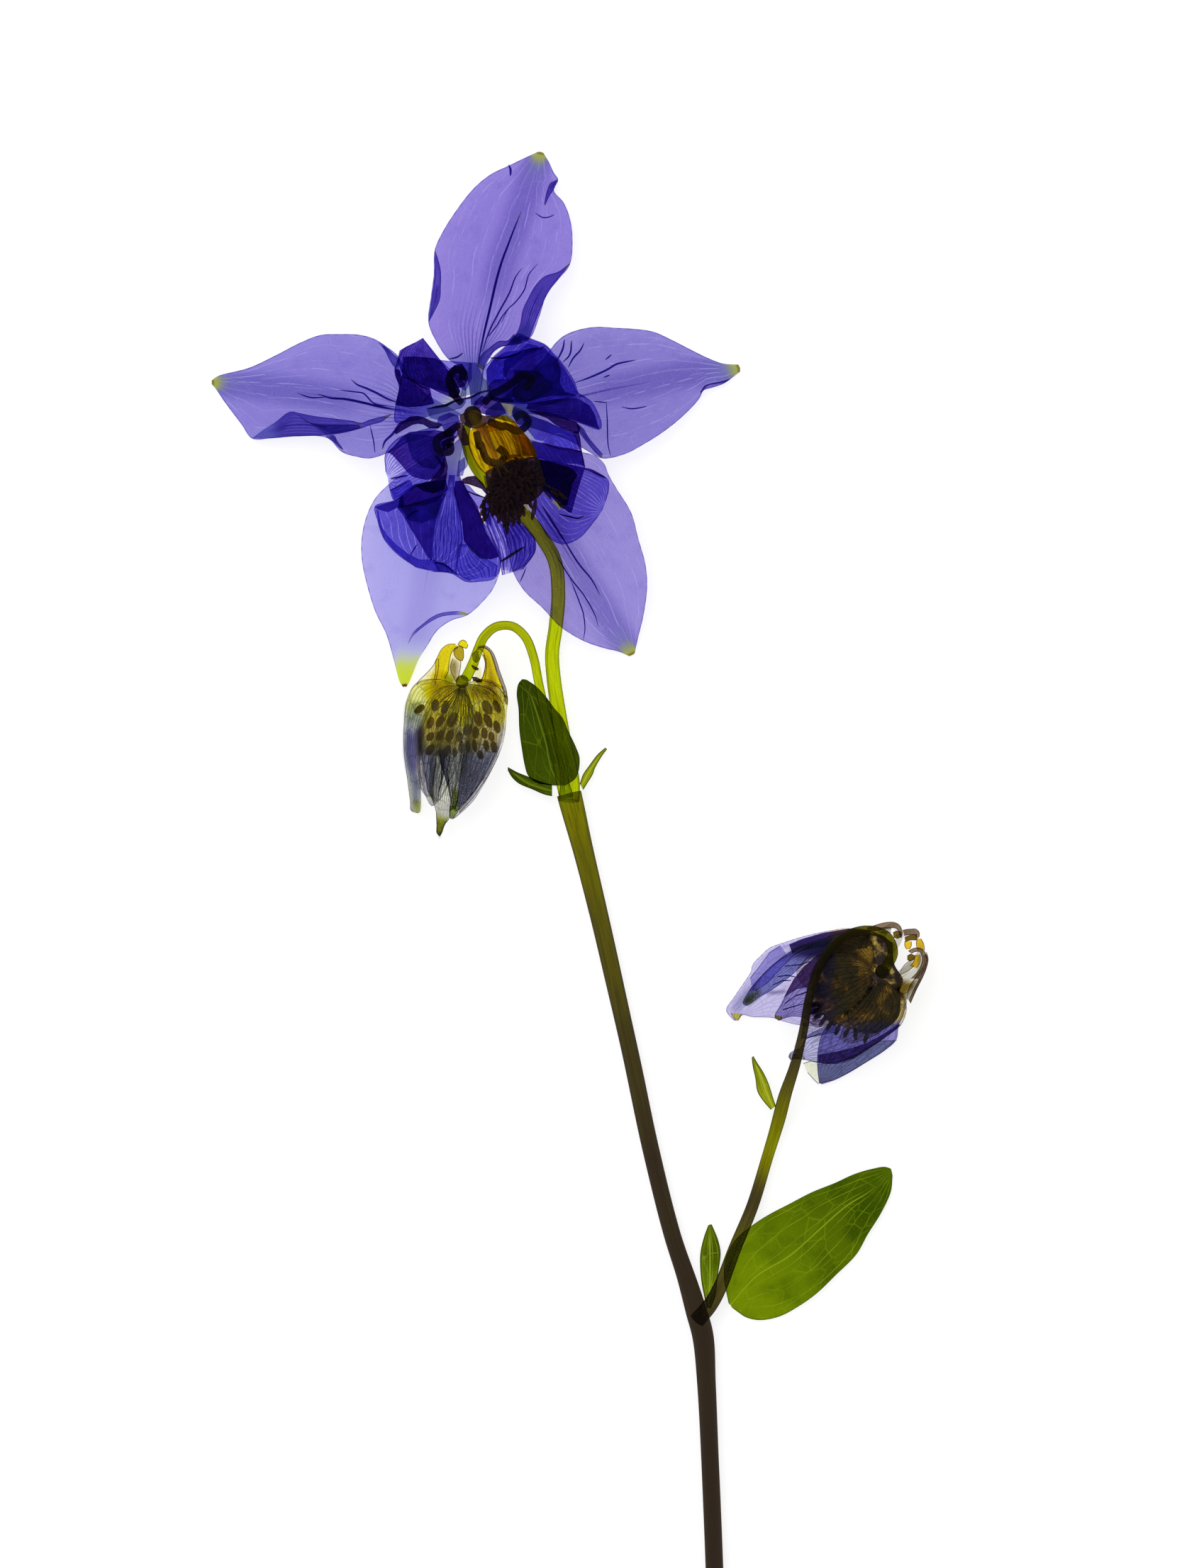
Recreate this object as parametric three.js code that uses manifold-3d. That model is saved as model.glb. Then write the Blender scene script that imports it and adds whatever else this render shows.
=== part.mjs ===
// A cut flowering stem of a columbine, lightly pressed, lying face up on a table.
// Millimetres, +Z up. The origin is on the table, under the middle of the piece,
// and +Y runs along the stem from its cut end towards the open flower.
// It carries one open flower, one closed bud, one half-open bud, two leaves and four bracts.

import * as THREE from 'three';
import { mergeVertices } from 'three/addons/utils/BufferGeometryUtils.js';
import Module from 'manifold-3d';

const wasm = await Module();
wasm.setup();

// ---------------------------------------------------------------- driving dimensions

const BLADE = 0.6;              // thickness of a sepal, petal or leaf
const STEM_RADIUS = 1.0;        // main stem, flat to flat
const JOINT_RADIUS = 1.3;       // swollen nodes of the stem
const STALK_RADIUS = 0.7;       // stalk of the half-open bud
const PEDICEL_RADIUS = 0.8;     // pedicel of the open flower
const BUD_PEDICEL_RADIUS = 0.55;
const LEAF_LEVEL = 0.3;         // middle of a leaf that lies flat on the table
const SEPAL_LEVEL = 2.4;        // middle of the sepals' claws, just above the pedicel
const SEPAL_REST = 0.3;         // middle of a sepal's tip where it touches the table
const PETAL_LEVEL = 3.6;        // middle of the lowest petals
const PETAL_STEP = 0.95;        // rise from one petal to the petal lying on it
const CLEAR = 0.35;             // free gap between two pieces

const FLOWER = [-10.8, 53.1];   // receptacle of the open flower
const FLOWER_RADIUS = 1.0;
const FLOWER_TOP = 6.0;
const SPUR_LEVEL = 0.85;        // middle of the spurs coiled under the sepals
const SPUR_RADIUS = 0.45;

const BUD = [-12.0, 23.2];      // receptacle of the closed bud
const BUD_AXIS = [-0.215, -0.977];
const BUD_LENGTH = 16.6;
const BUD_HALF_WIDTH = 5.75;
const BUD_HALF_DEPTH = 2.7;
const BUD_MIDDLE = 3.1;         // height of the closed bud's axis

const HALF = [35.2, -9.4];      // receptacle of the half-open bud
const HALF_RADIUS = 0.72;
const HALF_TOP = 6.1;
const HALF_BACK = 0.5;          // middle of its two sepals that lie on the table
const HALF_FRONT = 5.6;         // middle of its three sepals on top

const GREEN = 0x6d7a14;
const DARK_GREEN = 0x44520e;
const LILAC = 0x8d80d2;
const PALE_LILAC = 0xaaa0e0;
const VIOLET = 0x241a8c;
const MID_VIOLET = 0x4a3fae;
const OLIVE = 0x8a7a20;
const BROWN = 0x3e2e12;
const GREY_LILAC = 0x8384a4;

// ---------------------------------------------------------------- numbers and solids

const mix = (a, b, t) => a + (b - a) * t;
const radians = THREE.MathUtils.degToRad;
const polar = ([x, y], angle, radius) =>
  [x + radius * Math.cos(radians(angle)), y + radius * Math.sin(radians(angle))];

// A seeded draw between 0 and 1, the same on every run.
function draws(seed) {
  let state = seed;
  return () => {
    state = (state * 1664525 + 1013904223) % 4294967296;
    return state / 4294967296;
  };
}

// A smooth line through the points, as a function of the share of its length.
function line(points) {
  const places = points.map(([x, y, z = 0]) => new THREE.Vector3(x, y, z));
  const curve = new THREE.CatmullRomCurve3(places, false, 'centripetal');
  return (t) => curve.getPointAt(THREE.MathUtils.clamp(t, 0, 1));
}

// A value that passes smoothly through evenly spaced levels.
function levels(values) {
  const course = new THREE.SplineCurve(values.map((v, i) => new THREE.Vector2(i, v)));
  return (t) => course.getPoint(t).y;
}

// A closed geometry as a manifold-3d solid, turned outside out if need be.
function solid(geometry) {
  const bare = geometry.clone();
  bare.deleteAttribute('normal');
  bare.deleteAttribute('uv');
  const merged = mergeVertices(bare, 1e-4);
  const points = merged.attributes.position;
  const order = Uint32Array.from(merged.index.array);
  const a = new THREE.Vector3();
  const b = new THREE.Vector3();
  const c = new THREE.Vector3();
  let volume = 0;
  for (let i = 0; i < order.length; i += 3) {
    a.fromBufferAttribute(points, order[i]);
    b.fromBufferAttribute(points, order[i + 1]);
    c.fromBufferAttribute(points, order[i + 2]);
    volume += a.dot(b.cross(c));
  }
  if (volume < 0) {
    order.reverse();
  }
  const vertProperties = Float32Array.from(points.array);
  return new wasm.Manifold(new wasm.Mesh({ numProp: 3, vertProperties, triVerts: order }));
}

// Several overlapping closed geometries joined in one. A hollow that joining seals is
// a shell of its own, and so is a loose scrap: only the largest shell is kept.
function fuse(geometries) {
  const joined = geometries.map(solid).reduce((whole, piece) => whole.add(piece));
  const shells = joined.decompose();
  const outer = shells.reduce((best, shell) => (shell.volume() > best.volume() ? shell : best));
  const mesh = outer.getMesh();
  const geometry = new THREE.BufferGeometry();
  geometry.setAttribute('position', new THREE.BufferAttribute(mesh.vertProperties, 3));
  geometry.setIndex(new THREE.BufferAttribute(mesh.triVerts, 1));
  return geometry;
}

// A limb of round section along a smooth route of [x, y, z] points. Its radius passes
// through the given radii. A flat of its section faces down, and the table presses flat
// whatever would sink into it.
function limb(route, radii, steps, sides = 8) {
  const curve = new THREE.CatmullRomCurve3(
    route.map(([x, y, z]) => new THREE.Vector3(x, y, z)), false, 'centripetal');
  const frames = curve.computeFrenetFrames(steps, false);
  const radius = levels(radii);
  const corner = 1 / Math.cos(Math.PI / sides);
  const positions = [];
  const order = [];
  for (let i = 0; i <= steps; i += 1) {
    const centre = curve.getPointAt(i / steps);
    for (let k = 0; k < sides; k += 1) {
      const turn = (k + 0.5) * 2 * Math.PI / sides;
      const reach = radius(i / steps) * corner;
      const point = centre.clone()
        .addScaledVector(frames.normals[i], reach * Math.cos(turn))
        .addScaledVector(frames.binormals[i], reach * Math.sin(turn));
      positions.push(point.x, point.y, Math.max(0, point.z));
    }
  }
  for (let i = 0; i < steps; i += 1) {
    for (let k = 0; k < sides; k += 1) {
      const here = i * sides + k;
      const beside = i * sides + (k + 1) % sides;
      order.push(here, beside, here + sides, beside, beside + sides, here + sides);
    }
  }
  const last = steps * sides;
  for (let k = 1; k < sides - 1; k += 1) {
    order.push(0, k + 1, k, last, last + k, last + k + 1);
  }
  return indexed(positions, order);
}

function indexed(positions, order) {
  const geometry = new THREE.BufferGeometry();
  geometry.setAttribute('position', new THREE.Float32BufferAttribute(positions, 3));
  geometry.setIndex(order);
  return geometry;
}

// A closed sheet of even thickness. place(t, s) gives the middle surface, t from the base
// (0) to the tip (1) and s from the left edge (-1) to the right edge (1). Both faces are
// split into triangles alike.
function sheet(place, rows, columns, thickness = BLADE) {
  const width = columns + 1;
  const middle = [];
  for (let i = 0; i <= rows; i += 1) {
    for (let j = 0; j <= columns; j += 1) {
      middle.push(place(i / rows, 2 * j / columns - 1));
    }
  }
  const at = (i, j) =>
    middle[THREE.MathUtils.clamp(i, 0, rows) * width + THREE.MathUtils.clamp(j, 0, columns)];
  const positions = [];
  for (const side of [0.5, -0.5]) {
    for (let i = 0; i <= rows; i += 1) {
      for (let j = 0; j <= columns; j += 1) {
        const along = at(i + 1, j).clone().sub(at(i - 1, j));
        const across = at(i, j + 1).clone().sub(at(i, j - 1));
        const normal = along.cross(across).normalize();
        const point = at(i, j).clone().addScaledVector(normal, side * thickness);
        positions.push(point.x, point.y, Math.max(0, point.z));
      }
    }
  }
  const order = [];
  const under = middle.length;
  for (let i = 0; i < rows; i += 1) {
    for (let j = 0; j < columns; j += 1) {
      const here = i * width + j;
      const next = here + width;
      order.push(here, next, here + 1, here + 1, next, next + 1);
      order.push(under + here, under + here + 1, under + next);
      order.push(under + here + 1, under + next + 1, under + next);
    }
  }
  const rim = [];
  for (let j = 0; j < columns; j += 1) rim.push(j);
  for (let i = 0; i < rows; i += 1) rim.push(i * width + columns);
  for (let j = columns; j > 0; j -= 1) rim.push(rows * width + j);
  for (let i = rows; i > 0; i -= 1) rim.push(i * width);
  rim.forEach((here, i) => {
    const next = rim[(i + 1) % rim.length];
    order.push(here, next, under + here, next, under + next, under + here);
  });
  return indexed(positions, order);
}

// A blade drawn by its left edge, right edge and midrib, each from base to tip. lift
// gives the height along the midrib, cup raises both edges and wave ripples them.
function blade({ left, right, rib, lift, cup = 0, wave = 0, waves = 3, rows = 10, columns = 4 }) {
  const leftEdge = line(left);
  const rightEdge = line(right);
  const midrib = line(rib);
  const height = levels(lift);
  return sheet((t, s) => {
    const edge = s < 0 ? leftEdge(t) : rightEdge(t);
    const point = midrib(t).lerp(edge, Math.abs(s));
    const swell = Math.sin(Math.PI * Math.min(1, t * 1.15));
    const ripple = wave * s * Math.sin(2 * Math.PI * waves * t);
    point.z = height(t) + (cup * s * s + ripple) * Math.max(0, swell);
    return point;
  }, rows, columns);
}

// A spur: a slim tapering tube that leaves the petal's claw, dips and ends in a coil.
function spur(route, radius = SPUR_RADIUS) {
  return limb(route, [radius, radius * 1.05, radius * 0.8, radius * 0.7, radius * 0.9], 12, 6);
}

// ---------------------------------------------------------------- stem

const STEM_ROUTE = [
  [16.6, -83.0], [16.3, -74.2], [15.9, -64.6], [15.5, -56.0], [15.1, -50.6], [14.3, -47.6],
  [13.3, -44.2], [11.6, -39.0], [9.2, -29.4], [7.0, -19.0], [5.2, -11.0], [3.6, -4.0],
  [2.0, 2.6], [0.9, 7.0], [0.0, 10.6],
];
const STEM_RADII = [
  1, 1, 1, 1, 1.1, 1.3, 1, 1, 1, 1, 1, 1, 1, 1.1, 1.3,
].map((share) => share * STEM_RADIUS);

function stem() {
  const spine = STEM_ROUTE.map(([x, y], i) => [x, y, STEM_RADII[i]]);
  const pieces = [limb(spine, STEM_RADII, 28)];
  pieces.push(limb([
    [14.4, -48.8, 1.2], [15.9, -47.0, 1.75], [17.0, -45.0, 1.9], [18.7, -40.6, 1.7],
    [20.7, -35.8, 1.3], [22.3, -30.6, 0.9], [23.5, -26.6, 1.2], [24.3, -23.4, 2.5],
    [25.4, -19.8, 4.5], [26.3, -15.8, 6.3], [26.8, -12.8, 6.95], [27.5, -10.2, 6.95],
    [28.8, -7.4, 6.95], [31.0, -5.3, 6.95], [33.6, -4.7, 6.95], [35.6, -5.4, 6.8],
    [36.3, -7.2, 6.4], [35.5, -9.0, 5.6],
  ], [0.8, STALK_RADIUS, STALK_RADIUS, STALK_RADIUS, STALK_RADIUS, STALK_RADIUS], 32, 6));
  pieces.push(limb([
    [0.0, 9.8, 1.4], [0.1, 12.2, 1.9], [-0.6, 16.2, 1.85], [-1.2, 19.9, 1.8],
    [-1.7, 23.4, 1.6], [-1.9, 26.4, 1.1], [-1.5, 29.4, 0.85], [-1.2, 33.0, 0.85],
    [-1.6, 36.8, 0.85], [-3.0, 39.4, 0.85], [-4.8, 41.7, 0.85], [-6.7, 43.6, 0.85],
    [-9.0, 45.5, 0.85], [-10.7, 47.5, 0.85], [-11.6, 49.8, 0.85], [-11.6, 51.6, 0.85],
    [-10.9, 53.0, 0.85],
  ], [1.0, PEDICEL_RADIUS, PEDICEL_RADIUS, PEDICEL_RADIUS, PEDICEL_RADIUS], 28, 6));
  pieces.push(limb([
    [-0.3, 10.2, 1.5], [-0.8, 12.2, 1.9], [-2.0, 17.0, 1.65], [-2.8, 20.2, 1.6],
    [-3.4, 23.0, 1.6], [-4.0, 26.0, 2.2], [-4.9, 28.2, 3.4], [-6.4, 29.4, 4.6],
    [-8.2, 29.3, 5.2], [-9.5, 28.2, 5.1], [-10.2, 26.7, 4.7], [-10.8, 25.1, 4.1],
    [-11.6, 23.5, 3.4],
  ], [0.7, BUD_PEDICEL_RADIUS, BUD_PEDICEL_RADIUS, BUD_PEDICEL_RADIUS, 0.6], 26, 6));
  pieces.push(knob(FLOWER, FLOWER_RADIUS, 0.2, FLOWER_TOP));
  pieces.push(knob(BUD, 0.75, BUD_MIDDLE - 0.7, BUD_MIDDLE + 0.7));
  pieces.push(knob(HALF, HALF_RADIUS, 1.0, HALF_TOP));
  return fuse(pieces);
}

// A receptacle: a short column with rounded shoulders.
function knob([x, y], radius, bottom, top) {
  const shoulder = radius * 0.3;
  const profile = [
    [0, bottom], [radius - shoulder, bottom], [radius, bottom + shoulder],
    [radius, top - shoulder], [radius - shoulder, top], [0, top],
  ].map(([r, z]) => new THREE.Vector2(r, z));
  return new THREE.LatheGeometry(profile, 10).rotateX(Math.PI / 2).translate(x, y, 0);
}

// ---------------------------------------------------------------- leaves and bracts

const LEAVES = {
  leaf_lower_large: {
    left: [[18.2, -47.2], [17.9, -44.6], [17.8, -42.1], [18.7, -39.8], [20.8, -38.0],
      [24.8, -35.7], [30.0, -33.3], [34.3, -31.7], [36.2, -31.6]],
    right: [[18.7, -47.8], [20.1, -48.5], [21.8, -48.8], [25.8, -47.3], [30.0, -43.8],
      [33.7, -39.1], [35.3, -36.7], [36.4, -34.3], [36.6, -32.0]],
    rib: [[18.45, -47.4], [21.2, -43.8], [24.8, -41.6], [31.3, -35.9], [36.4, -31.8]],
    lift: [LEAF_LEVEL, LEAF_LEVEL, 0.5, 0.4, 0.6, 0.36],
    wave: 0.08,
    rows: 14,
    columns: 6,
  },
  leaf_lower_small: {
    left: [[15.4, -46.0], [15.1, -44.6], [14.9, -42.6], [14.9, -41.2], [15.2, -39.5], [15.8, -38.0]],
    right: [[16.2, -46.1], [16.6, -44.9], [16.8, -43.0], [17.0, -41.2], [16.8, -39.6], [16.2, -38.0]],
    rib: [[15.8, -46.1], [15.9, -42.0], [16.0, -38.0]],
    lift: [LEAF_LEVEL, LEAF_LEVEL, 0.5],
    rows: 8,
  },
  bract_upper_broad: {
    left: [[-1.8, 12.5], [-3.6, 12.6], [-4.7, 13.4], [-5.2, 15.5], [-5.6, 18.0], [-5.8, 21.9], [-5.4, 23.5]],
    right: [[-0.5, 12.5], [0.6, 13.0], [1.1, 14.5], [0.7, 16.0], [-0.7, 19.1], [-2.5, 21.4], [-4.6, 23.4]],
    rib: [[-1.1, 12.5], [-2.0, 14.0], [-2.6, 16.2], [-3.4, 19.0], [-5.0, 23.5]],
    lift: [LEAF_LEVEL, LEAF_LEVEL, 0.35, LEAF_LEVEL],
    rows: 10,
  },
  bract_upper_left: {
    left: [[-1.9, 11.5], [-3.0, 11.9], [-4.8, 12.6], [-5.8, 13.1], [-6.9, 13.6]],
    right: [[-1.9, 10.3], [-2.8, 10.4], [-4.2, 11.0], [-5.4, 11.5], [-6.9, 13.2]],
    rib: [[-1.9, 10.9], [-3.0, 11.2], [-4.8, 11.9], [-6.9, 13.4]],
    lift: [1.4, 1.35, 1.3, 0.9],
    rows: 6,
  },
  bract_upper_right: {
    left: [[1.75, 11.6], [2.0, 12.8], [2.5, 13.8], [3.2, 15.0], [4.1, 15.8]],
    right: [[1.95, 10.8], [2.3, 11.8], [2.8, 12.8], [3.0, 13.4], [4.3, 15.6]],
    rib: [[1.8, 11.2], [2.2, 12.4], [2.8, 13.7], [4.2, 15.7]],
    lift: [1.0, 0.6, 0.4, 0.5],
    rows: 6,
  },
  bract_stalk: {
    left: [[22.6, -25.0], [21.8, -23.9], [21.2, -22.9], [21.0, -21.5], [20.7, -20.1], [20.5, -19.1]],
    right: [[23.0, -24.3], [22.8, -23.5], [22.5, -22.1], [21.9, -20.8], [21.2, -19.7], [20.8, -19.0]],
    rib: [[22.8, -24.6], [22.2, -23.2], [21.6, -21.4], [20.65, -19.0]],
    lift: [2.0, 1.6, 1.0, 0.5],
    rows: 6,
    columns: 2,
  },
};

// ---------------------------------------------------------------- open flower

const SEPALS = {
  sepal_top: {
    left: [[-11.1, 54.5], [-11.2, 56.6], [-11.8, 58.4], [-13.5, 59.4], [-14.9, 61.4], [-15.8, 63.6],
      [-15.5, 67.5], [-15.1, 71.7], [-12.5, 76.5], [-8.8, 80.4], [-5.2, 82.2], [-3.6, 83.0]],
    right: [[-10.2, 54.5], [-9.9, 56.6], [-9.3, 59.2], [-7.7, 60.8], [-5.4, 61.2], [-4.2, 62.2],
      [-2.5, 66.7], [0.1, 70.1], [0.4, 73.1], [-0.6, 77.2], [-1.6, 79.6], [-2.9, 83.0]],
    rib: [[-10.6, 54.5], [-10.4, 59.2], [-8.5, 66.7], [-6.3, 73.8], [-3.2, 83.0]],
    lift: [SEPAL_LEVEL, 2.6, 2.9, 2.5, 1.4, SEPAL_REST],
  },
  sepal_left: {
    left: [[-12.2, 52.7], [-14.2, 52.3], [-16.2, 50.7], [-20.2, 49.0], [-23.9, 48.6], [-27.2, 50.6],
      [-31.6, 50.7], [-35.6, 50.6], [-37.0, 52.2], [-39.0, 55.0], [-40.3, 56.8]],
    right: [[-12.2, 53.4], [-14.2, 54.2], [-16.2, 55.7], [-18.2, 57.8], [-20.4, 60.8], [-25.0, 62.4],
      [-30.4, 61.3], [-36.1, 58.6], [-40.3, 57.2]],
    rib: [[-12.2, 53.1], [-15.2, 53.2], [-24.4, 54.8], [-35.7, 56.6], [-40.3, 57.0]],
    lift: [SEPAL_LEVEL, 2.5, 2.7, 2.2, 1.1, SEPAL_REST],
  },
  sepal_lower_left: {
    left: [[-11.1, 51.7], [-11.0, 49.4], [-10.4, 47.6], [-9.0, 44.2], [-7.6, 37.5], [-8.4, 33.9],
      [-11.4, 30.7], [-14.8, 29.0], [-16.5, 27.0], [-17.3, 25.4], [-18.3, 22.7]],
    right: [[-11.8, 51.9], [-12.7, 49.7], [-15.4, 47.6], [-19.8, 45.8], [-22.8, 41.7], [-23.3, 37.0],
      [-21.8, 31.1], [-20.6, 28.6], [-18.8, 22.7]],
    rib: [[-11.4, 51.8], [-12.2, 47.4], [-13.4, 41.8], [-15.0, 36.2], [-18.5, 22.7]],
    lift: [SEPAL_LEVEL, 2.5, 2.6, 2.5, 1.6, SEPAL_REST],
  },
  sepal_lower_right: {
    left: [[-9.6, 52.5], [-7.7, 50.7], [-5.2, 49.9], [-1.0, 48.8], [4.3, 46.4], [7.0, 42.2],
      [8.8, 35.6], [8.4, 30.7], [7.2, 26.3]],
    right: [[-10.1, 52.0], [-8.7, 49.7], [-8.3, 47.2], [-7.3, 42.6], [-6.6, 37.8], [-6.1, 35.2],
      [-3.0, 31.5], [1.6, 27.8], [5.0, 26.6], [6.8, 26.1]],
    rib: [[-9.8, 52.2], [-5.8, 45.8], [-1.8, 40.2], [2.2, 33.8], [7.0, 26.2]],
    lift: [SEPAL_LEVEL, 2.5, 2.65, 2.75, 2.5, SEPAL_REST],
  },
  sepal_right: {
    left: [[-9.4, 53.7], [-6.8, 54.7], [-5.0, 57.2], [-3.0, 59.4], [-0.4, 62.2], [4.0, 63.1],
      [9.5, 62.6], [13.8, 60.6], [19.2, 58.9]],
    right: [[-9.4, 53.1], [-6.6, 53.1], [-3.4, 51.6], [-0.2, 50.4], [3.7, 48.3], [6.3, 48.8],
      [10.6, 51.3], [14.6, 55.0], [16.4, 56.8], [19.3, 58.3]],
    rib: [[-9.4, 53.4], [-5.0, 54.0], [5.2, 56.2], [12.7, 57.8], [19.3, 58.6]],
    lift: [SEPAL_LEVEL, 2.6, 2.8, 2.3, 1.2, SEPAL_REST],
  },
};

// Each petal has one or two lobes and a spur that passes down between the sepals' claws.
// angle is the direction in which it leaves the receptacle.
const LEVEL_1 = PETAL_LEVEL;
const LEVEL_2 = PETAL_LEVEL + PETAL_STEP;
const PETALS = {
  petal_upper_left: {
    angle: 132,
    coil: [[-13.6, 55.9], [-14.4, 57.2], [-13.6, 58.2], [-12.5, 57.9], [-12.7, 57.0]],
    lobes: [{
      left: [[-12.1, 53.9], [-15.0, 53.2], [-17.8, 52.4], [-19.5, 52.3], [-19.7, 55.4],
        [-19.6, 57.9], [-18.9, 60.2], [-17.4, 61.3]],
      right: [[-11.6, 54.6], [-10.7, 56.6], [-10.8, 58.6], [-12.6, 59.2], [-14.8, 59.5], [-16.4, 61.8]],
      rib: [[-11.8, 54.2], [-13.8, 55.8], [-15.8, 58.2], [-16.9, 61.5]],
      lift: [LEVEL_1, 3.7, 3.8, 4.2],
    }],
  },
  petal_upper_right: {
    angle: 48,
    coil: [[-8.3, 55.9], [-6.9, 57.2], [-5.6, 58.2], [-4.9, 57.4], [-5.7, 56.7]],
    lobes: [{
      left: [[-10.1, 54.4], [-9.8, 56.6], [-9.2, 59.0], [-8.0, 61.0], [-5.7, 62.3], [-2.2, 60.6], [-1.1, 59.4]],
      right: [[-9.5, 53.9], [-5.8, 53.4], [-2.2, 53.0], [3.5, 51.6], [3.6, 52.6], [1.6, 55.0],
        [0.7, 56.8], [-0.6, 58.7]],
      rib: [[-9.8, 54.2], [-6.2, 55.4], [-3.4, 56.8], [-0.8, 59.0]],
      lift: [LEVEL_1, 3.7, 3.8, 4.1],
    }],
  },
  petal_lower_right: {
    angle: 340,
    coil: [[-7.1, 52.0], [-5.6, 51.5], [-4.6, 52.5], [-5.3, 53.4], [-6.2, 52.9]],
    lobes: [{
      left: [[-9.4, 52.8], [-5.4, 50.4], [-3.0, 49.6], [1.7, 48.9], [3.4, 48.2], [4.4, 46.6], [4.3, 43.6]],
      right: [[-9.5, 52.4], [-7.4, 49.2], [-6.0, 46.2], [-3.1, 40.6], [-2.1, 39.2], [-0.7, 38.6],
        [1.4, 39.4], [3.2, 41.3]],
      rib: [[-9.4, 52.6], [-6.8, 49.6], [-3.4, 47.0], [0.2, 44.2], [3.8, 42.3]],
      lift: [LEVEL_1, 3.8, 3.9, 4.0],
    }, {
      left: [[-9.3, 52.9], [-4.6, 52.1], [-0.4, 51.6], [0.8, 50.4], [1.6, 48.4]],
      right: [[-9.4, 52.4], [-5.2, 50.2], [-4.2, 47.4], [-0.6, 42.8], [0.6, 42.0]],
      rib: [[-9.3, 52.6], [-4.8, 51.2], [-2.2, 48.6], [1.2, 45.0]],
      lift: [LEVEL_1, 4.4, LEVEL_2, 4.9],
      rows: 8,
    }],
  },
  petal_lower_left: {
    angle: 282,
    coil: [[-9.9, 49.9], [-9.2, 48.2], [-7.8, 47.9], [-7.2, 48.9], [-8.0, 49.6]],
    lobes: [{
      left: [[-10.2, 51.7], [-10.6, 47.6], [-9.6, 42.2], [-7.6, 37.6], [-7.7, 35.3],
        [-9.4, 34.4], [-11.6, 34.4], [-15.2, 35.8]],
      right: [[-10.9, 51.7], [-14.0, 48.6], [-17.0, 45.9], [-21.0, 43.8], [-22.2, 42.4], [-20.7, 39.0],
        [-18.8, 37.2], [-17.0, 36.1]],
      rib: [[-10.5, 51.7], [-13.2, 45.2], [-15.0, 39.4], [-16.1, 35.8]],
      lift: [LEVEL_1, 3.65, 3.75, 4.0],
      rows: 12,
    }, {
      left: [[-10.0, 51.7], [-7.6, 47.0], [-5.0, 41.8], [-3.7, 39.4], [-3.7, 38.2], [-5.7, 35.5]],
      right: [[-10.7, 51.7], [-9.5, 46.0], [-9.0, 41.8], [-8.2, 37.6], [-7.2, 36.0]],
      rib: [[-10.3, 51.7], [-8.4, 46.2], [-7.0, 40.4], [-6.4, 35.7]],
      lift: [LEVEL_1, 4.5, 4.8, LEVEL_2],
      rows: 8,
      columns: 2,
    }],
  },
  petal_left: {
    angle: 214,
    coil: [[-13.4, 51.3], [-14.9, 50.5], [-14.6, 49.2], [-13.4, 49.2], [-13.4, 50.1]],
    lobes: [{
      left: [[-12.2, 52.1], [-13.4, 48.6], [-15.2, 45.4], [-17.6, 43.8], [-19.6, 43.4], [-20.2, 45.2]],
      right: [[-12.0, 52.6], [-14.6, 51.9], [-17.0, 51.2], [-19.2, 50.4], [-20.4, 48.8]],
      rib: [[-12.1, 52.4], [-16.2, 48.6], [-20.3, 47.0]],
      lift: [4.2, LEVEL_2, 4.7, 4.9],
    }],
  },
};

function petal({ angle, coil, lobes }) {
  const level = lobes[0].lift[0];
  const claw = [...polar(FLOWER, angle, 1.95), level];
  const bend = [...polar(FLOWER, angle, 3.0), level - 0.5];
  const dip = [...polar(FLOWER, angle, 3.45), 2.2];
  const ring = coil.map(([x, y], i) => [x, y, mix(1.1, SPUR_LEVEL, Math.min(1, i))]);
  return fuse([...lobes.map((lobe) => blade(lobe)), spur([claw, bend, dip, ...ring])]);
}

// Stamens: a hub on the receptacle and a fan of filaments to the lower right, each with
// an anther that lies in an oval field.
const ANTHER = [0.42, 0.34, 0.8];
const ANTHER_FIELD = [-6.6, 44.4];
const GOLDEN_ANGLE = Math.PI * (3 - Math.sqrt(5));

function stamens() {
  const draw = draws(7);
  const [x, y] = FLOWER;
  const pieces = [new THREE.CylinderGeometry(1.2, 1.2, 0.6, 10).rotateX(Math.PI / 2)
    .translate(x, y, FLOWER_TOP + CLEAR + 0.3)];
  const [fieldX, fieldY] = ANTHER_FIELD;
  const count = 30;
  for (let i = 0; i < count; i += 1) {
    const spread = Math.sqrt((i + 0.5) / count);
    const turn = i * GOLDEN_ANGLE;
    const end = new THREE.Vector3(
      fieldX + 4.1 * spread * Math.cos(turn), fieldY + 3.9 * spread * Math.sin(turn),
      mix(7.5, 6.7, spread * spread) + 0.2 * draw());
    const start = spread < 0.7
      ? new THREE.Vector3(fieldX, fieldY, 6.9)
      : new THREE.Vector3(x + 0.9 * Math.cos(turn), y + 0.9 * Math.sin(turn), 6.65);
    pieces.push(...stamen(start, end, 0.17, ANTHER));
  }
  pieces.push(new THREE.IcosahedronGeometry(1, 0).scale(3.0, 2.9, 0.6).translate(fieldX, fieldY, 6.9));
  return fuse(pieces);
}

// One filament of three sides with its anther at the end, lying along it.
function stamen(start, end, radius, [across, deep, long]) {
  const along = end.clone().sub(start);
  const turn = new THREE.Quaternion().setFromUnitVectors(
    new THREE.Vector3(0, 1, 0), along.clone().normalize());
  const middle = start.clone().lerp(end, 0.5);
  const filament = new THREE.CylinderGeometry(radius * 0.8, radius, along.length(), 3)
    .applyQuaternion(turn).translate(middle.x, middle.y, middle.z);
  const anther = new THREE.OctahedronGeometry(1, 0).scale(across * 1.25, long * 1.2, deep * 1.25)
    .applyQuaternion(turn).translate(end.x, end.y, end.z);
  return [filament, anther];
}

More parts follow.
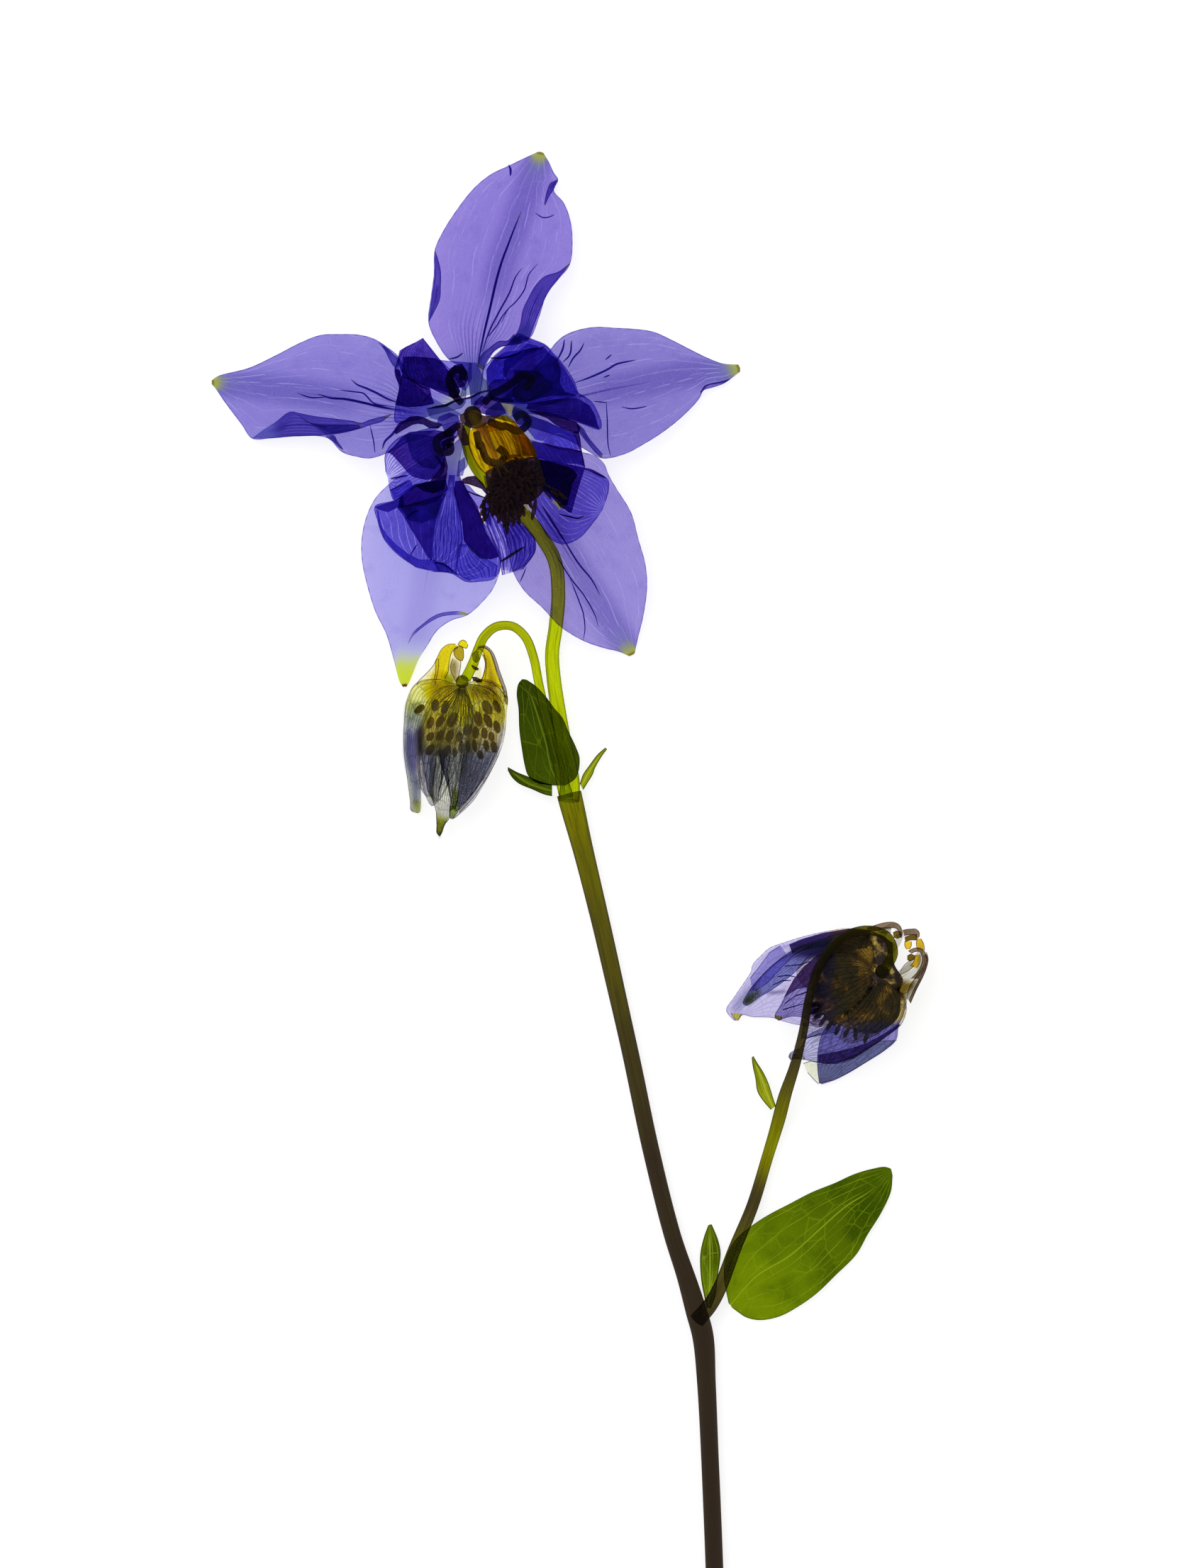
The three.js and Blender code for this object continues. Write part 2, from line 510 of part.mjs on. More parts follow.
// Pistil: five slim carpels on the stamens' hub, bent over the filaments.
function pistil() {
  const [x, y] = FLOWER;
  const pieces = [];
  for (let k = 0; k < 5; k += 1) {
    const turn = k * 2 * Math.PI / 5;
    const side = 0.32 * Math.cos(turn);
    const rise = 0.26 * Math.sin(turn);
    pieces.push(limb([
      [x + side, y + rise, 7.4], [x + 0.3 + side, y - 0.6 + rise, 8.2],
      [x + 1.1 + side, y - 2.2, 8.5 + rise], [x + 2.0 + side * 1.6, y - 4.4 + rise, 8.7 + rise],
      [x + 2.9 + side * 3.4, y - 6.6 + 2.0 * rise, 8.9 + rise],
    ], [0.36, 0.42, 0.4, 0.26, 0.16], 6, 4));
  }
  return fuse(pieces);
}

// ---------------------------------------------------------------- closed bud

// The closed bud is an egg flattened to half its width. along is the share of its length
// and turn the angle round its axis, 0 on top and 90 degrees on the right of the axis.
const SHOULDER = levels([0.28, 0.8, 0.96, 1.0, 0.97, 0.88, 0.74, 0.54, 0.22]);

function budPoint(along, turn, scale, length) {
  const [dx, dy] = BUD_AXIS;
  const reach = SHOULDER(along);
  const across = scale * BUD_HALF_WIDTH * reach * Math.sin(turn);
  return new THREE.Vector3(
    BUD[0] + dx * along * length - dy * across,
    BUD[1] + dy * along * length + dx * across,
    BUD_MIDDLE + scale * BUD_HALF_DEPTH * reach * Math.cos(turn));
}

const BUD_SEPALS = [
  { claw: 180, turn: 180, length: 18.2, span: 29 },
  { claw: 112, turn: 118, length: 15.9, span: 26 },
  { claw: 31, turn: 44, length: 16.6, span: 38 },
  { claw: -35, turn: -44, length: 17.4, span: 38 },
  { claw: -112, turn: -118, length: 15.4, span: 26 },
];
const BUD_PETALS = [
  { turn: -10, back: 4.3 },
  { turn: 66, back: 3.5 },
  { turn: 147, back: 2.6 },
  { turn: -147, back: 2.8 },
  { turn: -66, back: 3.9 },
];

function budSepal({ claw, turn, length, span }) {
  const width = levels([9, 11, 0.75 * span, span, span, span, span, 0.7 * span, 0.3 * span]);
  return sheet((t, s) => {
    const middle = mix(claw, turn, Math.min(1, 3 * t));
    return budPoint(mix(0.05, 1, t), radians(middle + s * width(t)), 1, length);
  }, 9, 4);
}

function budPetal({ turn, back: end }) {
  const width = levels([8, 16, 25, 26, 24, 14]);
  const shell = sheet(
    (t, s) => budPoint(mix(0.14, 0.8, t), radians(turn + s * width(t)), 0.6, BUD_LENGTH), 5, 2);
  const angle = radians(turn);
  const sag = (share, back, radius = 1) => {
    const [dx, dy] = BUD_AXIS;
    const across = share * BUD_HALF_WIDTH * Math.sin(angle);
    return [BUD[0] - dx * back - dy * across, BUD[1] - dy * back + dx * across,
      BUD_MIDDLE + radius * share * BUD_HALF_DEPTH * Math.cos(angle)];
  };
  const tube = limb(
    [sag(0.52, -3.0), sag(0.56, -0.8), sag(0.6, 0.35 * end), sag(0.5, 0.8 * end), sag(0.38, end),
      sag(0.32, 0.8 * end)],
    [0.36, 0.4, 0.46, 0.4, 0.36], 10, 6);
  return fuse([shell, tube]);
}

// The stamens packed inside the bud: a slim core with its anthers standing out of it.
function budStamens() {
  const [dx, dy] = BUD_AXIS;
  const place = (along, across, height) => new THREE.Vector3(
    BUD[0] + dx * along - dy * across, BUD[1] + dy * along + dx * across, BUD_MIDDLE + height);
  const core = limb([
    [...place(1.4, 0, 0)], [...place(4.0, 0, 0)], [...place(7.0, 0, 0)], [...place(9.4, 0, 0)],
  ], [0.45, 0.7, 0.75, 0.4], 6, 6);
  const pieces = [core];
  for (let row = 0; row < 6; row += 1) {
    for (let k = -1; k <= 1; k += 1) {
      const across = k * 1.5 + (row % 2 ? 0.35 : -0.35);
      const start = place(2.2 + row * 1.1, 0, 0);
      const end = place(3.4 + row * 1.25, across, 0.3 * (row % 2 ? 1 : -1));
      pieces.push(...stamen(start, end, 0.17, [0.36, 0.3, 0.6]));
    }
  }
  return fuse(pieces);
}

// ---------------------------------------------------------------- half-open bud

const HALF_SEPALS = {
  half_sepal_1: {
    left: [[34.3, -8.1], [32.6, -5.2], [29.6, -4.9], [24.8, -5.9], [21.0, -8.4], [19.3, -11.2],
      [17.8, -13.8], [18.3, -14.8]],
    right: [[34.1, -9.6], [31.8, -11.7], [28.2, -14.1], [25.9, -15.4], [21.6, -14.4], [19.2, -14.9]],
    rib: [[34.1, -8.9], [31.0, -7.9], [26.2, -9.6], [22.2, -12.2], [18.7, -14.8]],
    lift: [1.4, HALF_BACK, HALF_BACK, HALF_BACK],
  },
  half_sepal_2: {
    left: [[34.4, -8.4], [31.8, -6.6], [27.8, -6.2], [24.2, -7.4], [21.8, -9.6], [19.6, -12.8]],
    right: [[34.1, -9.0], [31.8, -8.9], [27.8, -8.8], [25.0, -9.9], [22.6, -11.6], [20.0, -13.3]],
    rib: [[34.2, -8.7], [29.0, -7.6], [24.4, -8.9], [19.8, -13.0]],
    lift: [HALF_FRONT, HALF_FRONT, 5.0, 2.6],
    rows: 8,
  },
  half_sepal_3: {
    left: [[34.0, -9.4], [31.0, -9.5], [27.0, -10.4], [24.8, -11.9], [23.4, -13.9]],
    right: [[34.1, -10.1], [31.8, -13.0], [28.6, -14.6], [26.0, -15.4], [23.8, -14.9]],
    rib: [[34.0, -9.7], [30.0, -11.8], [26.4, -13.2], [23.5, -14.5]],
    lift: [HALF_FRONT, HALF_FRONT, 5.4, 4.0],
    rows: 8,
  },
  half_sepal_4: {
    left: [[34.3, -10.3], [33.2, -13.6], [31.2, -15.6], [28.6, -17.2], [26.2, -18.1], [24.8, -18.5]],
    right: [[34.9, -10.7], [36.2, -14.2], [34.8, -17.1], [31.8, -19.2], [28.2, -19.8], [24.8, -19.1]],
    rib: [[34.6, -10.5], [34.0, -14.6], [31.4, -17.4], [28.2, -18.6], [24.8, -18.8]],
    lift: [HALF_FRONT, HALF_FRONT, 5.0, 3.2, 1.5],
    rows: 10,
  },
  half_sepal_5: {
    left: [[34.9, -10.9], [32.0, -14.4], [29.4, -15.9], [28.3, -18.2], [28.0, -21.6]],
    right: [[35.8, -10.8], [38.1, -12.5], [37.4, -15.0], [36.6, -17.6], [33.7, -19.5], [28.6, -22.2]],
    rib: [[35.3, -10.9], [34.6, -15.4], [32.0, -18.6], [28.3, -21.9]],
    lift: [1.4, HALF_BACK, HALF_BACK, HALF_BACK],
    rows: 10,
  },
};

const HALF_PETALS = {
  half_petal_1: {
    left: [[34.2, -8.6], [31.2, -6.8], [27.6, -7.2], [25.6, -9.2]],
    right: [[34.0, -9.2], [31.0, -10.6], [27.6, -11.8], [25.8, -10.4]],
    rib: [[34.1, -8.9], [30.4, -8.8], [25.6, -9.8]],
    lift: [2.5, 1.8, 1.75, 1.8],
    spur: [[34.2, -7.8, 2.5], [35.2, -6.7, 2.4], [36.0, -5.3, 2.0], [37.0, -4.9, 1.9], [37.2, -5.8, 2.1],
      [36.5, -6.2, 2.2]],
  },
  half_petal_2: {
    left: [[34.0, -8.9], [31.0, -7.4], [28.2, -8.0], [27.0, -9.8]],
    right: [[33.9, -9.5], [31.0, -11.0], [28.4, -11.6], [27.1, -10.4]],
    rib: [[33.9, -9.2], [30.4, -9.2], [27.0, -10.1]],
    lift: [4.5, 4.6, 4.6, 4.4],
    spur: [[34.2, -8.1, 4.5], [35.3, -7.6, 4.4], [36.6, -6.9, 4.2], [37.8, -5.9, 4.0], [38.8, -6.2, 3.9],
      [38.3, -6.9, 4.0]],
  },
  half_petal_3: {
    left: [[33.9, -9.8], [31.0, -11.6], [29.2, -13.2], [29.0, -14.4]],
    right: [[34.2, -10.2], [33.4, -12.6], [31.8, -14.6], [29.9, -15.3]],
    rib: [[34.0, -10.0], [32.2, -12.2], [29.3, -14.9]],
    lift: [4.5, 4.6, 4.6, 4.4],
    spur: [[34.2, -10.9, 3.8], [35.2, -11.1, 3.5], [36.4, -10.5, 3.5], [37.6, -9.6, 3.5], [39.0, -8.9, 3.3],
      [39.6, -7.9, 3.2], [39.2, -7.1, 3.2], [38.5, -7.5, 3.3]],
  },
  half_petal_4: {
    left: [[34.7, -10.5], [33.9, -13.0], [33.1, -15.3], [31.9, -16.8]],
    right: [[35.2, -10.6], [36.3, -13.0], [35.4, -15.8], [33.2, -17.2]],
    rib: [[34.95, -10.6], [35.1, -13.2], [32.5, -17.1]],
    lift: [4.5, 4.6, 4.5, 4.2],
    spur: [[36.3, -11.0, 4.5], [37.6, -10.5, 4.5], [38.6, -9.6, 4.4], [39.0, -8.5, 4.3], [38.2, -8.2, 4.3]],
  },
  half_petal_5: {
    left: [[34.4, -10.6], [32.6, -13.4], [31.0, -15.6], [30.4, -17.0]],
    right: [[35.2, -10.9], [36.2, -13.6], [34.8, -16.4], [31.8, -17.6]],
    rib: [[34.8, -10.7], [34.2, -13.8], [31.0, -17.4]],
    lift: [2.2, 1.8, 1.75, 1.8],
    spur: [[36.4, -10.9, 2.2], [37.6, -10.9, 2.0], [38.9, -10.6, 1.8], [39.3, -11.5, 1.7], [38.4, -11.8, 1.8]],
  },
};

function halfPetal({ spur: route, ...lobe }) {
  const claw = [lobe.rib[0][0], lobe.rib[0][1], lobe.lift[0]];
  const tube = limb([claw, ...route], [0.3, 0.42, SPUR_RADIUS, 0.36, 0.34, 0.4], 14, 6);
  return fuse([blade({ ...lobe, rows: 6, columns: 2 }), tube]);
}

// A ball of anthers, flattened between the back and front petals.
const BALL = [30.8, -12.0, 3.05];

function halfStamens() {
  const [x, y, z] = BALL;
  const pieces = [new THREE.IcosahedronGeometry(1, 1).scale(2.9, 2.8, 0.75).translate(x, y, z)];
  const count = 26;
  for (let i = 0; i < count; i += 1) {
    const spread = Math.sqrt((i + 0.5) / count);
    const turn = i * GOLDEN_ANGLE;
    const end = new THREE.Vector3(
      x + 3.3 * spread * Math.cos(turn), y + 3.2 * spread * Math.sin(turn),
      z + (i % 2 ? 0.5 : -0.5) * Math.sqrt(1.1 - spread * spread));
    pieces.push(...stamen(new THREE.Vector3(x, y, z), end, 0.17, [0.4, 0.26, 0.62]));
  }
  pieces.push(limb([[33.9, -9.9, z], [33.0, -10.6, z], [31.6, -11.5, z]], [0.35, 0.5, 0.6], 3, 6));
  return fuse(pieces);
}

// ---------------------------------------------------------------- the scene graph

const plant = new THREE.Group();

function add(name, geometry, color, roughness = 0.6) {
  const material = new THREE.MeshStandardMaterial({ color, roughness, metalness: 0 });
  const mesh = new THREE.Mesh(geometry, material);
  mesh.name = name;
  plant.add(mesh);
}

add('stem', stem(), GREEN);
for (const [name, outline] of Object.entries(LEAVES)) {
  add(name, fuse([blade(outline)]), name.startsWith('leaf') ? GREEN : DARK_GREEN);
}
for (const [name, outline] of Object.entries(SEPALS)) {
  const pale = name === 'sepal_lower_left';
  add(name, fuse([blade({ rows: 14, columns: 6, cup: 0.25, ...outline })]), pale ? PALE_LILAC : LILAC);
}
for (const [name, parts] of Object.entries(PETALS)) {
  add(name, petal(parts), VIOLET);
}
add('stamens', stamens(), OLIVE);
add('pistil', pistil(), GREEN);
BUD_SEPALS.forEach((outline, i) => add(`bud_sepal_${i + 1}`, fuse([budSepal(outline)]), GREY_LILAC));
BUD_PETALS.forEach((turn, i) => add(`bud_petal_${i + 1}`, budPetal(turn), MID_VIOLET));
add('bud_stamens', budStamens(), BROWN);
for (const [name, outline] of Object.entries(HALF_SEPALS)) {
  add(name, fuse([blade(outline)]), GREY_LILAC);
}
for (const [name, outline] of Object.entries(HALF_PETALS)) {
  add(name, halfPetal(outline), MID_VIOLET);
}
add('half_stamens', halfStamens(), BROWN);

export default plant;
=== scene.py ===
# %% [markdown]
# # A pressed columbine, piece by piece
# The real thing is one cut flowering stem: an open flower, a closed bud, a half-open bud,
# leaves and bracts, pressed until light shines through it. Every sepal and petal is a
# film of about a seventh of a millimetre, so what the eye sees is mostly colour that the
# light picks up on its way through one, two or five films. That decides how everything
# below is made: thin closed sheets laid over one another, each with a stained-glass finish.
#
# The solid model is loaded first. It never moves, and each finer piece takes the place
# of one of its nodes. All lengths in this lesson are millimetres until a mesh is made.

# %% The fixed model
import bpy
import numpy as np
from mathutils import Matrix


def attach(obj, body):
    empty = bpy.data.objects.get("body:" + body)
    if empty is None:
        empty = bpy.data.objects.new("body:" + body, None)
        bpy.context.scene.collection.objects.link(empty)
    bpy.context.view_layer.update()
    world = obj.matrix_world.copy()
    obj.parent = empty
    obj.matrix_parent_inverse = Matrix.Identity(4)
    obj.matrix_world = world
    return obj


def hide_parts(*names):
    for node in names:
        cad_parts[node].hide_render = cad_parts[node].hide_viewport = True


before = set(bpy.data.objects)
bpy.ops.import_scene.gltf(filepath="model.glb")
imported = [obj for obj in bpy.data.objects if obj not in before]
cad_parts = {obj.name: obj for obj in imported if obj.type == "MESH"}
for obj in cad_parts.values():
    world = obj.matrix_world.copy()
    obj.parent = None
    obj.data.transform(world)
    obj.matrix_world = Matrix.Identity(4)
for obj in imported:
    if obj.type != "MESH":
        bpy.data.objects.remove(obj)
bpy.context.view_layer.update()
MM = 0.001

# %% [markdown]
# ## The camera
# The stem lies on a light table and the camera hangs straight above it. A long lens far
# away keeps the drawing flat, as in a herbarium sheet; a short lens would lean the parts
# that lie higher outwards. The distance follows from the height of the view.

# %% A long lens, straight above
VIEW_HEIGHT = 176.96
VIEW_CENTRE = (2.2, 11.68)
LENS = 180.0
SENSOR = 36.0

camera = bpy.data.objects.new("camera", bpy.data.cameras.new("camera"))
bpy.context.collection.objects.link(camera)
camera.data.lens = LENS
camera.data.sensor_width = SENSOR
camera.data.clip_start = 0.01
camera.data.clip_end = 20.0
camera_height = VIEW_HEIGHT * LENS / SENSOR
camera.location = (VIEW_CENTRE[0] * MM, VIEW_CENTRE[1] * MM, camera_height * MM)
bpy.context.scene.camera = camera
print("camera height", round(camera_height, 1), "mm")

# %% [markdown]
# ## Smooth lines and levels
# Outlines of petals are given by a handful of points. A Catmull-Rom line passes through
# all of them; the centripetal kind makes no loops where points crowd together. It is
# sampled densely and read by its own length, so even steps of t are even steps along it.

# %% Lines through points
def line(points, straight=False):
    """A line as a function of the share t of its length. Between two points: a cubic
    whose slopes are the neighbours' differences, each divided by the square root of the
    gap it spans; or, if straight, the segment itself."""
    p = np.array(points, float)
    ends = np.vstack([2 * p[0] - p[1], p, 2 * p[-1] - p[-2]])
    gap = np.sqrt(np.linalg.norm(np.diff(ends, axis=0), axis=1))[:, None]
    gap = np.maximum(gap, 1e-4)
    x0, x1, x2, x3 = ends[:-3], ends[1:-2], ends[2:-1], ends[3:]
    g0, g1, g2 = gap[:-2], gap[1:-1], gap[2:]
    leave = ((x1 - x0) / g0 - (x2 - x0) / (g0 + g1)) * g1 + (x2 - x1)
    arrive = ((x3 - x2) / g2 - (x3 - x1) / (g1 + g2)) * g1 + (x2 - x1)
    u = np.linspace(0, 1, 24, endpoint=False)[:, None, None]
    dense = ((2 * u**3 - 3 * u**2 + 1) * x1 + (u**3 - 2 * u**2 + u) * leave
             + (3 * u**2 - 2 * u**3) * x2 + (u**3 - u**2) * arrive)
    dense = p if straight else np.vstack([dense.transpose(1, 0, 2).reshape(-1, p.shape[1]), p[-1]])
    length = np.append(0, np.cumsum(np.linalg.norm(np.diff(dense, axis=0), axis=1)))
    share = length / length[-1]

    def at(t):
        return np.stack([np.interp(t, share, column) for column in dense.T], axis=-1)

    at.length = length[-1]
    return at


def levels(values):
    """A number that passes smoothly through evenly spaced values as t goes from 0 to 1."""
    v = np.array(values, float)
    if len(v) == 1:
        return lambda t: np.full_like(np.asarray(t, float), v[0])
    ends = np.concatenate([v[:1], v, v[-1:]])

    def at(t):
        place = np.clip(t, 0, 1) * (len(v) - 1)
        i = np.minimum(place.astype(int), len(v) - 2)
        u = place - i
        a, b, c, d = ends[i], ends[i + 1], ends[i + 2], ends[i + 3]
        return b + 0.5 * u * (c - a + u * (2 * a - 5 * b + 4 * c - d + u * (3 * (b - c) + d - a)))

    return at


def unit(vectors):
    """Each vector divided by its length."""
    return vectors / np.maximum(np.linalg.norm(vectors, axis=-1, keepdims=True), 1e-9)


print("a quarter turn is", round(line([[1, 0], [0.7, 0.7], [0, 1]]).length, 2), "long")

# %% [markdown]
# ## A film
# A petal could be a single open sheet, but an open sheet has no inside and casts odd
# shades. A film has a top and a bottom, a seventh of a millimetre apart, that meet in
# one shared line of points all round the rim. That closes it without any extra faces.
# FILM is half its thickness, and THIN is that of the finer films in buds and stamens.
#
# Each point carries what its finish needs to know: "lay" is the distance across, the
# distance along and the distance to the nearest edge, in millimetres. "mark" is the
# share across (-1 to 1), the share along (0 to 1) and a number for folds.

# %% Closed films
FILM, THIN = 0.07, 0.05
LOWEST = 0.03


def above_table(points):
    """The same points with none of them lower than LOWEST."""
    points[:, 2] = np.maximum(points[:, 2], LOWEST)
    return points


def film(middle, lay, mark, half=FILM):
    """Top = middle + half x normal, bottom = middle - half x normal, rim = middle."""
    down = np.gradient(middle, axis=0)
    across = np.gradient(middle, axis=1)
    normal = unit(np.cross(across, down))
    if normal[..., 2].mean() < 0:
        middle, lay, mark = middle[:, ::-1], lay[:, ::-1], mark[:, ::-1]
        normal = -normal[:, ::-1]
    rows, columns = middle.shape[:2]
    top = middle + half * normal
    top[[0, -1]] = middle[[0, -1]]
    top[:, [0, -1]] = middle[:, [0, -1]]
    bottom = middle - half * normal
    over = np.arange(rows * columns).reshape(rows, columns)
    under = over.copy()
    inner = (slice(1, -1), slice(1, -1))
    under[inner] = rows * columns + np.arange((rows - 2) * (columns - 2)).reshape(
        rows - 2, columns - 2)

    def both(values, low=None):
        low = values if low is None else low
        return np.vstack([values.reshape(-1, 3), low[inner].reshape(-1, 3)])

    def quads(index):
        return np.stack([index[:-1, :-1], index[:-1, 1:], index[1:, 1:], index[1:, :-1]],
                        axis=-1).reshape(-1, 4)

    faces = [quads(over), quads(under)[:, ::-1]]
    return above_table(both(top, bottom)), faces, both(lay), both(mark)


def rim_distance(middle, edges):
    """For each point of the grid, the distance to the nearest point of the outline."""
    gaps = middle[:, :, None, :2] - edges[None, None, :, :2]
    return np.sqrt((gaps**2).sum(axis=-1).min(axis=-1))


# %% [markdown]
# ## Blades
# A blade is drawn by its left edge, its right edge and its midrib. A point of it is
# found by going t along all three lines and then the share |s| from the midrib to an
# edge. Its height follows the midrib's levels; cup raises both edges and a little seeded
# relief keeps it from looking like cut paper. A strip has two edges and no midrib: it
# serves for folds, flaps and creases.

# %% Blades and strips
RELIEF_WAVES = 14
EDGE_WAVES = 3
noise_seed = np.random.default_rng(11)
SWELLS = noise_seed.normal(size=(RELIEF_WAVES, 2))
PHASES = noise_seed.uniform(0, 2 * np.pi, RELIEF_WAVES)


def relief(x, y, size):
    """A gentle random landscape, mostly between -1 and 1: 14 sine waves in random
    directions, each about three times size long, added and divided by 4."""
    waves = [np.sin((a * x + b * y) * 2.2 / size + phase) for (a, b), phase in zip(SWELLS, PHASES)]
    return np.sum(waves, axis=0) / 4


def blade(left, right, rib, lift, cup=0.25, wave=0.0, rows=84, columns=36, rough=0.06,
          fold=0.0, straight=False):
    """Point (t, s) = midrib(t) + |s| x (edge(t) - midrib(t)), raised by the levels of
    lift + (cup x s squared + wave x s x sin(6 pi t) + rough x relief) x swell, where
    swell = sin(1.15 pi t) brings all three to nothing at both ends."""
    t = np.linspace(0, 1, rows)[:, None]
    s = np.linspace(-1, 1, columns)[None, :]
    left_edge, right_edge, midrib = line(left, straight), line(right, straight), line(rib)
    spine = midrib(t[:, 0])[:, None]
    side = np.where(s[..., None] < 0, left_edge(t[:, 0])[:, None], right_edge(t[:, 0])[:, None])
    reach = side - spine
    short = np.linalg.norm(reach, axis=-1, keepdims=True)
    reach = reach * np.maximum(short, 0.02) / np.maximum(short, 1e-6)
    flat = spine + np.abs(s)[..., None] * reach
    swell = np.clip(np.sin(np.pi * np.minimum(1, 1.15 * t)), 0, None)
    height = levels(lift)(t) + (cup * s**2 + wave * s * np.sin(2 * np.pi * EDGE_WAVES * t)) * swell
    height = height + rough * relief(flat[..., 0], flat[..., 1], 4.0) * swell
    middle = np.dstack([flat, height])
    fine = np.linspace(0, 1, 160)
    edges = np.vstack([left_edge(fine), right_edge(fine)])
    wide = np.linalg.norm(side - spine, axis=-1)
    lay = np.dstack([s * wide, np.broadcast_to(t * midrib.length, wide.shape),
                     rim_distance(middle, edges)])
    mark = np.dstack([np.broadcast_to(s, wide.shape), np.broadcast_to(t, wide.shape),
                      np.full(wide.shape, fold)])
    return middle, lay, mark


def strip(left, right, lift, rows=40, columns=10, fold=0.35, rough=0.03, straight=False):
    """A blade whose midrib runs half-way between its edges."""
    fine = np.linspace(0, 1, 9)
    rib = (line(left, straight)(fine) + line(right, straight)(fine)) / 2
    return blade(left, right, rib, lift, cup=0.0, rows=rows, columns=columns, rough=rough,
                 fold=fold, straight=straight)


def lie_on(parts, host, gap):
    """The same strip with its height read from the nearest point of a host blade."""
    middle, lay, mark = parts
    host_points = host[0].reshape(-1, 3)
    flat = middle[..., :2].reshape(-1, 1, 2)
    nearest = ((flat - host_points[None, :, :2])**2).sum(axis=-1).argmin(axis=-1)
    height = host_points[nearest, 2].reshape(middle.shape[:2])
    for _ in range(2):
        height[1:-1] = (height[:-2] + 2 * height[1:-1] + height[2:]) / 4
    middle = middle.copy()
    middle[..., 2] = height + gap
    return middle, lay, mark


def crease(points, width=0.16, rows=36, fold=1.0):
    """A ribbon along a line, as wide as width x the square root of sin(pi t)."""
    course = line(points)
    t = np.linspace(0, 1, rows)
    centre = course(t)
    ahead = unit(np.gradient(centre, axis=0))
    aside = np.stack([-ahead[:, 1], ahead[:, 0]], axis=-1)
    half = (0.02 + 0.5 * width * np.sqrt(np.sin(np.pi * t)))[:, None]
    return strip(centre - half * aside, centre + half * aside, [0], rows=rows, columns=4,
                 fold=fold, rough=0)


# %% [markdown]
# ## Tubes, turned columns and beads
# Stems, spurs and filaments are rings carried along a route. A receptacle is a profile
# turned round an upright line. Anthers are egg-shaped beads: they come in hundreds, so
# each has a few dozen faces and all are worked out in one array.

# %% Tubes
def carried(course, t):
    """The centre of a route at t with the directions up and aside, both square to it."""
    step = 0.002
    centre = course(t)
    ahead = unit(course(np.minimum(t + step, 1)) - course(np.maximum(t - step, 0)))
    up = unit(np.array([0.0, 0.0, 1.0]) - ahead * ahead[:, 2:] + 1e-5)
    up = unit(up - ahead * (up * ahead).sum(axis=-1, keepdims=True))
    return centre, up, np.cross(ahead, up)


def ring_faces(rings, sides):
    """Quads between rings of points, and triangles from the first and the last ring to
    two poles, which come after all the rings."""
    here = np.arange(rings * sides).reshape(rings, sides)
    beside = np.roll(here, -1, axis=1)
    body = np.stack([here[:-1], beside[:-1], beside[1:], here[1:]], axis=-1).reshape(-1, 4)
    caps = np.vstack([
        np.stack([np.full(sides, here.size), beside[0], here[0]], axis=-1),
        np.stack([np.full(sides, here.size + 1), here[-1], beside[-1]], axis=-1)])
    return body, caps


def tube(route, radii, count=60, sides=14, flat=1.0, fold=0.0):
    """Corner = centre(t) + radius(t) x (flat cos a x up + sin a x side), closed by a
    pole at both ends. Its "lay" is (radius cos a, radius sin a, along)."""
    t = np.linspace(0, 1, count)
    course = line(route)
    centre, up, side = carried(course, t)
    radius = levels(radii)(t)[:, None]
    a = np.linspace(0, 2 * np.pi, sides, endpoint=False)[None]
    cos, sin = np.cos(a), np.sin(a)
    ring = centre[:, None] + radius[..., None] * (
        flat * cos[..., None] * up[:, None] + sin[..., None] * side[:, None])
    points = np.vstack([ring.reshape(-1, 3), centre[[0, -1]]])
    along = np.broadcast_to(t[:, None] * course.length, (count, sides))
    share = np.broadcast_to(t[:, None], (count, sides))
    dark = np.broadcast_to(np.asarray(levels(np.atleast_1d(fold))(t))[:, None], (count, sides))
    lay = np.dstack([radius * cos, radius * sin, along]).reshape(-1, 3)
    mark = np.dstack([np.broadcast_to(cos, (count, sides)), share, dark]).reshape(-1, 3)
    lay = np.vstack([lay, [[0, 0, 0], [0, 0, course.length]]])
    mark = np.vstack([mark, [[1, 0, dark[0, 0]], [1, 1, dark[-1, 0]]]])
    return above_table(points), ring_faces(count, sides), lay, mark


def turned(centre, profile, sides=24, fold=0.0):
    """Corner = centre + (r cos a, r sin a, z) for each (r, z) of the profile."""
    r, z = levels([p[0] for p in profile]), levels([p[1] for p in profile])
    t = np.linspace(0, 1, 6 * len(profile))
    a = np.linspace(0, 2 * np.pi, sides, endpoint=False)[None]
    radius = np.maximum(r(t), 0.01)[:, None]
    ring = np.dstack([centre[0] + radius * np.cos(a), centre[1] + radius * np.sin(a),
                      np.broadcast_to(z(t)[:, None], (len(t), sides))])
    ends = [[centre[0], centre[1], z(t[:1])[0]], [centre[0], centre[1], z(t[-1:])[0]]]
    points = np.vstack([ring.reshape(-1, 3), ends])
    lay = points - np.array([centre[0], centre[1], 0])
    mark = np.tile([0.5, 0.5, fold], (len(points), 1))
    return points, ring_faces(len(t), sides), lay, mark


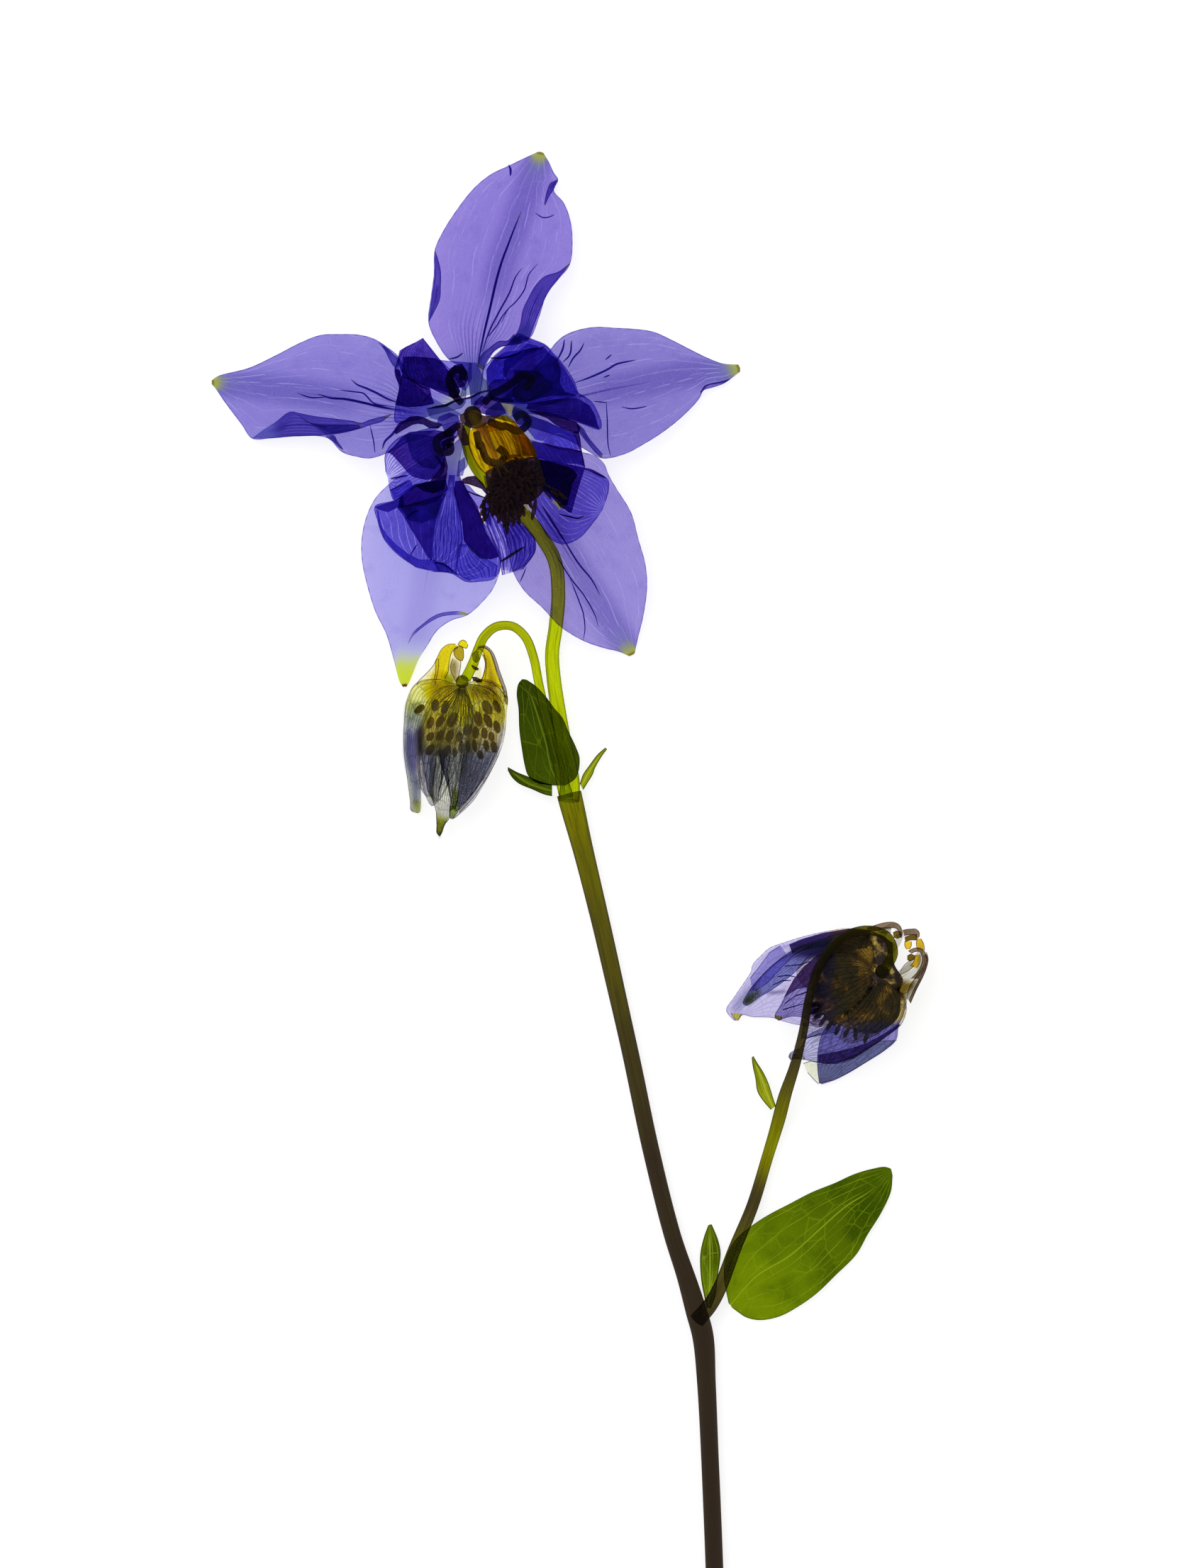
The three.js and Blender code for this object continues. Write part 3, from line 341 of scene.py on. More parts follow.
def beads(centres, aims, sizes, sides=8, rings=5, fold=0.0):
    """Point = centre + long cos u x aim + sin u x (wide cos v x side + deep sin v x up).
    The "lay" of a bead is (sin u cos v, cos u, sin u sin v), and its "mark" begins with
    a number drawn for the whole bead."""
    centres, aims = np.atleast_2d(centres), unit(np.atleast_2d(aims))
    number = len(centres)
    sizes = np.broadcast_to(sizes, (number, 3))
    side = unit(np.cross([0.0, 0.0, 1.0], aims) + 1e-6)
    up = np.cross(aims, side)
    u = np.linspace(0, np.pi, rings + 1)[1:-1][None, :, None, None]
    v = np.linspace(0, 2 * np.pi, sides, endpoint=False)[None, None, :, None]
    c, f, g, h = (x[:, None, None, :] for x in (centres, aims, side, up))
    long, wide, deep = (sizes[:, k][:, None, None, None] for k in range(3))
    ring = c + long * np.cos(u) * f + np.sin(u) * (wide * np.cos(v) * g + deep * np.sin(v) * h)
    tips = np.stack([centres + sizes[:, :1] * aims, centres - sizes[:, :1] * aims], axis=1)
    points = np.concatenate([ring.reshape(number, -1, 3), tips], axis=1)
    each = points.shape[1]
    body, caps = ring_faces(rings - 1, sides)
    shift = np.arange(number)[:, None, None] * each
    faces = [(body[:, [0, 3, 2, 1]] + shift).reshape(-1, 4), (caps[:, [0, 2, 1]] + shift).reshape(-1, 3)]

    def over_bead(values, first=0.0, last=0.0):
        grid = np.broadcast_to(values, (1, rings - 1, sides, 1))
        return np.append(grid.ravel(), [first, last])

    flank, ridge = over_bead(np.sin(u) * np.cos(v)), over_bead(np.cos(u), 1.0, -1.0)
    level = over_bead(np.sin(u) * np.sin(v))
    lay = np.tile(np.stack([flank, ridge, level], axis=-1), (number, 1))
    odds = np.repeat(np.random.default_rng(number).uniform(0, 1, number), each)
    mark = np.stack([odds, odds * 0 + 0.5, odds * 0 + fold], axis=-1)
    return above_table(points.reshape(-1, 3)), faces, lay, mark


# %% [markdown]
# ## From arrays to a piece
# A piece is one object made of several closed shells. Its points go into the mesh in
# metres, its object stays at the origin, it wears its finish, and the nodes of the solid
# model that it stands for are hidden.

# %% Making a piece
triangles = {}


def piece(name, shells, material, slot, *nodes):
    """Join the shells in one mesh, give it its attributes and hand it to the frame."""
    mesh = bpy.data.meshes.new(name)
    offset = np.cumsum([0] + [len(shell[0]) for shell in shells])
    faces = []
    for shell, start in zip(shells, offset):
        for group in shell[1]:
            faces += (group + start).tolist()
    points = np.vstack([shell[0] for shell in shells])
    mesh.from_pydata((points * MM).tolist(), [], faces)
    for title, column in (("lay", 2), ("mark", 3)):
        values = np.vstack([shell[column] for shell in shells])
        layer = mesh.attributes.new(title, "FLOAT_VECTOR", "POINT")
        layer.data.foreach_set("vector", values.astype(np.float32).ravel())
    mesh.polygons.foreach_set("use_smooth", [True] * len(mesh.polygons))
    mesh.materials.append(material)
    thing = bpy.data.objects.new(name, mesh)
    bpy.context.collection.objects.link(thing)
    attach(thing, "root")
    if nodes:
        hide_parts(*nodes)
    triangles[name] = sum(len(face) - 2 for face in faces)
    print(name, "has", triangles[name], "triangles")


# %% [markdown]
# ## Writing finishes as sums
# A finish is a web of nodes, but most of it is arithmetic: a mask times a number, one
# minus a mask. The class Value wraps one output of a node, so that a + b adds the Math
# node for us. Finish makes every other node from its type, its settings and its inputs.

# %% Values and finishes
class Value:
    """One output socket; arithmetic on it adds Math nodes."""

    def __init__(self, finish, socket):
        self.finish, self.socket = finish, socket

    def maths(self, operation, *values):
        return self.finish.add("ShaderNodeMath", {"operation": operation}, values)

    def __add__(self, other):
        return self.maths("ADD", self, other)

    def __sub__(self, other):
        return self.maths("SUBTRACT", self, other)

    def __mul__(self, other):
        return self.maths("MULTIPLY", self, other)

    def __truediv__(self, other):
        return self.maths("DIVIDE", self, other)

    def __rsub__(self, other):
        return self.maths("SUBTRACT", other, self)

    __radd__, __rmul__ = __add__, __mul__

    def size(self):
        return self.maths("ABSOLUTE", self)

    def most(self, other):
        return self.maths("MAXIMUM", self, other)

    def least(self, other):
        return self.maths("MINIMUM", self, other)

    def part(self):
        return self.maths("FRACT", self)

    def rise(self, low, high):
        """0 below low, 1 above high and smooth between them."""
        return self.finish.add("ShaderNodeMapRange", {"interpolation_type": "SMOOTHSTEP"}, {
            "Value": self, "From Min": low, "From Max": high, "To Min": 0.0, "To Max": 1.0})

    def fall(self, low, high):
        """1 below low, 0 above high and smooth between them."""
        return self.finish.add("ShaderNodeMapRange", {"interpolation_type": "SMOOTHSTEP"}, {
            "Value": self, "From Min": low, "From Max": high, "To Min": 1.0, "To Max": 0.0})


class Finish:
    """A material under construction."""

    def __init__(self, name):
        self.material = bpy.data.materials.new(name)
        self.material.use_nodes = True
        self.tree = self.material.node_tree
        self.tree.nodes.clear()

    def add(self, kind, settings=None, inputs=(), out=0):
        node = self.tree.nodes.new(kind)
        for key, value in (settings or {}).items():
            setattr(node, key, value)
        pairs = inputs.items() if isinstance(inputs, dict) else enumerate(inputs)
        for key, value in pairs:
            if isinstance(value, Value):
                self.tree.links.new(value.socket, node.inputs[key])
            else:
                node.inputs[key].default_value = value
        return Value(self, node.outputs[out])

    def read(self, attribute):
        """The three numbers of a point's attribute, and the vector they make."""
        vector = self.add("ShaderNodeAttribute", {"attribute_name": attribute}, (), 1)
        parts = self.add("ShaderNodeSeparateXYZ", None, [vector])
        node = parts.socket.node
        return [Value(self, node.outputs[k]) for k in range(3)] + [vector]

    def place(self):
        """Object coordinates in millimetres."""
        where = self.add("ShaderNodeTexCoord", None, (), "Object")
        return self.add("ShaderNodeVectorMath", {"operation": "SCALE"}, {0: where, "Scale": 1 / MM})

    def stretch(self, vector, factors):
        return self.add("ShaderNodeVectorMath", {"operation": "MULTIPLY"}, [vector, factors])

    def noise(self, vector, scale, detail=2.0, rough=0.5):
        return self.add("ShaderNodeTexNoise", None, {
            "Vector": vector, "Scale": scale, "Detail": detail, "Roughness": rough})

    def cells(self, vector, scale, feature="DISTANCE_TO_EDGE"):
        return self.add("ShaderNodeTexVoronoi", {"feature": feature}, {
            "Vector": vector, "Scale": scale}, "Distance")

    def blend(self, mask, first, second):
        """The first shader where mask is 0 and the second where it is 1."""
        return self.add("ShaderNodeMixShader", None, [mask, first, second])

    def dye(self, mask, first, second):
        """The first colour where mask is 0 and the second where it is 1."""
        return self.add("ShaderNodeMix", {"data_type": "RGBA"}, {0: mask, 6: first, 7: second}, 2)

    def wear(self, shader):
        end = self.tree.nodes.new("ShaderNodeOutputMaterial")
        self.tree.links.new(shader.socket, end.inputs["Surface"])
        return self.material


print("arithmetic on sockets is ready")

# %% [markdown]
# ## Stained film
# Light goes straight through a pressed petal and comes out coloured. A Transparent
# shader does just that, but its colour should not change over the surface, so the finish
# mixes a few Transparent shaders of fixed colour with masks: body, deep lines and the
# painted shade along the rims, pale veins, green tip. A film has two faces, so each face
# passes the square root of the film's colour. A small share of an ordinary surface shader
# over it all gives the film its soft sheen and relief.

# %% The stained film
def opaque(colour, lift=1.0):
    return (*[min(1.0, c * lift) for c in colour], 1.0)


def stained(finish, tints, share, relief_height, roughness=0.6, relief_depth=0.03, lift=1.0):
    """tints is [body, (colour, mask), ...]; share is how much of the surface is matter,
    and lift is how much brighter that matter is than the colour it lets through."""
    body, paint = None, None
    for entry in tints:
        colour, mask = (entry, None) if body is None else entry
        glass = finish.add("ShaderNodeBsdfTransparent", None, {
            "Color": opaque([c ** 0.5 for c in colour])})
        if body is None:
            body, paint = glass, opaque(colour, lift)
        else:
            body = finish.blend(mask, body, glass)
            paint = finish.dye(mask, paint, opaque(colour, lift))
    bump = finish.add("ShaderNodeBump", None, {
        "Strength": 0.6, "Distance": relief_depth * MM, "Height": relief_height})
    skin = finish.add("ShaderNodeBsdfPrincipled", None, {
        "Base Color": paint, "Roughness": roughness, "Specular IOR Level": 0.25, "Normal": bump})
    return finish.wear(finish.blend(share, body, skin))


def stripes(course, wide, count, thin, soft):
    """Thin lines: 1 on a line and 0 beside it. There is a line wherever course x count
    is a whole number and a half; thin and soft are half-widths in millimetres."""
    away = ((course * count).part() - 0.5).size()
    gap = away * wide / count
    return gap.fall(thin, soft)


def width_of(across, s):
    """The half-width of a blade in millimetres, from its two ways to say across."""
    return (across.size() + 0.003) / (s.size() + 0.001)


# %% [markdown]
# ## Sepal violet
# A columbine sepal is lilac, with pale veins that fan out from the claw and leave by the
# margin, a fine pale net between them, darker blue ridges near the claw and a thick
# green tip. Where a fold lies on the blade, light passes two films and turns violet by
# itself, so the fold needs no colour of its own, only a slightly redder edge.

# %% The finish of a sepal
def sepal_finish(name, tint, claw_colour=(0.13, 0.15, 0.45), deep=(0.042, 0.026, 0.30),
                 pale=(0.44, 0.40, 0.81), tip=(0.40, 0.45, 0.10), ridges=1.0, tip_from=0.972,
                 net=0.5, share=0.03, tip_wide=0.5, grey_tint=(0.20, 0.24, 0.45)):
    f = Finish(name)
    across, _, rim, lay = f.read("lay")
    s, t, fold, _ = f.read("mark")
    place = f.place()
    wide = width_of(across, s)
    sway = f.noise(place, 0.16, 1.0) - 0.5
    jitter = f.noise(place, 1.1, 1.0) - 0.5
    course = s / (1 + 0.45 * t * t) + sway * 0.10 + jitter * 0.012
    strength = f.noise(place, 0.55, 2.0).rise(0.44, 0.60)
    veins = stripes(course, wide, 4.0, 0.008, 0.07) * (0.12 + 0.7 * strength) * t.rise(0.08, 0.3)
    fork = stripes(course + (t - 0.5) * 0.18 + jitter * 0.02, wide, 5.0, 0.004, 0.055)
    fork = fork * t.rise(0.35, 0.6) * (1 - strength) * 0.55
    mesh = f.cells(f.stretch(lay, (1.0, 0.55, 0.0)), 1.2).fall(0.004, 0.035) * net * 0.40
    grain = f.noise(place, 5.5, 3.0, 0.8)
    specks = f.cells(place, 0.9, "F1").fall(0.05, 0.10) * f.noise(place, 0.7, 0.0).rise(0.5, 0.6)
    light = veins.most(fork).most(mesh).most(specks * 0.8).most((grain - 0.55) * 2.4)
    light = light * rim.rise(0.05, 0.4)
    fan = stripes(course, wide, 13.0, 0.02, 0.12) * t.fall(0.10, 0.50) * s.size().fall(0.2, 0.75)
    keel = across.size().fall(0.04, 0.20) * t.rise(0.02, 0.12) * t.fall(0.45, 0.85)
    # painted shade: a dark line along the rim of every film, standing in for light bent away at its edge
    edge = rim.fall(0.03, 0.16) * 0.75
    blotch = (f.noise(place, 0.4, 3.0, 0.6) - 0.5).most(0.0) * 1.1 + (0.46 - grain).most(0.0) * 2.0
    middle = across.size().fall(0.6, 2.6) * t.rise(0.3, 0.5) * 0.32 * ridges
    dark = (fan * ridges * 0.7).most(keel * ridges * 0.75).most(edge).most(blotch * 0.45)
    dark = dark.most(middle).most(fold * 0.95).least(0.95)
    claw = t.fall(0.10, 0.24) * 0.8
    ragged = t + jitter * 0.03 * tip_wide
    begins = ragged.rise(tip_from - 0.03 * (1 + tip_wide), tip_from + 0.01 + 0.03 * tip_wide)
    end = begins * across.size().fall(tip_wide, 2.2 * tip_wide)
    grey = t.rise(tip_from - 0.12, tip_from) * across.size().fall(0.8 * tip_wide, 3.2 * tip_wide)
    burnt = t.rise(0.985, 0.995) * tip_wide
    height = light * 0.5 - dark + grain * 0.4
    return stained(f, [tint, (deep, dark), (pale, light), (claw_colour, claw),
                       (grey_tint, grey * tip_wide), (tip, end), ((0.12, 0.05, 0.01), burnt)],
                   share, relief_height=height, lift=1.15)


sepal_tints = {
    "sepal_top": (0.320, 0.245, 0.70),
    "sepal_left": (0.300, 0.255, 0.68),
    "sepal_lower_left": (0.470, 0.440, 0.84),
    "sepal_lower_right": (0.360, 0.300, 0.70),
    "sepal_right": (0.285, 0.240, 0.64),
}
CLEAR_CLAW = (0.62, 0.58, 0.72)
sepal_claws = {"sepal_lower_left": CLEAR_CLAW, "sepal_lower_right": CLEAR_CLAW,
               "sepal_left": (0.40, 0.46, 0.72)}
BROAD_TIP = dict(tip=(0.62, 0.72, 0.06), tip_from=0.915, tip_wide=1.0, ridges=0.35,
                 grey_tint=(0.56, 0.60, 0.78))
sepal_finishes = {
    name: sepal_finish(name + "_violet", tint, sepal_claws.get(name, (0.13, 0.15, 0.45)),
                       **(BROAD_TIP if name == "sepal_lower_left" else {}))
    for name, tint in sepal_tints.items()}
print("sepal finishes:", ", ".join(sepal_finishes))

# %% [markdown]
# ## Petal indigo
# The petals are the same kind of film, but deeper in colour. The third number of "mark"
# is the tone: 0 is the light lobe, 1 a deep fold, 2 nearly black and -1 the blue-grey
# claw. Ten more than the tone asks for strong pale veins that fan out from the claw.

# %% The finish of a petal
VEINED = 10.0


def petal_finish(name, light=(0.26, 0.22, 0.76), deep=(0.080, 0.024, 0.26),
                 black=(0.026, 0.016, 0.030), pale=(0.70, 0.68, 0.96),
                 claw_colour=(0.40, 0.46, 0.54), share=0.022):
    f = Finish(name)
    across, _, rim, _ = f.read("lay")
    s, t, code, _ = f.read("mark")
    veined = code.rise(0.49 * VEINED, 0.51 * VEINED)
    tone = code - veined * VEINED
    host = tone.size().fall(0.002, 0.01)
    place = f.place()
    wide = width_of(across, s)
    sway = f.noise(place, 0.30, 1.0) - 0.5
    course = s + sway * 0.12
    strength = f.noise(place, 0.9, 2.0).rise(0.36, 0.60)
    fan = stripes(course, wide, 8.0, 0.012, 0.075) * (0.3 + 0.7 * strength) * t.rise(0.25, 0.5)
    rays = stripes(course, wide, 4.0, 0.05, 0.15) * (0.6 + 0.4 * strength) * t.rise(0.02, 0.12)
    twigs = stripes(course + sway * 0.5, wide, 6.0, 0.02, 0.09) * t.rise(0.3, 0.5)
    grain = f.noise(place, 5.5, 3.0, 0.8)
    light_veins = (fan * host).most(rays.most(twigs * 0.8) * veined).most((grain - 0.54) * 2.4)
    light_veins = light_veins * rim.rise(0.04, 0.3)
    blotch = (f.noise(place, 0.6, 4.0, 0.65) - 0.5) * 1.1
    # painted shade: a dark line along the rim of every film, standing in for light bent away at its edge
    edge = rim.fall(0.02, 0.14) * (0.35 + 0.4 * host)
    dark = (tone.most(0.0).least(1.0) + blotch).most(edge).most((0.46 - grain) * 2.4)
    dark = dark.most(0.0).least(1.0)
    night = (tone - 1.0).most(0.0).least(1.0)
    claw = (host * t.fall(0.14, 0.34)).most((0.0 - tone).most(0.0).least(1.0))
    claw = claw * (1 - stripes(course, wide, 6.0, 0.02, 0.09) * 0.75)
    height = light_veins * 0.5 - dark * 0.4 + grain * 0.4
    return stained(f, [light, (deep, dark), (black, night), (pale, light_veins), (claw_colour, claw)],
                   share, relief_height=height, lift=1.1)


petal_indigo = petal_finish("petal_indigo_film")
print("the petals share one finish")

# %% [markdown]
# ## Leaf and bract green
# A pressed leaf passes yellow-green light. Its veins are thin and paler than the blade,
# its margin has a hair-thin dark line of painted shade, where light bends away at the edge
# of the film, and the green is a little uneven.

# %% The finish of a leaf
def leaf_finish(name, tint, pale, deep=(0.030, 0.050, 0.001), lines=3.0, share=0.035, net=0.6,
                ripe=0.35):
    f = Finish(name)
    across, _, rim, lay = f.read("lay")
    s, t, fold, _ = f.read("mark")
    place = f.place()
    wide = width_of(across, s)
    sway = f.noise(place, 0.22, 1.0) - 0.5
    belly = t * (1 - t) * 4
    course = s / (0.55 + 0.5 * belly) + sway * 0.10
    strength = f.noise(place, 0.30, 1.0).rise(0.35, 0.6)
    veins = stripes(course, wide, lines, 0.008, 0.05) * (0.35 + 0.65 * strength) * t.rise(0.03, 0.15)
    rib = across.size().fall(0.02, 0.12) * t.fall(0.75, 0.98)
    mesh = f.cells(f.stretch(lay, (0.8, 0.4, 0.0)), 0.7).fall(0.003, 0.026) * net
    grain = f.noise(place, 3.5, 3.0, 0.7)
    light = veins.most(rib).most(mesh).most((grain - 0.54) * 1.8) * rim.rise(0.06, 0.35)
    blotch = f.noise(place, 0.25, 3.0, 0.6).rise(0.40, 0.75) * 0.4 + t.rise(0.05, 0.9) * ripe
    # painted shade: rim.fall darkens a hair-thin line along the margin, standing in for light bent away at
    # the edge
    dark = rim.fall(0.05, 0.18).most(blotch).most((0.44 - grain) * 1.5).most(fold * 0.7)
    height = (0.5 - veins.most(rib)) * 0.7 + grain * 0.4
    return stained(f, [tint, (deep, dark.least(0.95)), (pale, light)], share, roughness=0.5,
                   relief_height=height, lift=1.2)


leaf_green = leaf_finish("leaf_green_film", (0.205, 0.30, 0.002), (0.32, 0.40, 0.015),
                         (0.045, 0.085, 0.001), net=0.35, ripe=0.75)
bract_green = leaf_finish("bract_green_film", (0.060, 0.100, 0.002), (0.16, 0.22, 0.01),
                          (0.015, 0.024, 0.001), lines=2.0)
bract_light = leaf_finish("bract_light_film", (0.16, 0.24, 0.003), (0.34, 0.42, 0.03),
                          (0.03, 0.05, 0.001), lines=2.0)
bract_pale = leaf_finish("bract_pale_film", (0.32, 0.36, 0.009), (0.48, 0.53, 0.03),
                         (0.06, 0.08, 0.001), lines=2.0)
print("leaf finishes: 4")

# %% [markdown]
# ## Stem green
# The stem is a ribbed tube. Its fibres run along it as fine light and dark streaks, its
# flanks are darkened as painted shade, the shade that light coming up through a round stem
# leaves on its sides, and downwards it turns from a clear yellow-green to a woody brown
# that lets almost no light through. The third number of "mark" says how brown a place is.

# %% The finish of the stem
def stem_finish(name, clear=(0.56, 0.66, 0.004), olive=(0.235, 0.225, 0.003),
                streak_and_flank_shade_green=(0.075, 0.085, 0.002), wood=(0.045, 0.030, 0.020), share=0.07):
    f = Finish(name)
    lay = f.read("lay")[3]
    cos, t, brown, _ = f.read("mark")
    place = f.place()
    streaks = f.noise(f.stretch(lay, (3.2, 3.2, 0.10)), 1.0, 3.0, 0.7)
    fine = f.noise(f.stretch(lay, (9.0, 9.0, 0.35)), 1.0, 2.0, 0.6)
    patch = f.noise(place, 0.16, 2.0, 0.6)
    # painted shade: the flanks of the tube are darkened, standing in for the shade that light leaves on
    # the sides of a round stem it shines through
    flank = cos.size().fall(0.20, 0.75)
    dark = (flank * 0.8).most(streaks.rise(0.50, 0.66) * 0.65).most(fine.rise(0.55, 0.7) * 0.45)
    # the flanks also add a little painted shade to the brown
    shade = brown + (patch - 0.5) * 0.12 + (streaks - 0.5) * 0.30 + flank * 0.12
    woody = shade.rise(0.45, 1.02)
    grain = f.noise(place, 5.0, 2.0, 0.7)
    height = streaks * 0.8 + fine * 0.5 + grain * 0.2
    return stained(f, [clear, (olive, shade.rise(0.02, 0.52)), (streak_and_flank_shade_green, dark.least(0.9)),
                       (wood, woody)],
                   share + 0.10 * woody, roughness=0.45, relief_height=height,
                   relief_depth=0.08, lift=1.5)


stem_green = stem_finish("stem_green_fibre")
print("stem finish: 1")

# %% [markdown]
# ## Small finishes
# Hidden in the flower are the stamens: amber filaments, anthers that have turned almost
# black, and a few pale scraps of membrane. In the closed bud the anthers are brown with
# a pale outline. These are simple stained or matt finishes of their own.

# %% Filaments, anthers and knobs
def thread_finish(name, tint, deep, share=0.07, fibre=3.0):
    """A film or thread with fibres along it."""
    f = Finish(name)
    lay = f.read("lay")[3]
    place = f.place()
    fibres = f.noise(f.stretch(lay, (fibre, 0.25, 0.0)), 1.0, 3.0, 0.7)
    blotch = f.noise(place, 0.5, 2.0)
    dark = fibres.rise(0.46, 0.62) * 0.8 + blotch.rise(0.5, 0.7) * 0.4
    return stained(f, [tint, (deep, dark.least(1.0))], share, relief_height=fibres, lift=1.2)


def anther_finish(name, tint, rim_tint, share=0.35, ring=True, clumps=3.0):
    """An egg-shaped anther: brown with a pale skin round its outline, or paler in clumps."""
    f = Finish(name)
    level = f.read("lay")[2]
    odds = f.read("mark")[0]
    place = f.place()
    grain = f.noise(place, 3.0, 2.0, 0.7)
    outline = level.size().fall(0.38, 0.60) if ring else (
        f.noise(place, clumps, 3.0, 0.6).rise(0.45, 0.58) * 0.8)
    darker = [0.5 * part for part in tint]
    return stained(f, [tint, (darker, odds * 0.8), (rim_tint, outline)], share,
                   relief_height=grain, lift=1.4)


filament_amber = thread_finish("filament_amber", (0.80, 0.53, 0.005), (0.26, 0.17, 0.003), 0.04, 1.6)
membrane_cream = thread_finish("membrane_cream", (0.80, 0.74, 0.52), (0.45, 0.42, 0.30), 0.35)
anther_black = anther_finish("anther_black", (0.085, 0.048, 0.10), (0.16, 0.08, 0.05), 0.14, False)
anther_bud = anther_finish("anther_bud", (0.20, 0.13, 0.02), (0.99, 0.99, 0.97), 0.05)
anther_half = anther_finish("anther_half", (0.045, 0.030, 0.030), (0.74, 0.57, 0.11), 0.05, False, 0.45)
carpel_green = thread_finish("carpel_green", (0.97, 0.90, 0.50), (0.84, 0.70, 0.16), 0.012)
print("small finishes: 6")

# %% [markdown]
# ## Bud finishes
# In a bud five sepals and five petals lie over each other, and their folds make patches
# of slate, violet, gold and cream. The third number of "mark" is the number of a patch's
# tint plus HARD, plus FADE if it begins softly, or plus SOFT if all its margins are soft.
# Number 0 is the sepal itself, which may turn to a second tint along one axis. The last
# tint also colours the lines, and the painted shade along every edge but those of soft patches.

# %% The finishes of the buds
HARD = 0.1
FADE = 0.35
SOFT = 0.6


def patch_finish(name, tints, turn=None, share=0.04, lines=5.0, dim=0.45):
    """turn is (tint, axis, low, high): the sepal's second tint and where it begins."""
    f = Finish(name)
    across, _, rim, lay = f.read("lay")
    s, t, code, _ = f.read("mark")
    place = f.place()
    wide = width_of(across, s)
    sway = f.noise(place, 0.5, 1.0) - 0.5
    course = s + sway * 0.15
    grain = f.noise(place, 5.0, 3.0, 0.8)
    soft = code.part().rise(0.4, 0.5)
    begun = 1 - (code.part().rise(0.2, 0.25) - soft) * t.fall(0.0, 0.35)
    own = code.fall(0.02, 0.05)
    solid = (1 - soft * (1 - rim.rise(0.0, 1.0) * t.rise(0.0, 0.3) * t.fall(0.7, 1.0))) * begun
    veins = stripes(course, wide, lines, 0.015, 0.08) * dim
    mesh = f.cells(f.stretch(lay, (1.0, 0.55, 0.0)), 1.1).fall(0.01, 0.06) * dim * 0.8
    # painted shade: a dark line along the rims of all but the soft patches, standing in for light bent
    # away at the edge
    edge = rim.fall(0.02, 0.13) * (1 - soft) * begun * 0.8
    dark = edge.most(veins.most(mesh) * own).most((0.46 - grain) * (2.0 - 1.7 * soft) * solid)
    layers = [(1.0, 1.0, 1.0), (tints[0], own)]
    if turn:
        second_tint, axis, low, high = turn
        where = f.add("ShaderNodeSeparateXYZ", None, [place], axis)
        ragged = (f.noise(place, 0.4, 2.0) - 0.5) * 2.0
        layers.append((second_tint, (where + ragged).rise(low, high) * own))
    for number, tint in enumerate(tints[1:], 1):
        mask = (code - (number + FADE)).size().fall(0.30, 0.34) * solid
        layers.append((tint, mask.most(dark).least(0.95) if number == len(tints) - 1 else mask))
    return stained(f, layers, solid * share, relief_height=grain * 0.4 - dark * 0.5, lift=1.1)


SLATE, GREY, BROWN, GREEN, NIGHT = 1, 2, 3, 4, 5
bud_dusk = patch_finish("bud_dusk", [
    (0.90, 0.91, 0.92), (0.23, 0.24, 0.33), (0.56, 0.57, 0.60), (0.72, 0.62, 0.26),
    (0.42, 0.56, 0.14), (0.07, 0.05, 0.07)], ((0.90, 0.90, 0.27), "Y", 17.4, 19.6))
bud_day = patch_finish("bud_day", [
    (0.76, 0.80, 0.66), (0.29, 0.32, 0.54), (0.42, 0.48, 0.40), (0.20, 0.18, 0.48),
    (0.62, 0.66, 0.12), (0.06, 0.04, 0.06)], ((0.85, 0.87, 0.25), "Y", 19.0, 20.8))
CLEAR, GOLD, OCHRE, MAUVE = 1, 2, 3, 4
bud_gold = patch_finish("bud_gold", [
    (0.95, 0.96, 0.96), (0.90, 0.85, 0.52), (0.82, 0.72, 0.012), (0.47, 0.36, 0.02),
    (0.36, 0.32, 0.30), (0.05, 0.03, 0.03)], ((0.87, 0.86, 0.50), "Y", 14.5, 16.5), 0.02, dim=0.3)
BLUE, PURPLE, LEMON, DUN = 1, 2, 3, 4
AMBER_GLOW = (0.74, 0.65, 0.34)
half_lilac = patch_finish("half_lilac", [
    (0.66, 0.62, 0.88), (0.54, 0.51, 0.82), (0.07, 0.04, 0.16), (0.86, 0.88, 0.12),
    (0.62, 0.62, 0.74), (0.10, 0.07, 0.22)], (AMBER_GLOW, "X", 28.6, 30.6), dim=0.2)
half_slate = patch_finish("half_slate", [
    (0.36, 0.42, 0.72), (0.56, 0.50, 0.99), (0.10, 0.05, 0.18), (0.62, 0.66, 0.98),
    (0.34, 0.42, 0.16), (0.06, 0.04, 0.14)], (AMBER_GLOW, "X", 28.6, 30.6))
half_violet = patch_finish("half_violet", [
    (0.50, 0.46, 0.74), (0.60, 0.70, 0.80), (0.26, 0.15, 0.30), (0.80, 0.70, 0.10),
    (0.50, 0.50, 0.60), (0.06, 0.04, 0.14)], (AMBER_GLOW, "X", 28.6, 30.6))
half_pale = patch_finish("half_pale", [
    (0.55, 0.55, 0.80), (0.60, 0.70, 0.80), (0.19, 0.13, 0.28), (0.90, 0.90, 0.60),
    (0.50, 0.50, 0.60), (0.06, 0.04, 0.14)], (AMBER_GLOW, "Y", -15.7, -14.3))
half_deep = patch_finish("half_deep", [
    (0.31, 0.28, 0.62), (0.50, 0.60, 0.58), (0.19, 0.13, 0.28), (0.88, 0.90, 0.72),
    (0.50, 0.50, 0.60), (0.06, 0.04, 0.14)], (AMBER_GLOW, "Y", -15.7, -14.3))
half_gold = patch_finish("half_gold", [
    (0.86, 0.84, 0.78), (0.66, 0.64, 0.57), (0.84, 0.56, 0.03), (0.16, 0.10, 0.012),
    (0.27, 0.19, 0.12), (0.05, 0.03, 0.04)], share=0.02, dim=0.3)
print("bud finishes: 9")

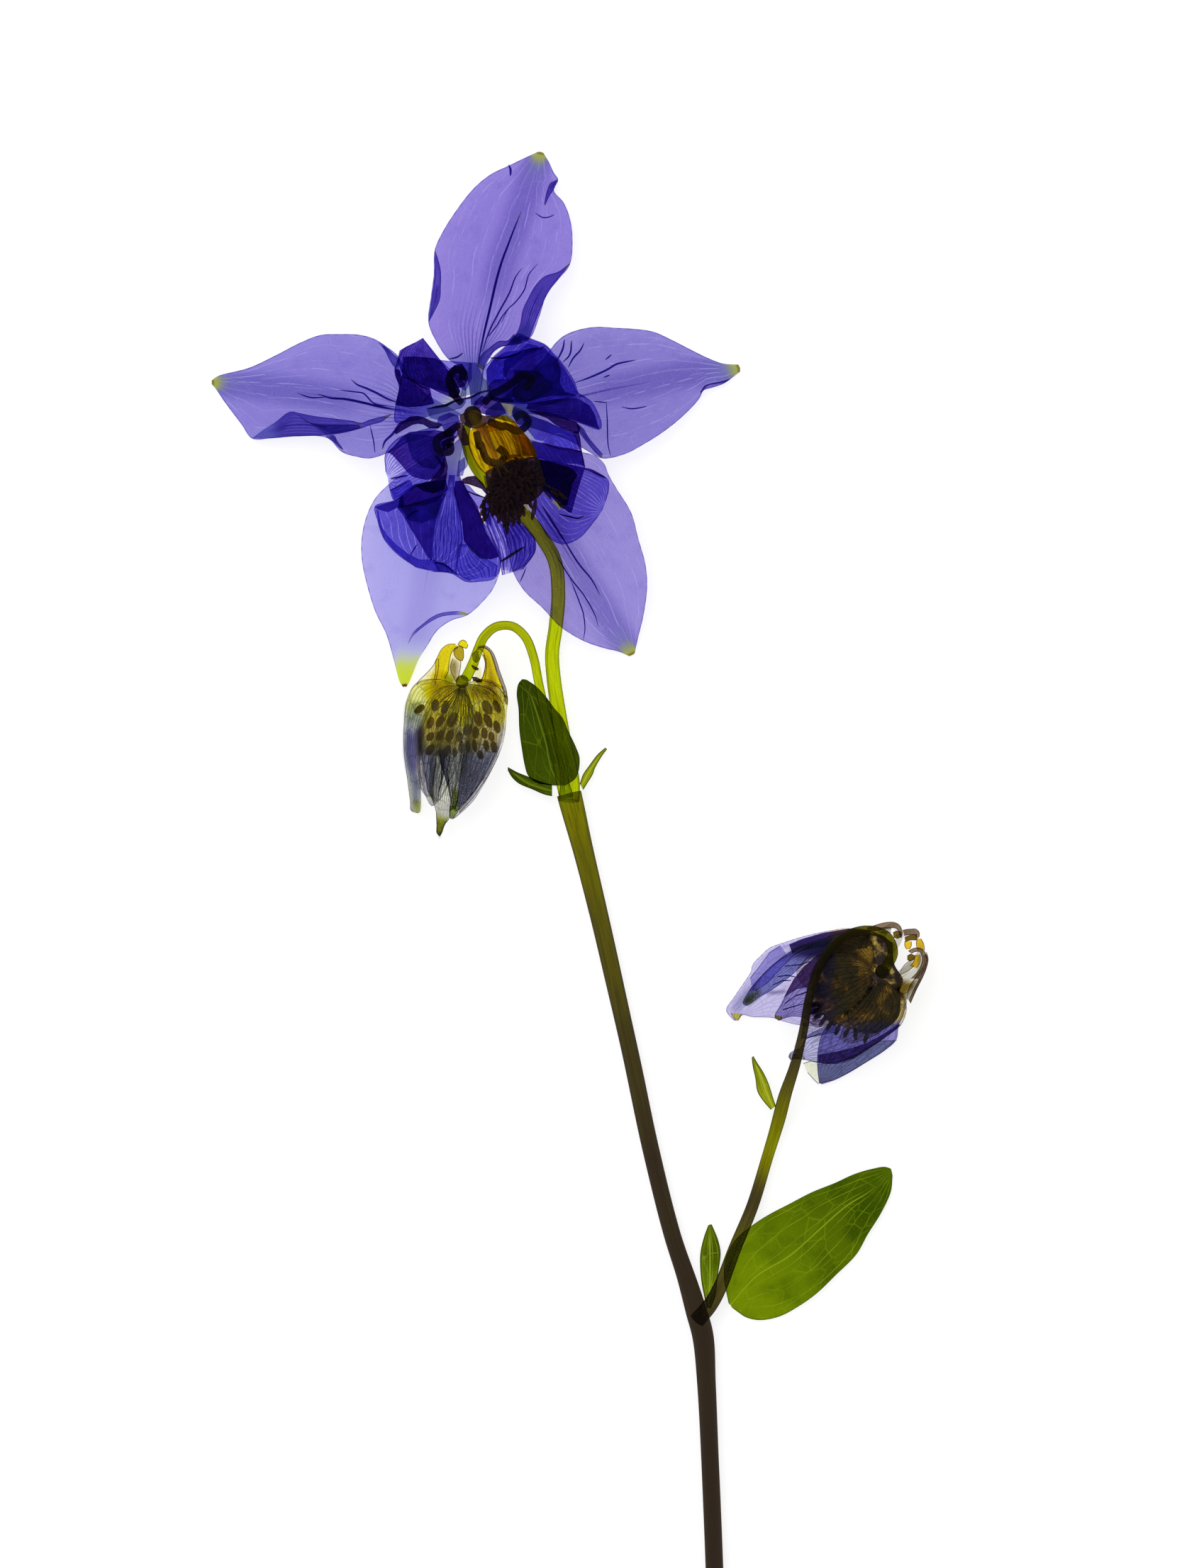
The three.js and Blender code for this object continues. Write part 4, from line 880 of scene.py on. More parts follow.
# %% [markdown]
# ## The stem
# The stem could be one straight pipe, but a grown stem tapers and bends a little at each
# joint. Each run is a tube along a measured route. The last number given to a tube says
# how brown it is from its foot to its top.

# %% Stem, stalks and receptacles
FLOWER = (-10.8, 53.1)
BUD = np.array([-12.0, 23.2])
BUD_MIDDLE = 3.1
HALF = (35.2, -9.4)

MAIN_ROUTE = [
    [16.6, -83.0, 1.0], [16.3, -74.2, 1.0], [15.9, -64.6, 1.0], [15.5, -56.0, 1.0],
    [15.1, -50.6, 1.1], [14.3, -47.6, 1.2], [13.3, -44.2, 1.0], [11.6, -39.0, 1.0],
    [9.2, -29.4, 1.0], [7.0, -19.0, 1.0], [5.2, -11.0, 1.0], [3.6, -4.0, 1.0],
    [2.0, 2.6, 1.0], [0.9, 7.0, 1.05], [0.0, 10.6, 1.2]]
MAIN_RADII = [1.0, 1.0, 1.0, 1.0, 1.06, 1.22, 1.0, 0.95, 0.95, 0.95, 0.95, 1.0, 1.05, 1.15, 1.4]
MAIN_BROWN = [1.0, 1.0, 1.0, 0.99, 0.98, 0.97, 0.96, 0.95, 0.93, 0.88, 0.82, 0.76, 0.70, 0.62, 0.45]
STALK_ROUTE = [
    [14.4, -48.8, 1.2], [15.9, -47.0, 1.75], [17.0, -45.0, 1.9], [18.7, -40.6, 1.7],
    [20.7, -35.8, 1.3], [22.3, -30.6, 0.9], [23.5, -26.6, 1.2], [24.3, -23.4, 2.5],
    [25.4, -19.8, 4.5], [26.3, -15.8, 6.3], [26.8, -12.8, 6.95], [27.5, -10.2, 6.95],
    [28.8, -7.4, 6.95], [31.0, -5.3, 6.95], [33.6, -4.7, 6.95], [35.6, -5.4, 6.8],
    [36.3, -7.2, 6.4], [35.5, -9.0, 5.6]]
STALK_RADII = [0.9, 0.78, 0.72, 0.68, 0.66, 0.75, 0.6, 0.5, 0.5, 0.5, 0.55, 0.6]
STALK_BROWN = [0.9, 0.80, 0.70, 0.86, 0.42, 0.60, 0.84, 0.88, 0.90, 0.86, 0.70, 0.6]
PEDICEL_ROUTE = [
    [0.0, 9.8, 1.4], [0.1, 12.2, 1.9], [-0.6, 16.2, 1.85], [-1.2, 19.9, 1.8],
    [-1.7, 23.4, 1.6], [-1.9, 26.4, 1.1], [-1.5, 29.4, 0.9], [-1.2, 33.0, 0.9],
    [-1.6, 36.8, 0.9], [-3.0, 39.4, 0.9], [-4.8, 41.7, 0.9], [-6.7, 43.6, 0.9],
    [-9.0, 45.5, 0.9], [-10.7, 47.5, 0.9], [-11.6, 49.8, 0.9], [-11.6, 51.6, 0.9],
    [-10.9, 53.0, 0.9]]
PEDICEL_RADII = [1.2, 0.95, 0.85, 0.8, 0.8, 0.8, 0.8, 0.75, 0.5, 0.45]
PEDICEL_BROWN = [0.05, 0.0, 0.0, 0.0, 0.0, 0.05, 0.1, 0.2, 0.42, 0.6]
BUD_PEDICEL_ROUTE = [
    [-0.3, 10.2, 1.5], [-0.8, 12.2, 1.9], [-2.0, 17.0, 1.65], [-2.8, 20.2, 1.6],
    [-3.4, 23.0, 1.6], [-4.0, 26.0, 2.2], [-4.9, 28.2, 3.4], [-6.4, 29.4, 4.6],
    [-8.2, 29.3, 5.2], [-9.5, 28.2, 5.1], [-10.2, 26.7, 4.7], [-10.8, 25.1, 4.1],
    [-11.6, 23.5, 3.4]]
BUD_PEDICEL_RADII = [0.8, 0.6, 0.55, 0.5, 0.5, 0.5, 0.55, 0.6]
BUD_PEDICEL_BROWN = [0.1, 0.05, 0.0, 0.1, 0.2, 0.25, 0.2, 0.1]

stem_shells = [
    tube(MAIN_ROUTE, MAIN_RADII, count=220, sides=20, flat=0.95, fold=MAIN_BROWN),
    tube(STALK_ROUTE, STALK_RADII, count=170, sides=16, flat=0.9, fold=STALK_BROWN),
    tube(PEDICEL_ROUTE, PEDICEL_RADII, count=170, sides=18, flat=0.95, fold=PEDICEL_BROWN),
    tube(BUD_PEDICEL_ROUTE, BUD_PEDICEL_RADII, count=140, sides=16, flat=0.95,
         fold=BUD_PEDICEL_BROWN),
    turned(FLOWER, [(0.02, 0.2), (0.8, 0.2), (1.0, 0.6), (0.95, 3.0), (1.0, 5.5), (0.7, 5.95),
                    (0.02, 6.0)], fold=1.0),
    turned(BUD, [(0.02, 2.4), (0.5, 2.45), (0.75, 3.1), (0.5, 3.75), (0.02, 3.8)], fold=0.4),
    turned(HALF, [(0.02, 1.0), (0.55, 1.05), (0.72, 1.6), (0.7, 3.6), (0.72, 5.6), (0.5, 6.05),
                  (0.02, 6.1)], fold=0.8),
]
piece("columbine_stem", stem_shells, stem_green, "stem_green", "stem")

# %% [markdown]
# ## Hairs on the stem
# A columbine's stalks are softly hairy. Each hair is a slim three-sided spindle that
# stands on the surface: a random place along a run, a random turn round it. Nearly eight
# hundred of them cost only six faces each.

# %% Soft hairs
hair_rng = np.random.default_rng(23)


def hairs(route, radii, number, first=0.0, last=1.0, long=0.26, thick=0.016):
    """Hair = a spindle, long at most, that stands out from a random point of a tube."""
    t = np.sort(hair_rng.uniform(first, last, number))
    centre, up, side = carried(line(route), t)
    a = hair_rng.uniform(-0.6 * np.pi, 0.6 * np.pi, (number, 1))
    out = np.cos(a) * up + np.sin(a) * side
    root = centre + levels(radii)(t)[:, None] * out
    lean = unit(out + hair_rng.normal(0, 0.25, out.shape))
    reach = long * hair_rng.uniform(0.5, 1.0, (number, 1))
    sizes = np.hstack([reach / 2, np.full((number, 2), thick)])
    return beads(root + 0.42 * reach * lean, lean, sizes, sides=3, rings=2, fold=0.1)


hair_shells = [
    hairs(MAIN_ROUTE, MAIN_RADII, 160, 0.45, 1.0, long=0.16),
    hairs(PEDICEL_ROUTE, PEDICEL_RADII, 260, 0.02, 0.66),
    hairs(BUD_PEDICEL_ROUTE, BUD_PEDICEL_RADII, 200, 0.02, 0.95),
    hairs(STALK_ROUTE, STALK_RADII, 160, 0.25, 0.95, long=0.18),
]
piece("stem_hairs", hair_shells, stem_green, "stem_green")

# %% [markdown]
# ## Leaves and bracts
# A leaf of the stem is a simple oval blade without a stalk; a bract is a narrow one. All
# six are the same kind of blade, told apart by their outlines and by how high their
# midribs lie.

# %% Six green blades
LEVEL = 0.3
greens = {
    "leaf_lower_large": (leaf_green, "leaf_green", dict(
        left=[[18.0, -46.9], [17.5, -44.2], [17.6, -42.1], [18.7, -39.8], [20.8, -38.0],
              [22.5, -36.9], [24.8, -35.7], [27.3, -34.4], [30.0, -33.3], [32.2, -32.3],
              [34.3, -31.7], [35.6, -31.5], [36.3, -31.7]],
        right=[[18.4, -47.4], [19.2, -48.0], [20.0, -48.5], [21.5, -48.8], [23.7, -48.4],
               [25.8, -47.3], [27.9, -45.8], [30.0, -43.8], [32.4, -41.4], [33.7, -39.1],
               [35.2, -36.7], [36.3, -34.3], [36.5, -32.5]],
        rib=[[18.2, -47.1], [21.2, -43.8], [24.8, -41.6], [28.0, -38.8], [31.3, -35.9],
             [34.0, -34.2], [36.4, -32.0]],
        lift=[LEVEL, LEVEL, 0.5, 0.4, 0.6, 0.36], cup=0.1, wave=0.08, rows=120, columns=48)),
    "leaf_lower_small": (bract_light, "leaf_green", dict(
        left=[[15.5, -47.4], [15.2, -45.9], [14.9, -44.2], [14.8, -41.4], [15.2, -39.5],
              [15.7, -38.1]],
        right=[[16.0, -47.5], [16.5, -46.1], [16.8, -43.7], [17.1, -41.2], [16.8, -39.7],
               [16.1, -38.0]],
        rib=[[15.75, -47.4], [15.9, -43.8], [15.9, -40.6], [15.9, -38.0]],
        lift=[0.5, LEVEL, 0.4], cup=0.1, rows=60, columns=20)),
    "bract_upper_broad": (bract_green, "bract_green", dict(
        left=[[-1.6, 11.5], [-3.6, 11.8], [-4.6, 12.6], [-5.0, 13.8], [-5.3, 15.5], [-5.6, 17.8],
              [-5.7, 20.2], [-5.9, 21.9], [-5.7, 23.0], [-5.3, 23.5]],
        right=[[-0.4, 11.5], [0.8, 12.4], [1.2, 14.5], [0.8, 15.8], [-0.1, 17.7], [-0.7, 19.1],
               [-1.7, 20.3], [-2.5, 21.4], [-3.7, 22.7], [-4.7, 23.4]],
        rib=[[-1.0, 11.5], [-2.0, 13.4], [-2.6, 16.2], [-3.4, 19.0], [-4.2, 21.4], [-5.0, 23.5]],
        lift=[LEVEL, LEVEL, 0.35, LEVEL], cup=0.1, rows=90, columns=32)),
    "bract_upper_left": (bract_green, "bract_green", dict(
        left=[[-1.9, 11.6], [-3.0, 11.9], [-4.8, 12.6], [-5.8, 13.0], [-6.9, 13.6]],
        right=[[-1.9, 10.3], [-2.8, 10.5], [-4.2, 11.1], [-5.6, 11.7], [-6.4, 12.4], [-6.9, 13.2]],
        rib=[[-1.9, 10.9], [-3.0, 11.2], [-4.8, 11.9], [-6.9, 13.4]],
        lift=[1.4, 1.35, 1.3, 0.9], cup=0.1, rows=50, columns=18)),
    "bract_upper_right": (bract_pale, "bract_green", dict(
        left=[[1.2, 11.7], [1.6, 12.8], [2.3, 13.8], [3.2, 15.0], [4.1, 15.8]],
        right=[[1.6, 11.0], [2.1, 11.8], [2.7, 12.8], [2.9, 13.4], [3.7, 14.8], [4.3, 15.6]],
        rib=[[1.4, 11.4], [2.1, 12.8], [2.8, 13.9], [4.2, 15.7]],
        lift=[1.0, 0.6, 0.4, 0.5], cup=0.1, rows=50, columns=16)),
    "bract_stalk": (bract_pale, "bract_green", dict(
        left=[[22.7, -25.0], [21.7, -23.8], [21.2, -22.9], [21.0, -21.5], [20.7, -20.1],
              [20.6, -19.2]],
        right=[[23.3, -24.6], [23.0, -23.7], [22.5, -22.1], [21.9, -20.8], [21.2, -19.7],
               [20.8, -19.0]],
        rib=[[23.0, -24.8], [22.2, -23.0], [21.6, -21.3], [20.7, -19.05]],
        lift=[2.0, 1.6, 1.0, 0.5], cup=0.1, rows=50, columns=16)),
}
for name, (finish, slot, shape) in greens.items():
    piece("film_" + name, [film(*blade(**shape))], finish, slot, name)

# %% [markdown]
# ## The five sepals
# Each sepal is one blade. Pressing has folded some margins over, and drawn thin creases
# from the claw. A fold is a strip laid on the blade between the fold line and the free
# edge; a crease is a narrow ribbon. Both read their height from the blade below them.

# %% Sepals with their folds and creases
CREASE_GAP, CREASE_HALF = 0.13, 0.04
FOLD_GAP, FOLD_HALF = 0.20, 0.05
sepals = {
    "sepal_top": dict(
        left=[[-11.0, 54.3], [-11.3, 56.6], [-11.9, 58.4], [-13.5, 59.4], [-14.9, 61.4],
              [-15.8, 63.6], [-15.5, 66.6], [-15.2, 69.0], [-15.1, 71.7], [-14.2, 73.8],
              [-12.5, 76.5], [-10.7, 78.8], [-8.8, 80.4], [-6.8, 81.4], [-5.2, 82.2], [-3.5, 83.0]],
        right=[[-10.2, 54.3], [-9.8, 56.6], [-9.3, 59.2], [-7.7, 60.8], [-5.4, 61.2], [-4.3, 61.9],
               [-3.3, 64.3], [-2.5, 66.7], [-1.2, 68.4], [0.1, 70.1], [0.4, 73.1], [0.1, 75.4],
               [-0.6, 77.2], [-1.7, 78.6], [-1.2, 79.8], [-1.7, 80.6], [-2.3, 81.9], [-2.9, 82.9]],
        rib=[[-10.6, 54.3], [-10.3, 58.7], [-9.5, 62.6], [-8.5, 66.7], [-7.5, 70.6], [-6.2, 74.1],
             [-4.8, 78.1], [-3.2, 83.0]],
        lift=[2.4, 2.6, 2.9, 2.5, 1.4, 0.35]),
    "sepal_left": dict(
        left=[[-12.2, 52.6], [-14.2, 52.0], [-16.2, 50.7], [-18.1, 50.1], [-20.2, 49.0],
              [-22.4, 48.3], [-23.9, 48.5], [-25.5, 49.0], [-27.2, 50.6], [-30.6, 50.8],
              [-33.6, 50.6], [-35.7, 50.6], [-36.9, 52.2], [-39.0, 55.0], [-39.8, 56.2], [-40.3, 56.8]],
        right=[[-12.2, 53.4], [-16.2, 55.7], [-18.2, 57.8], [-19.2, 59.8], [-20.4, 60.8],
               [-21.8, 61.7], [-23.5, 62.2], [-25.9, 62.3], [-28.0, 62.2], [-30.4, 61.3],
               [-32.8, 60.1], [-36.1, 58.6], [-39.6, 57.7], [-40.3, 57.2]],
        rib=[[-12.2, 53.0], [-15.2, 53.2], [-19.6, 53.8], [-24.4, 54.8], [-30.8, 55.9],
             [-35.7, 56.6], [-40.3, 57.0]],
        lift=[2.4, 2.5, 2.7, 2.2, 1.1, 0.35]),
    "sepal_lower_left": dict(
        left=[[-11.6, 51.6], [-12.1, 49.0], [-12.3, 46.8], [-11.6, 44.8], [-10.2, 42.2],
              [-8.6, 39.4], [-7.6, 37.0], [-8.4, 33.9], [-9.6, 32.3], [-11.4, 30.7], [-13.2, 30.1],
              [-14.8, 29.0], [-16.0, 27.2], [-16.9, 25.8], [-17.5, 24.4], [-18.1, 23.0], [-18.4, 22.6]],
        right=[[-12.0, 51.8], [-13.8, 49.8], [-17.0, 47.8], [-19.8, 45.8], [-21.8, 43.8],
               [-22.8, 41.7], [-23.3, 39.4], [-23.3, 37.0], [-22.8, 34.4], [-21.8, 31.1],
               [-20.6, 28.6], [-19.9, 26.2], [-19.5, 24.6], [-19.1, 23.2], [-18.7, 22.6]],
        rib=[[-11.8, 51.7], [-13.2, 48.6], [-14.6, 44.0], [-15.2, 40.0], [-15.8, 36.2],
             [-17.0, 29.8], [-18.5, 22.7]],
        lift=[2.4, 2.5, 2.6, 2.5, 1.6, 0.35]),
    "sepal_lower_right": dict(
        left=[[-9.6, 52.3], [-7.0, 51.4], [-4.2, 50.4], [-1.4, 49.5], [1.6, 49.0], [2.9, 48.6],
              [3.9, 47.8], [4.5, 46.4], [5.3, 45.0], [7.0, 42.2], [7.8, 39.3], [8.6, 36.4], [8.8, 33.9],
              [8.4, 30.7],
              [7.8, 28.2], [7.4, 26.4]],
        right=[[-10.0, 51.8], [-9.0, 48.6], [-8.2, 44.4], [-7.0, 38.6], [-6.4, 35.8], [-5.1, 33.5],
               [-3.0, 31.5], [-1.0, 29.4], [1.6, 27.8], [3.9, 27.0], [5.6, 26.6], [6.8, 26.1]],
        rib=[[-9.8, 52.1], [-5.8, 45.8], [-1.8, 40.2], [2.2, 33.8], [5.0, 29.4], [7.1, 26.2]],
        lift=[2.4, 2.5, 2.65, 2.75, 2.5, 0.35]),
    "sepal_right": dict(
        left=[[-9.4, 53.7], [-7.4, 55.2], [-5.0, 57.4], [-3.0, 59.4], [-1.4, 61.4], [-0.4, 62.2],
              [1.2, 62.8], [3.1, 63.1], [5.2, 63.0], [7.3, 62.9], [9.5, 62.6], [11.6, 61.7],
              [13.8, 60.6], [15.7, 59.7], [17.4, 59.1], [19.1, 59.0]],
        right=[[-9.4, 53.1], [-6.6, 52.4], [-3.4, 51.5], [-0.2, 50.4], [1.8, 49.3], [3.7, 48.3],
               [6.3, 48.8], [8.4, 49.9], [10.6, 51.3], [12.7, 53.0], [14.6, 55.0], [15.5, 56.5],
               [17.6, 57.0], [19.3, 58.2]],
        rib=[[-9.4, 53.4], [-5.0, 54.0], [-0.1, 55.0], [5.2, 56.2], [8.4, 56.8], [12.7, 57.8],
             [17.4, 58.4], [19.3, 58.6]],
        lift=[2.4, 2.6, 2.8, 2.3, 1.2, 0.35]),
}
folds = {
    "sepal_top": [
        ([[-4.5, 61.6], [-4.2, 62.4], [-3.5, 64.3], [-3.0, 65.5], [-2.5, 66.6], [-1.8, 67.7],
          [-0.8, 69.0], [0.1, 70.1]],
         [[-6.8, 61.4], [-5.9, 62.4], [-5.5, 63.4], [-5.2, 65.0], [-4.5, 66.5], [-3.8, 67.7],
          [-2.7, 68.8], [-1.2, 69.3], [0.0, 70.2]]),
        ([[-5.2, 61.3], [-6.9, 61.0], [-8.1, 60.6], [-8.9, 59.6], [-9.6, 58.2]],
         [[-6.2, 62.3], [-6.9, 61.6], [-7.9, 61.5], [-8.9, 60.8], [-9.9, 59.9], [-10.3, 58.7]]),
        ([[-15.8, 63.6], [-15.6, 65.1], [-15.4, 66.6], [-15.1, 69.0], [-15.1, 71.5]],
         [[-15.7, 63.7], [-15.1, 64.8], [-14.5, 66.2], [-14.4, 67.7], [-14.4, 69.3],
          [-14.7, 70.7], [-15.0, 71.6]]),
        ([[-1.3, 79.7], [-1.7, 78.7], [-2.2, 77.9], [-2.7, 76.8]],
         [[-1.4, 79.8], [-2.1, 79.4], [-2.5, 78.5], [-2.8, 77.0]]),
    ],
    "sepal_left": [
        ([[-35.7, 50.6], [-33.4, 50.6], [-31.2, 50.8], [-27.4, 50.9], [-25.2, 51.2],
          [-23.3, 51.7], [-22.2, 52.1], [-21.1, 52.4], [-20.0, 53.2]],
         [[-35.6, 50.7], [-34.4, 51.6], [-33.1, 52.4], [-31.4, 53.6], [-30.2, 53.4],
          [-28.7, 53.1], [-26.4, 52.8], [-24.2, 52.5], [-23.4, 52.3], [-22.3, 52.7],
          [-21.1, 53.0], [-20.0, 53.3]]),
        ([[-27.4, 51.0], [-26.4, 51.1], [-25.2, 51.3], [-23.4, 51.7]],
         [[-30.7, 53.4], [-29.6, 52.5], [-28.2, 52.2], [-23.6, 52.1]]),
        ([[-27.4, 50.8], [-26.4, 50.1], [-25.9, 49.6], [-25.4, 49.2]],
         [[-27.2, 50.9], [-26.4, 50.9], [-26.0, 50.2], [-25.4, 49.4]]),
        ([[-21.4, 61.4], [-20.4, 60.7], [-19.7, 60.0], [-19.1, 59.4], [-19.2, 58.6]],
         [[-21.4, 61.3], [-20.7, 60.4], [-20.3, 59.6], [-19.9, 58.9], [-19.5, 58.4]]),
    ],
    "sepal_lower_left": [
        ([[-18.1, 27.6], [-17.6, 28.7], [-16.6, 29.6], [-15.4, 30.5], [-14.5, 30.9],
          [-13.2, 31.1], [-12.1, 31.1], [-11.3, 30.8]],
         [[-18.1, 27.5], [-17.5, 28.4], [-16.5, 29.3], [-15.3, 30.1], [-14.4, 30.5],
          [-13.2, 30.7], [-12.1, 30.7], [-11.4, 30.7]]),
    ],
    "sepal_lower_right": [],
    "sepal_right": [
        ([[14.8, 55.7], [15.3, 56.1], [16.3, 56.4], [17.4, 56.8], [18.2, 57.3]],
         [[14.8, 55.9], [15.3, 56.6], [16.2, 56.9], [17.2, 57.1], [18.1, 57.4]]),
        ([[0.8, 52.1], [1.3, 51.0], [2.0, 50.1], [2.9, 49.0], [3.7, 48.3]],
         [[1.0, 52.2], [1.6, 51.7], [2.2, 50.7], [3.0, 49.7], [3.8, 48.8]]),
    ],
}
creases = {
    "sepal_top": [
        ([[-6.8, 81.5], [-6.6, 81.0], [-6.6, 80.2]], 0.22),
        ([[-3.8, 76.0], [-3.0, 75.5], [-2.4, 75.5], [-1.6, 75.8]], 0.10),
        ([[-10.3, 58.7], [-9.9, 60.6], [-9.5, 62.6], [-8.9, 65.1], [-8.2, 68.2], [-7.5, 70.6],
          [-6.9, 72.2], [-6.2, 74.1], [-5.4, 76.1]], 0.24),
        ([[-9.8, 60.2], [-8.9, 62.7], [-7.9, 64.7], [-6.7, 66.9], [-6.0, 68.7], [-5.2, 69.8]], 0.16),
        ([[-7.6, 63.5], [-6.9, 65.0], [-5.9, 66.0], [-5.0, 67.3], [-4.5, 69.0], [-3.5, 70.2]], 0.11),
        ([[-9.3, 61.8], [-8.2, 63.1], [-7.6, 64.1], [-6.9, 65.1]], 0.11),
        ([[-13.5, 59.5], [-12.6, 59.7], [-11.9, 60.2]], 0.16),
    ],
    "sepal_left": [
        ([[-18.5, 54.3], [-20.6, 55.1], [-21.7, 55.7], [-22.8, 56.2], [-23.8, 56.6],
          [-24.5, 57.2]], 0.22),
        ([[-18.5, 53.7], [-21.2, 54.1], [-22.8, 54.5], [-25.2, 55.0], [-26.8, 55.1],
          [-28.3, 55.6]], 0.24),
        ([[-19.5, 54.1], [-21.9, 54.5], [-23.1, 55.6], [-24.2, 55.8], [-25.8, 56.0]], 0.14),
        ([[-22.4, 52.1], [-22.0, 50.4], [-21.8, 48.9]], 0.10),
        ([[-17.7, 52.8], [-18.9, 52.3], [-19.8, 51.1], [-20.7, 50.2], [-21.0, 49.3]], 0.26),
        ([[-30.6, 55.7], [-29.1, 55.2], [-27.4, 55.2]], 0.12),
    ],
    "sepal_lower_left": [],
    "sepal_lower_right": [
        ([[0.0, 35.1], [1.0, 32.6], [1.6, 30.9], [1.8, 29.1], [1.6, 27.9]], 0.11),
        ([[-1.4, 40.6], [1.0, 36.6], [2.6, 34.6], [3.5, 32.9]], 0.16),
        ([[-4.8, 36.1], [-5.1, 35.3], [-5.5, 34.4]], 0.10),
        ([[-2.0, 38.4], [0.2, 34.8], [1.7, 32.9], [3.0, 30.5], [3.3, 29.4]], 0.12),
    ],
    "sepal_right": [
        ([[-1.4, 59.2], [-0.7, 60.6], [-0.5, 61.7]], 0.18),
        ([[-0.7, 59.1], [0.1, 60.0], [0.3, 61.6]], 0.16),
        ([[-0.1, 58.5], [0.5, 59.6], [1.3, 60.5], [1.7, 61.3]], 0.16),
        ([[0.6, 56.8], [2.3, 57.4], [4.3, 58.3], [5.3, 58.9], [6.5, 59.2], [7.6, 59.4]], 0.20),
        ([[3.9, 57.4], [4.6, 57.7]], 0.12),
        ([[4.1, 59.4], [4.8, 60.0]], 0.12),
        ([[4.2, 54.6], [4.3, 52.7], [4.4, 49.9], [4.7, 48.5]], 0.11),
        ([[2.8, 54.7], [4.3, 54.6]], 0.10),
        ([[5.9, 54.1], [7.1, 53.9], [8.8, 54.2]], 0.11),
    ],
}
for name, shape in sepals.items():
    host = blade(rows=130, columns=56, **shape)
    shells = [film(*host)]
    for outer, inner in folds[name]:
        shells.append(film(*lie_on(strip(outer, inner, [0]), host, FOLD_GAP), half=FOLD_HALF))
    for points, width in creases[name]:
        shells.append(film(*lie_on(crease(points, width), host, CREASE_GAP), half=CREASE_HALF))
    piece("film_" + name, shells, sepal_finishes[name], "sepal_violet", name)

# %% [markdown]
# ## The five petals
# Each petal is one or two lobes and a spur that coils below the sepals. Pressing folded
# every petal two or three times. Each fold is a facet: a strip a little above its lobe,
# with its own tone, so the middle of the flower turns nearly black-blue where they
# overlap. Ridges are thin dark ribbons.

# %% Petals
LEVEL_1 = 3.6
LEVEL_2 = 4.55
SPUR_LEVEL, SPUR_RADIUS = 0.85, 0.45
FACET_GAP, FACET_STEP, FACET_HALF = 0.16, 0.08, 0.04
RIDGE_GAP, RIDGE_HALF = 1.0, 0.03
CLAW = -1.0
SPUR_TONE = 1.7


def polar(centre, angle, radius):
    """The point at an angle in degrees and a radius from a centre."""
    a = np.radians(angle)
    return [centre[0] + radius * np.cos(a), centre[1] + radius * np.sin(a)]


def spur(angle, coil, level=LEVEL_1):
    """A slim tube from the petal's claw down between the sepals' claws to a coil."""
    route = [[*polar(FLOWER, angle, 1.95), level], [*polar(FLOWER, angle, 3.0), level - 0.5],
             [*polar(FLOWER, angle, 3.45), 2.2]]
    route += [[x, y, 1.1 if i == 0 else SPUR_LEVEL] for i, (x, y) in enumerate(coil)]
    radii = [0.42, SPUR_RADIUS, SPUR_RADIUS, SPUR_RADIUS, SPUR_RADIUS]
    return tube(route, radii, count=60, sides=10, fold=SPUR_TONE)


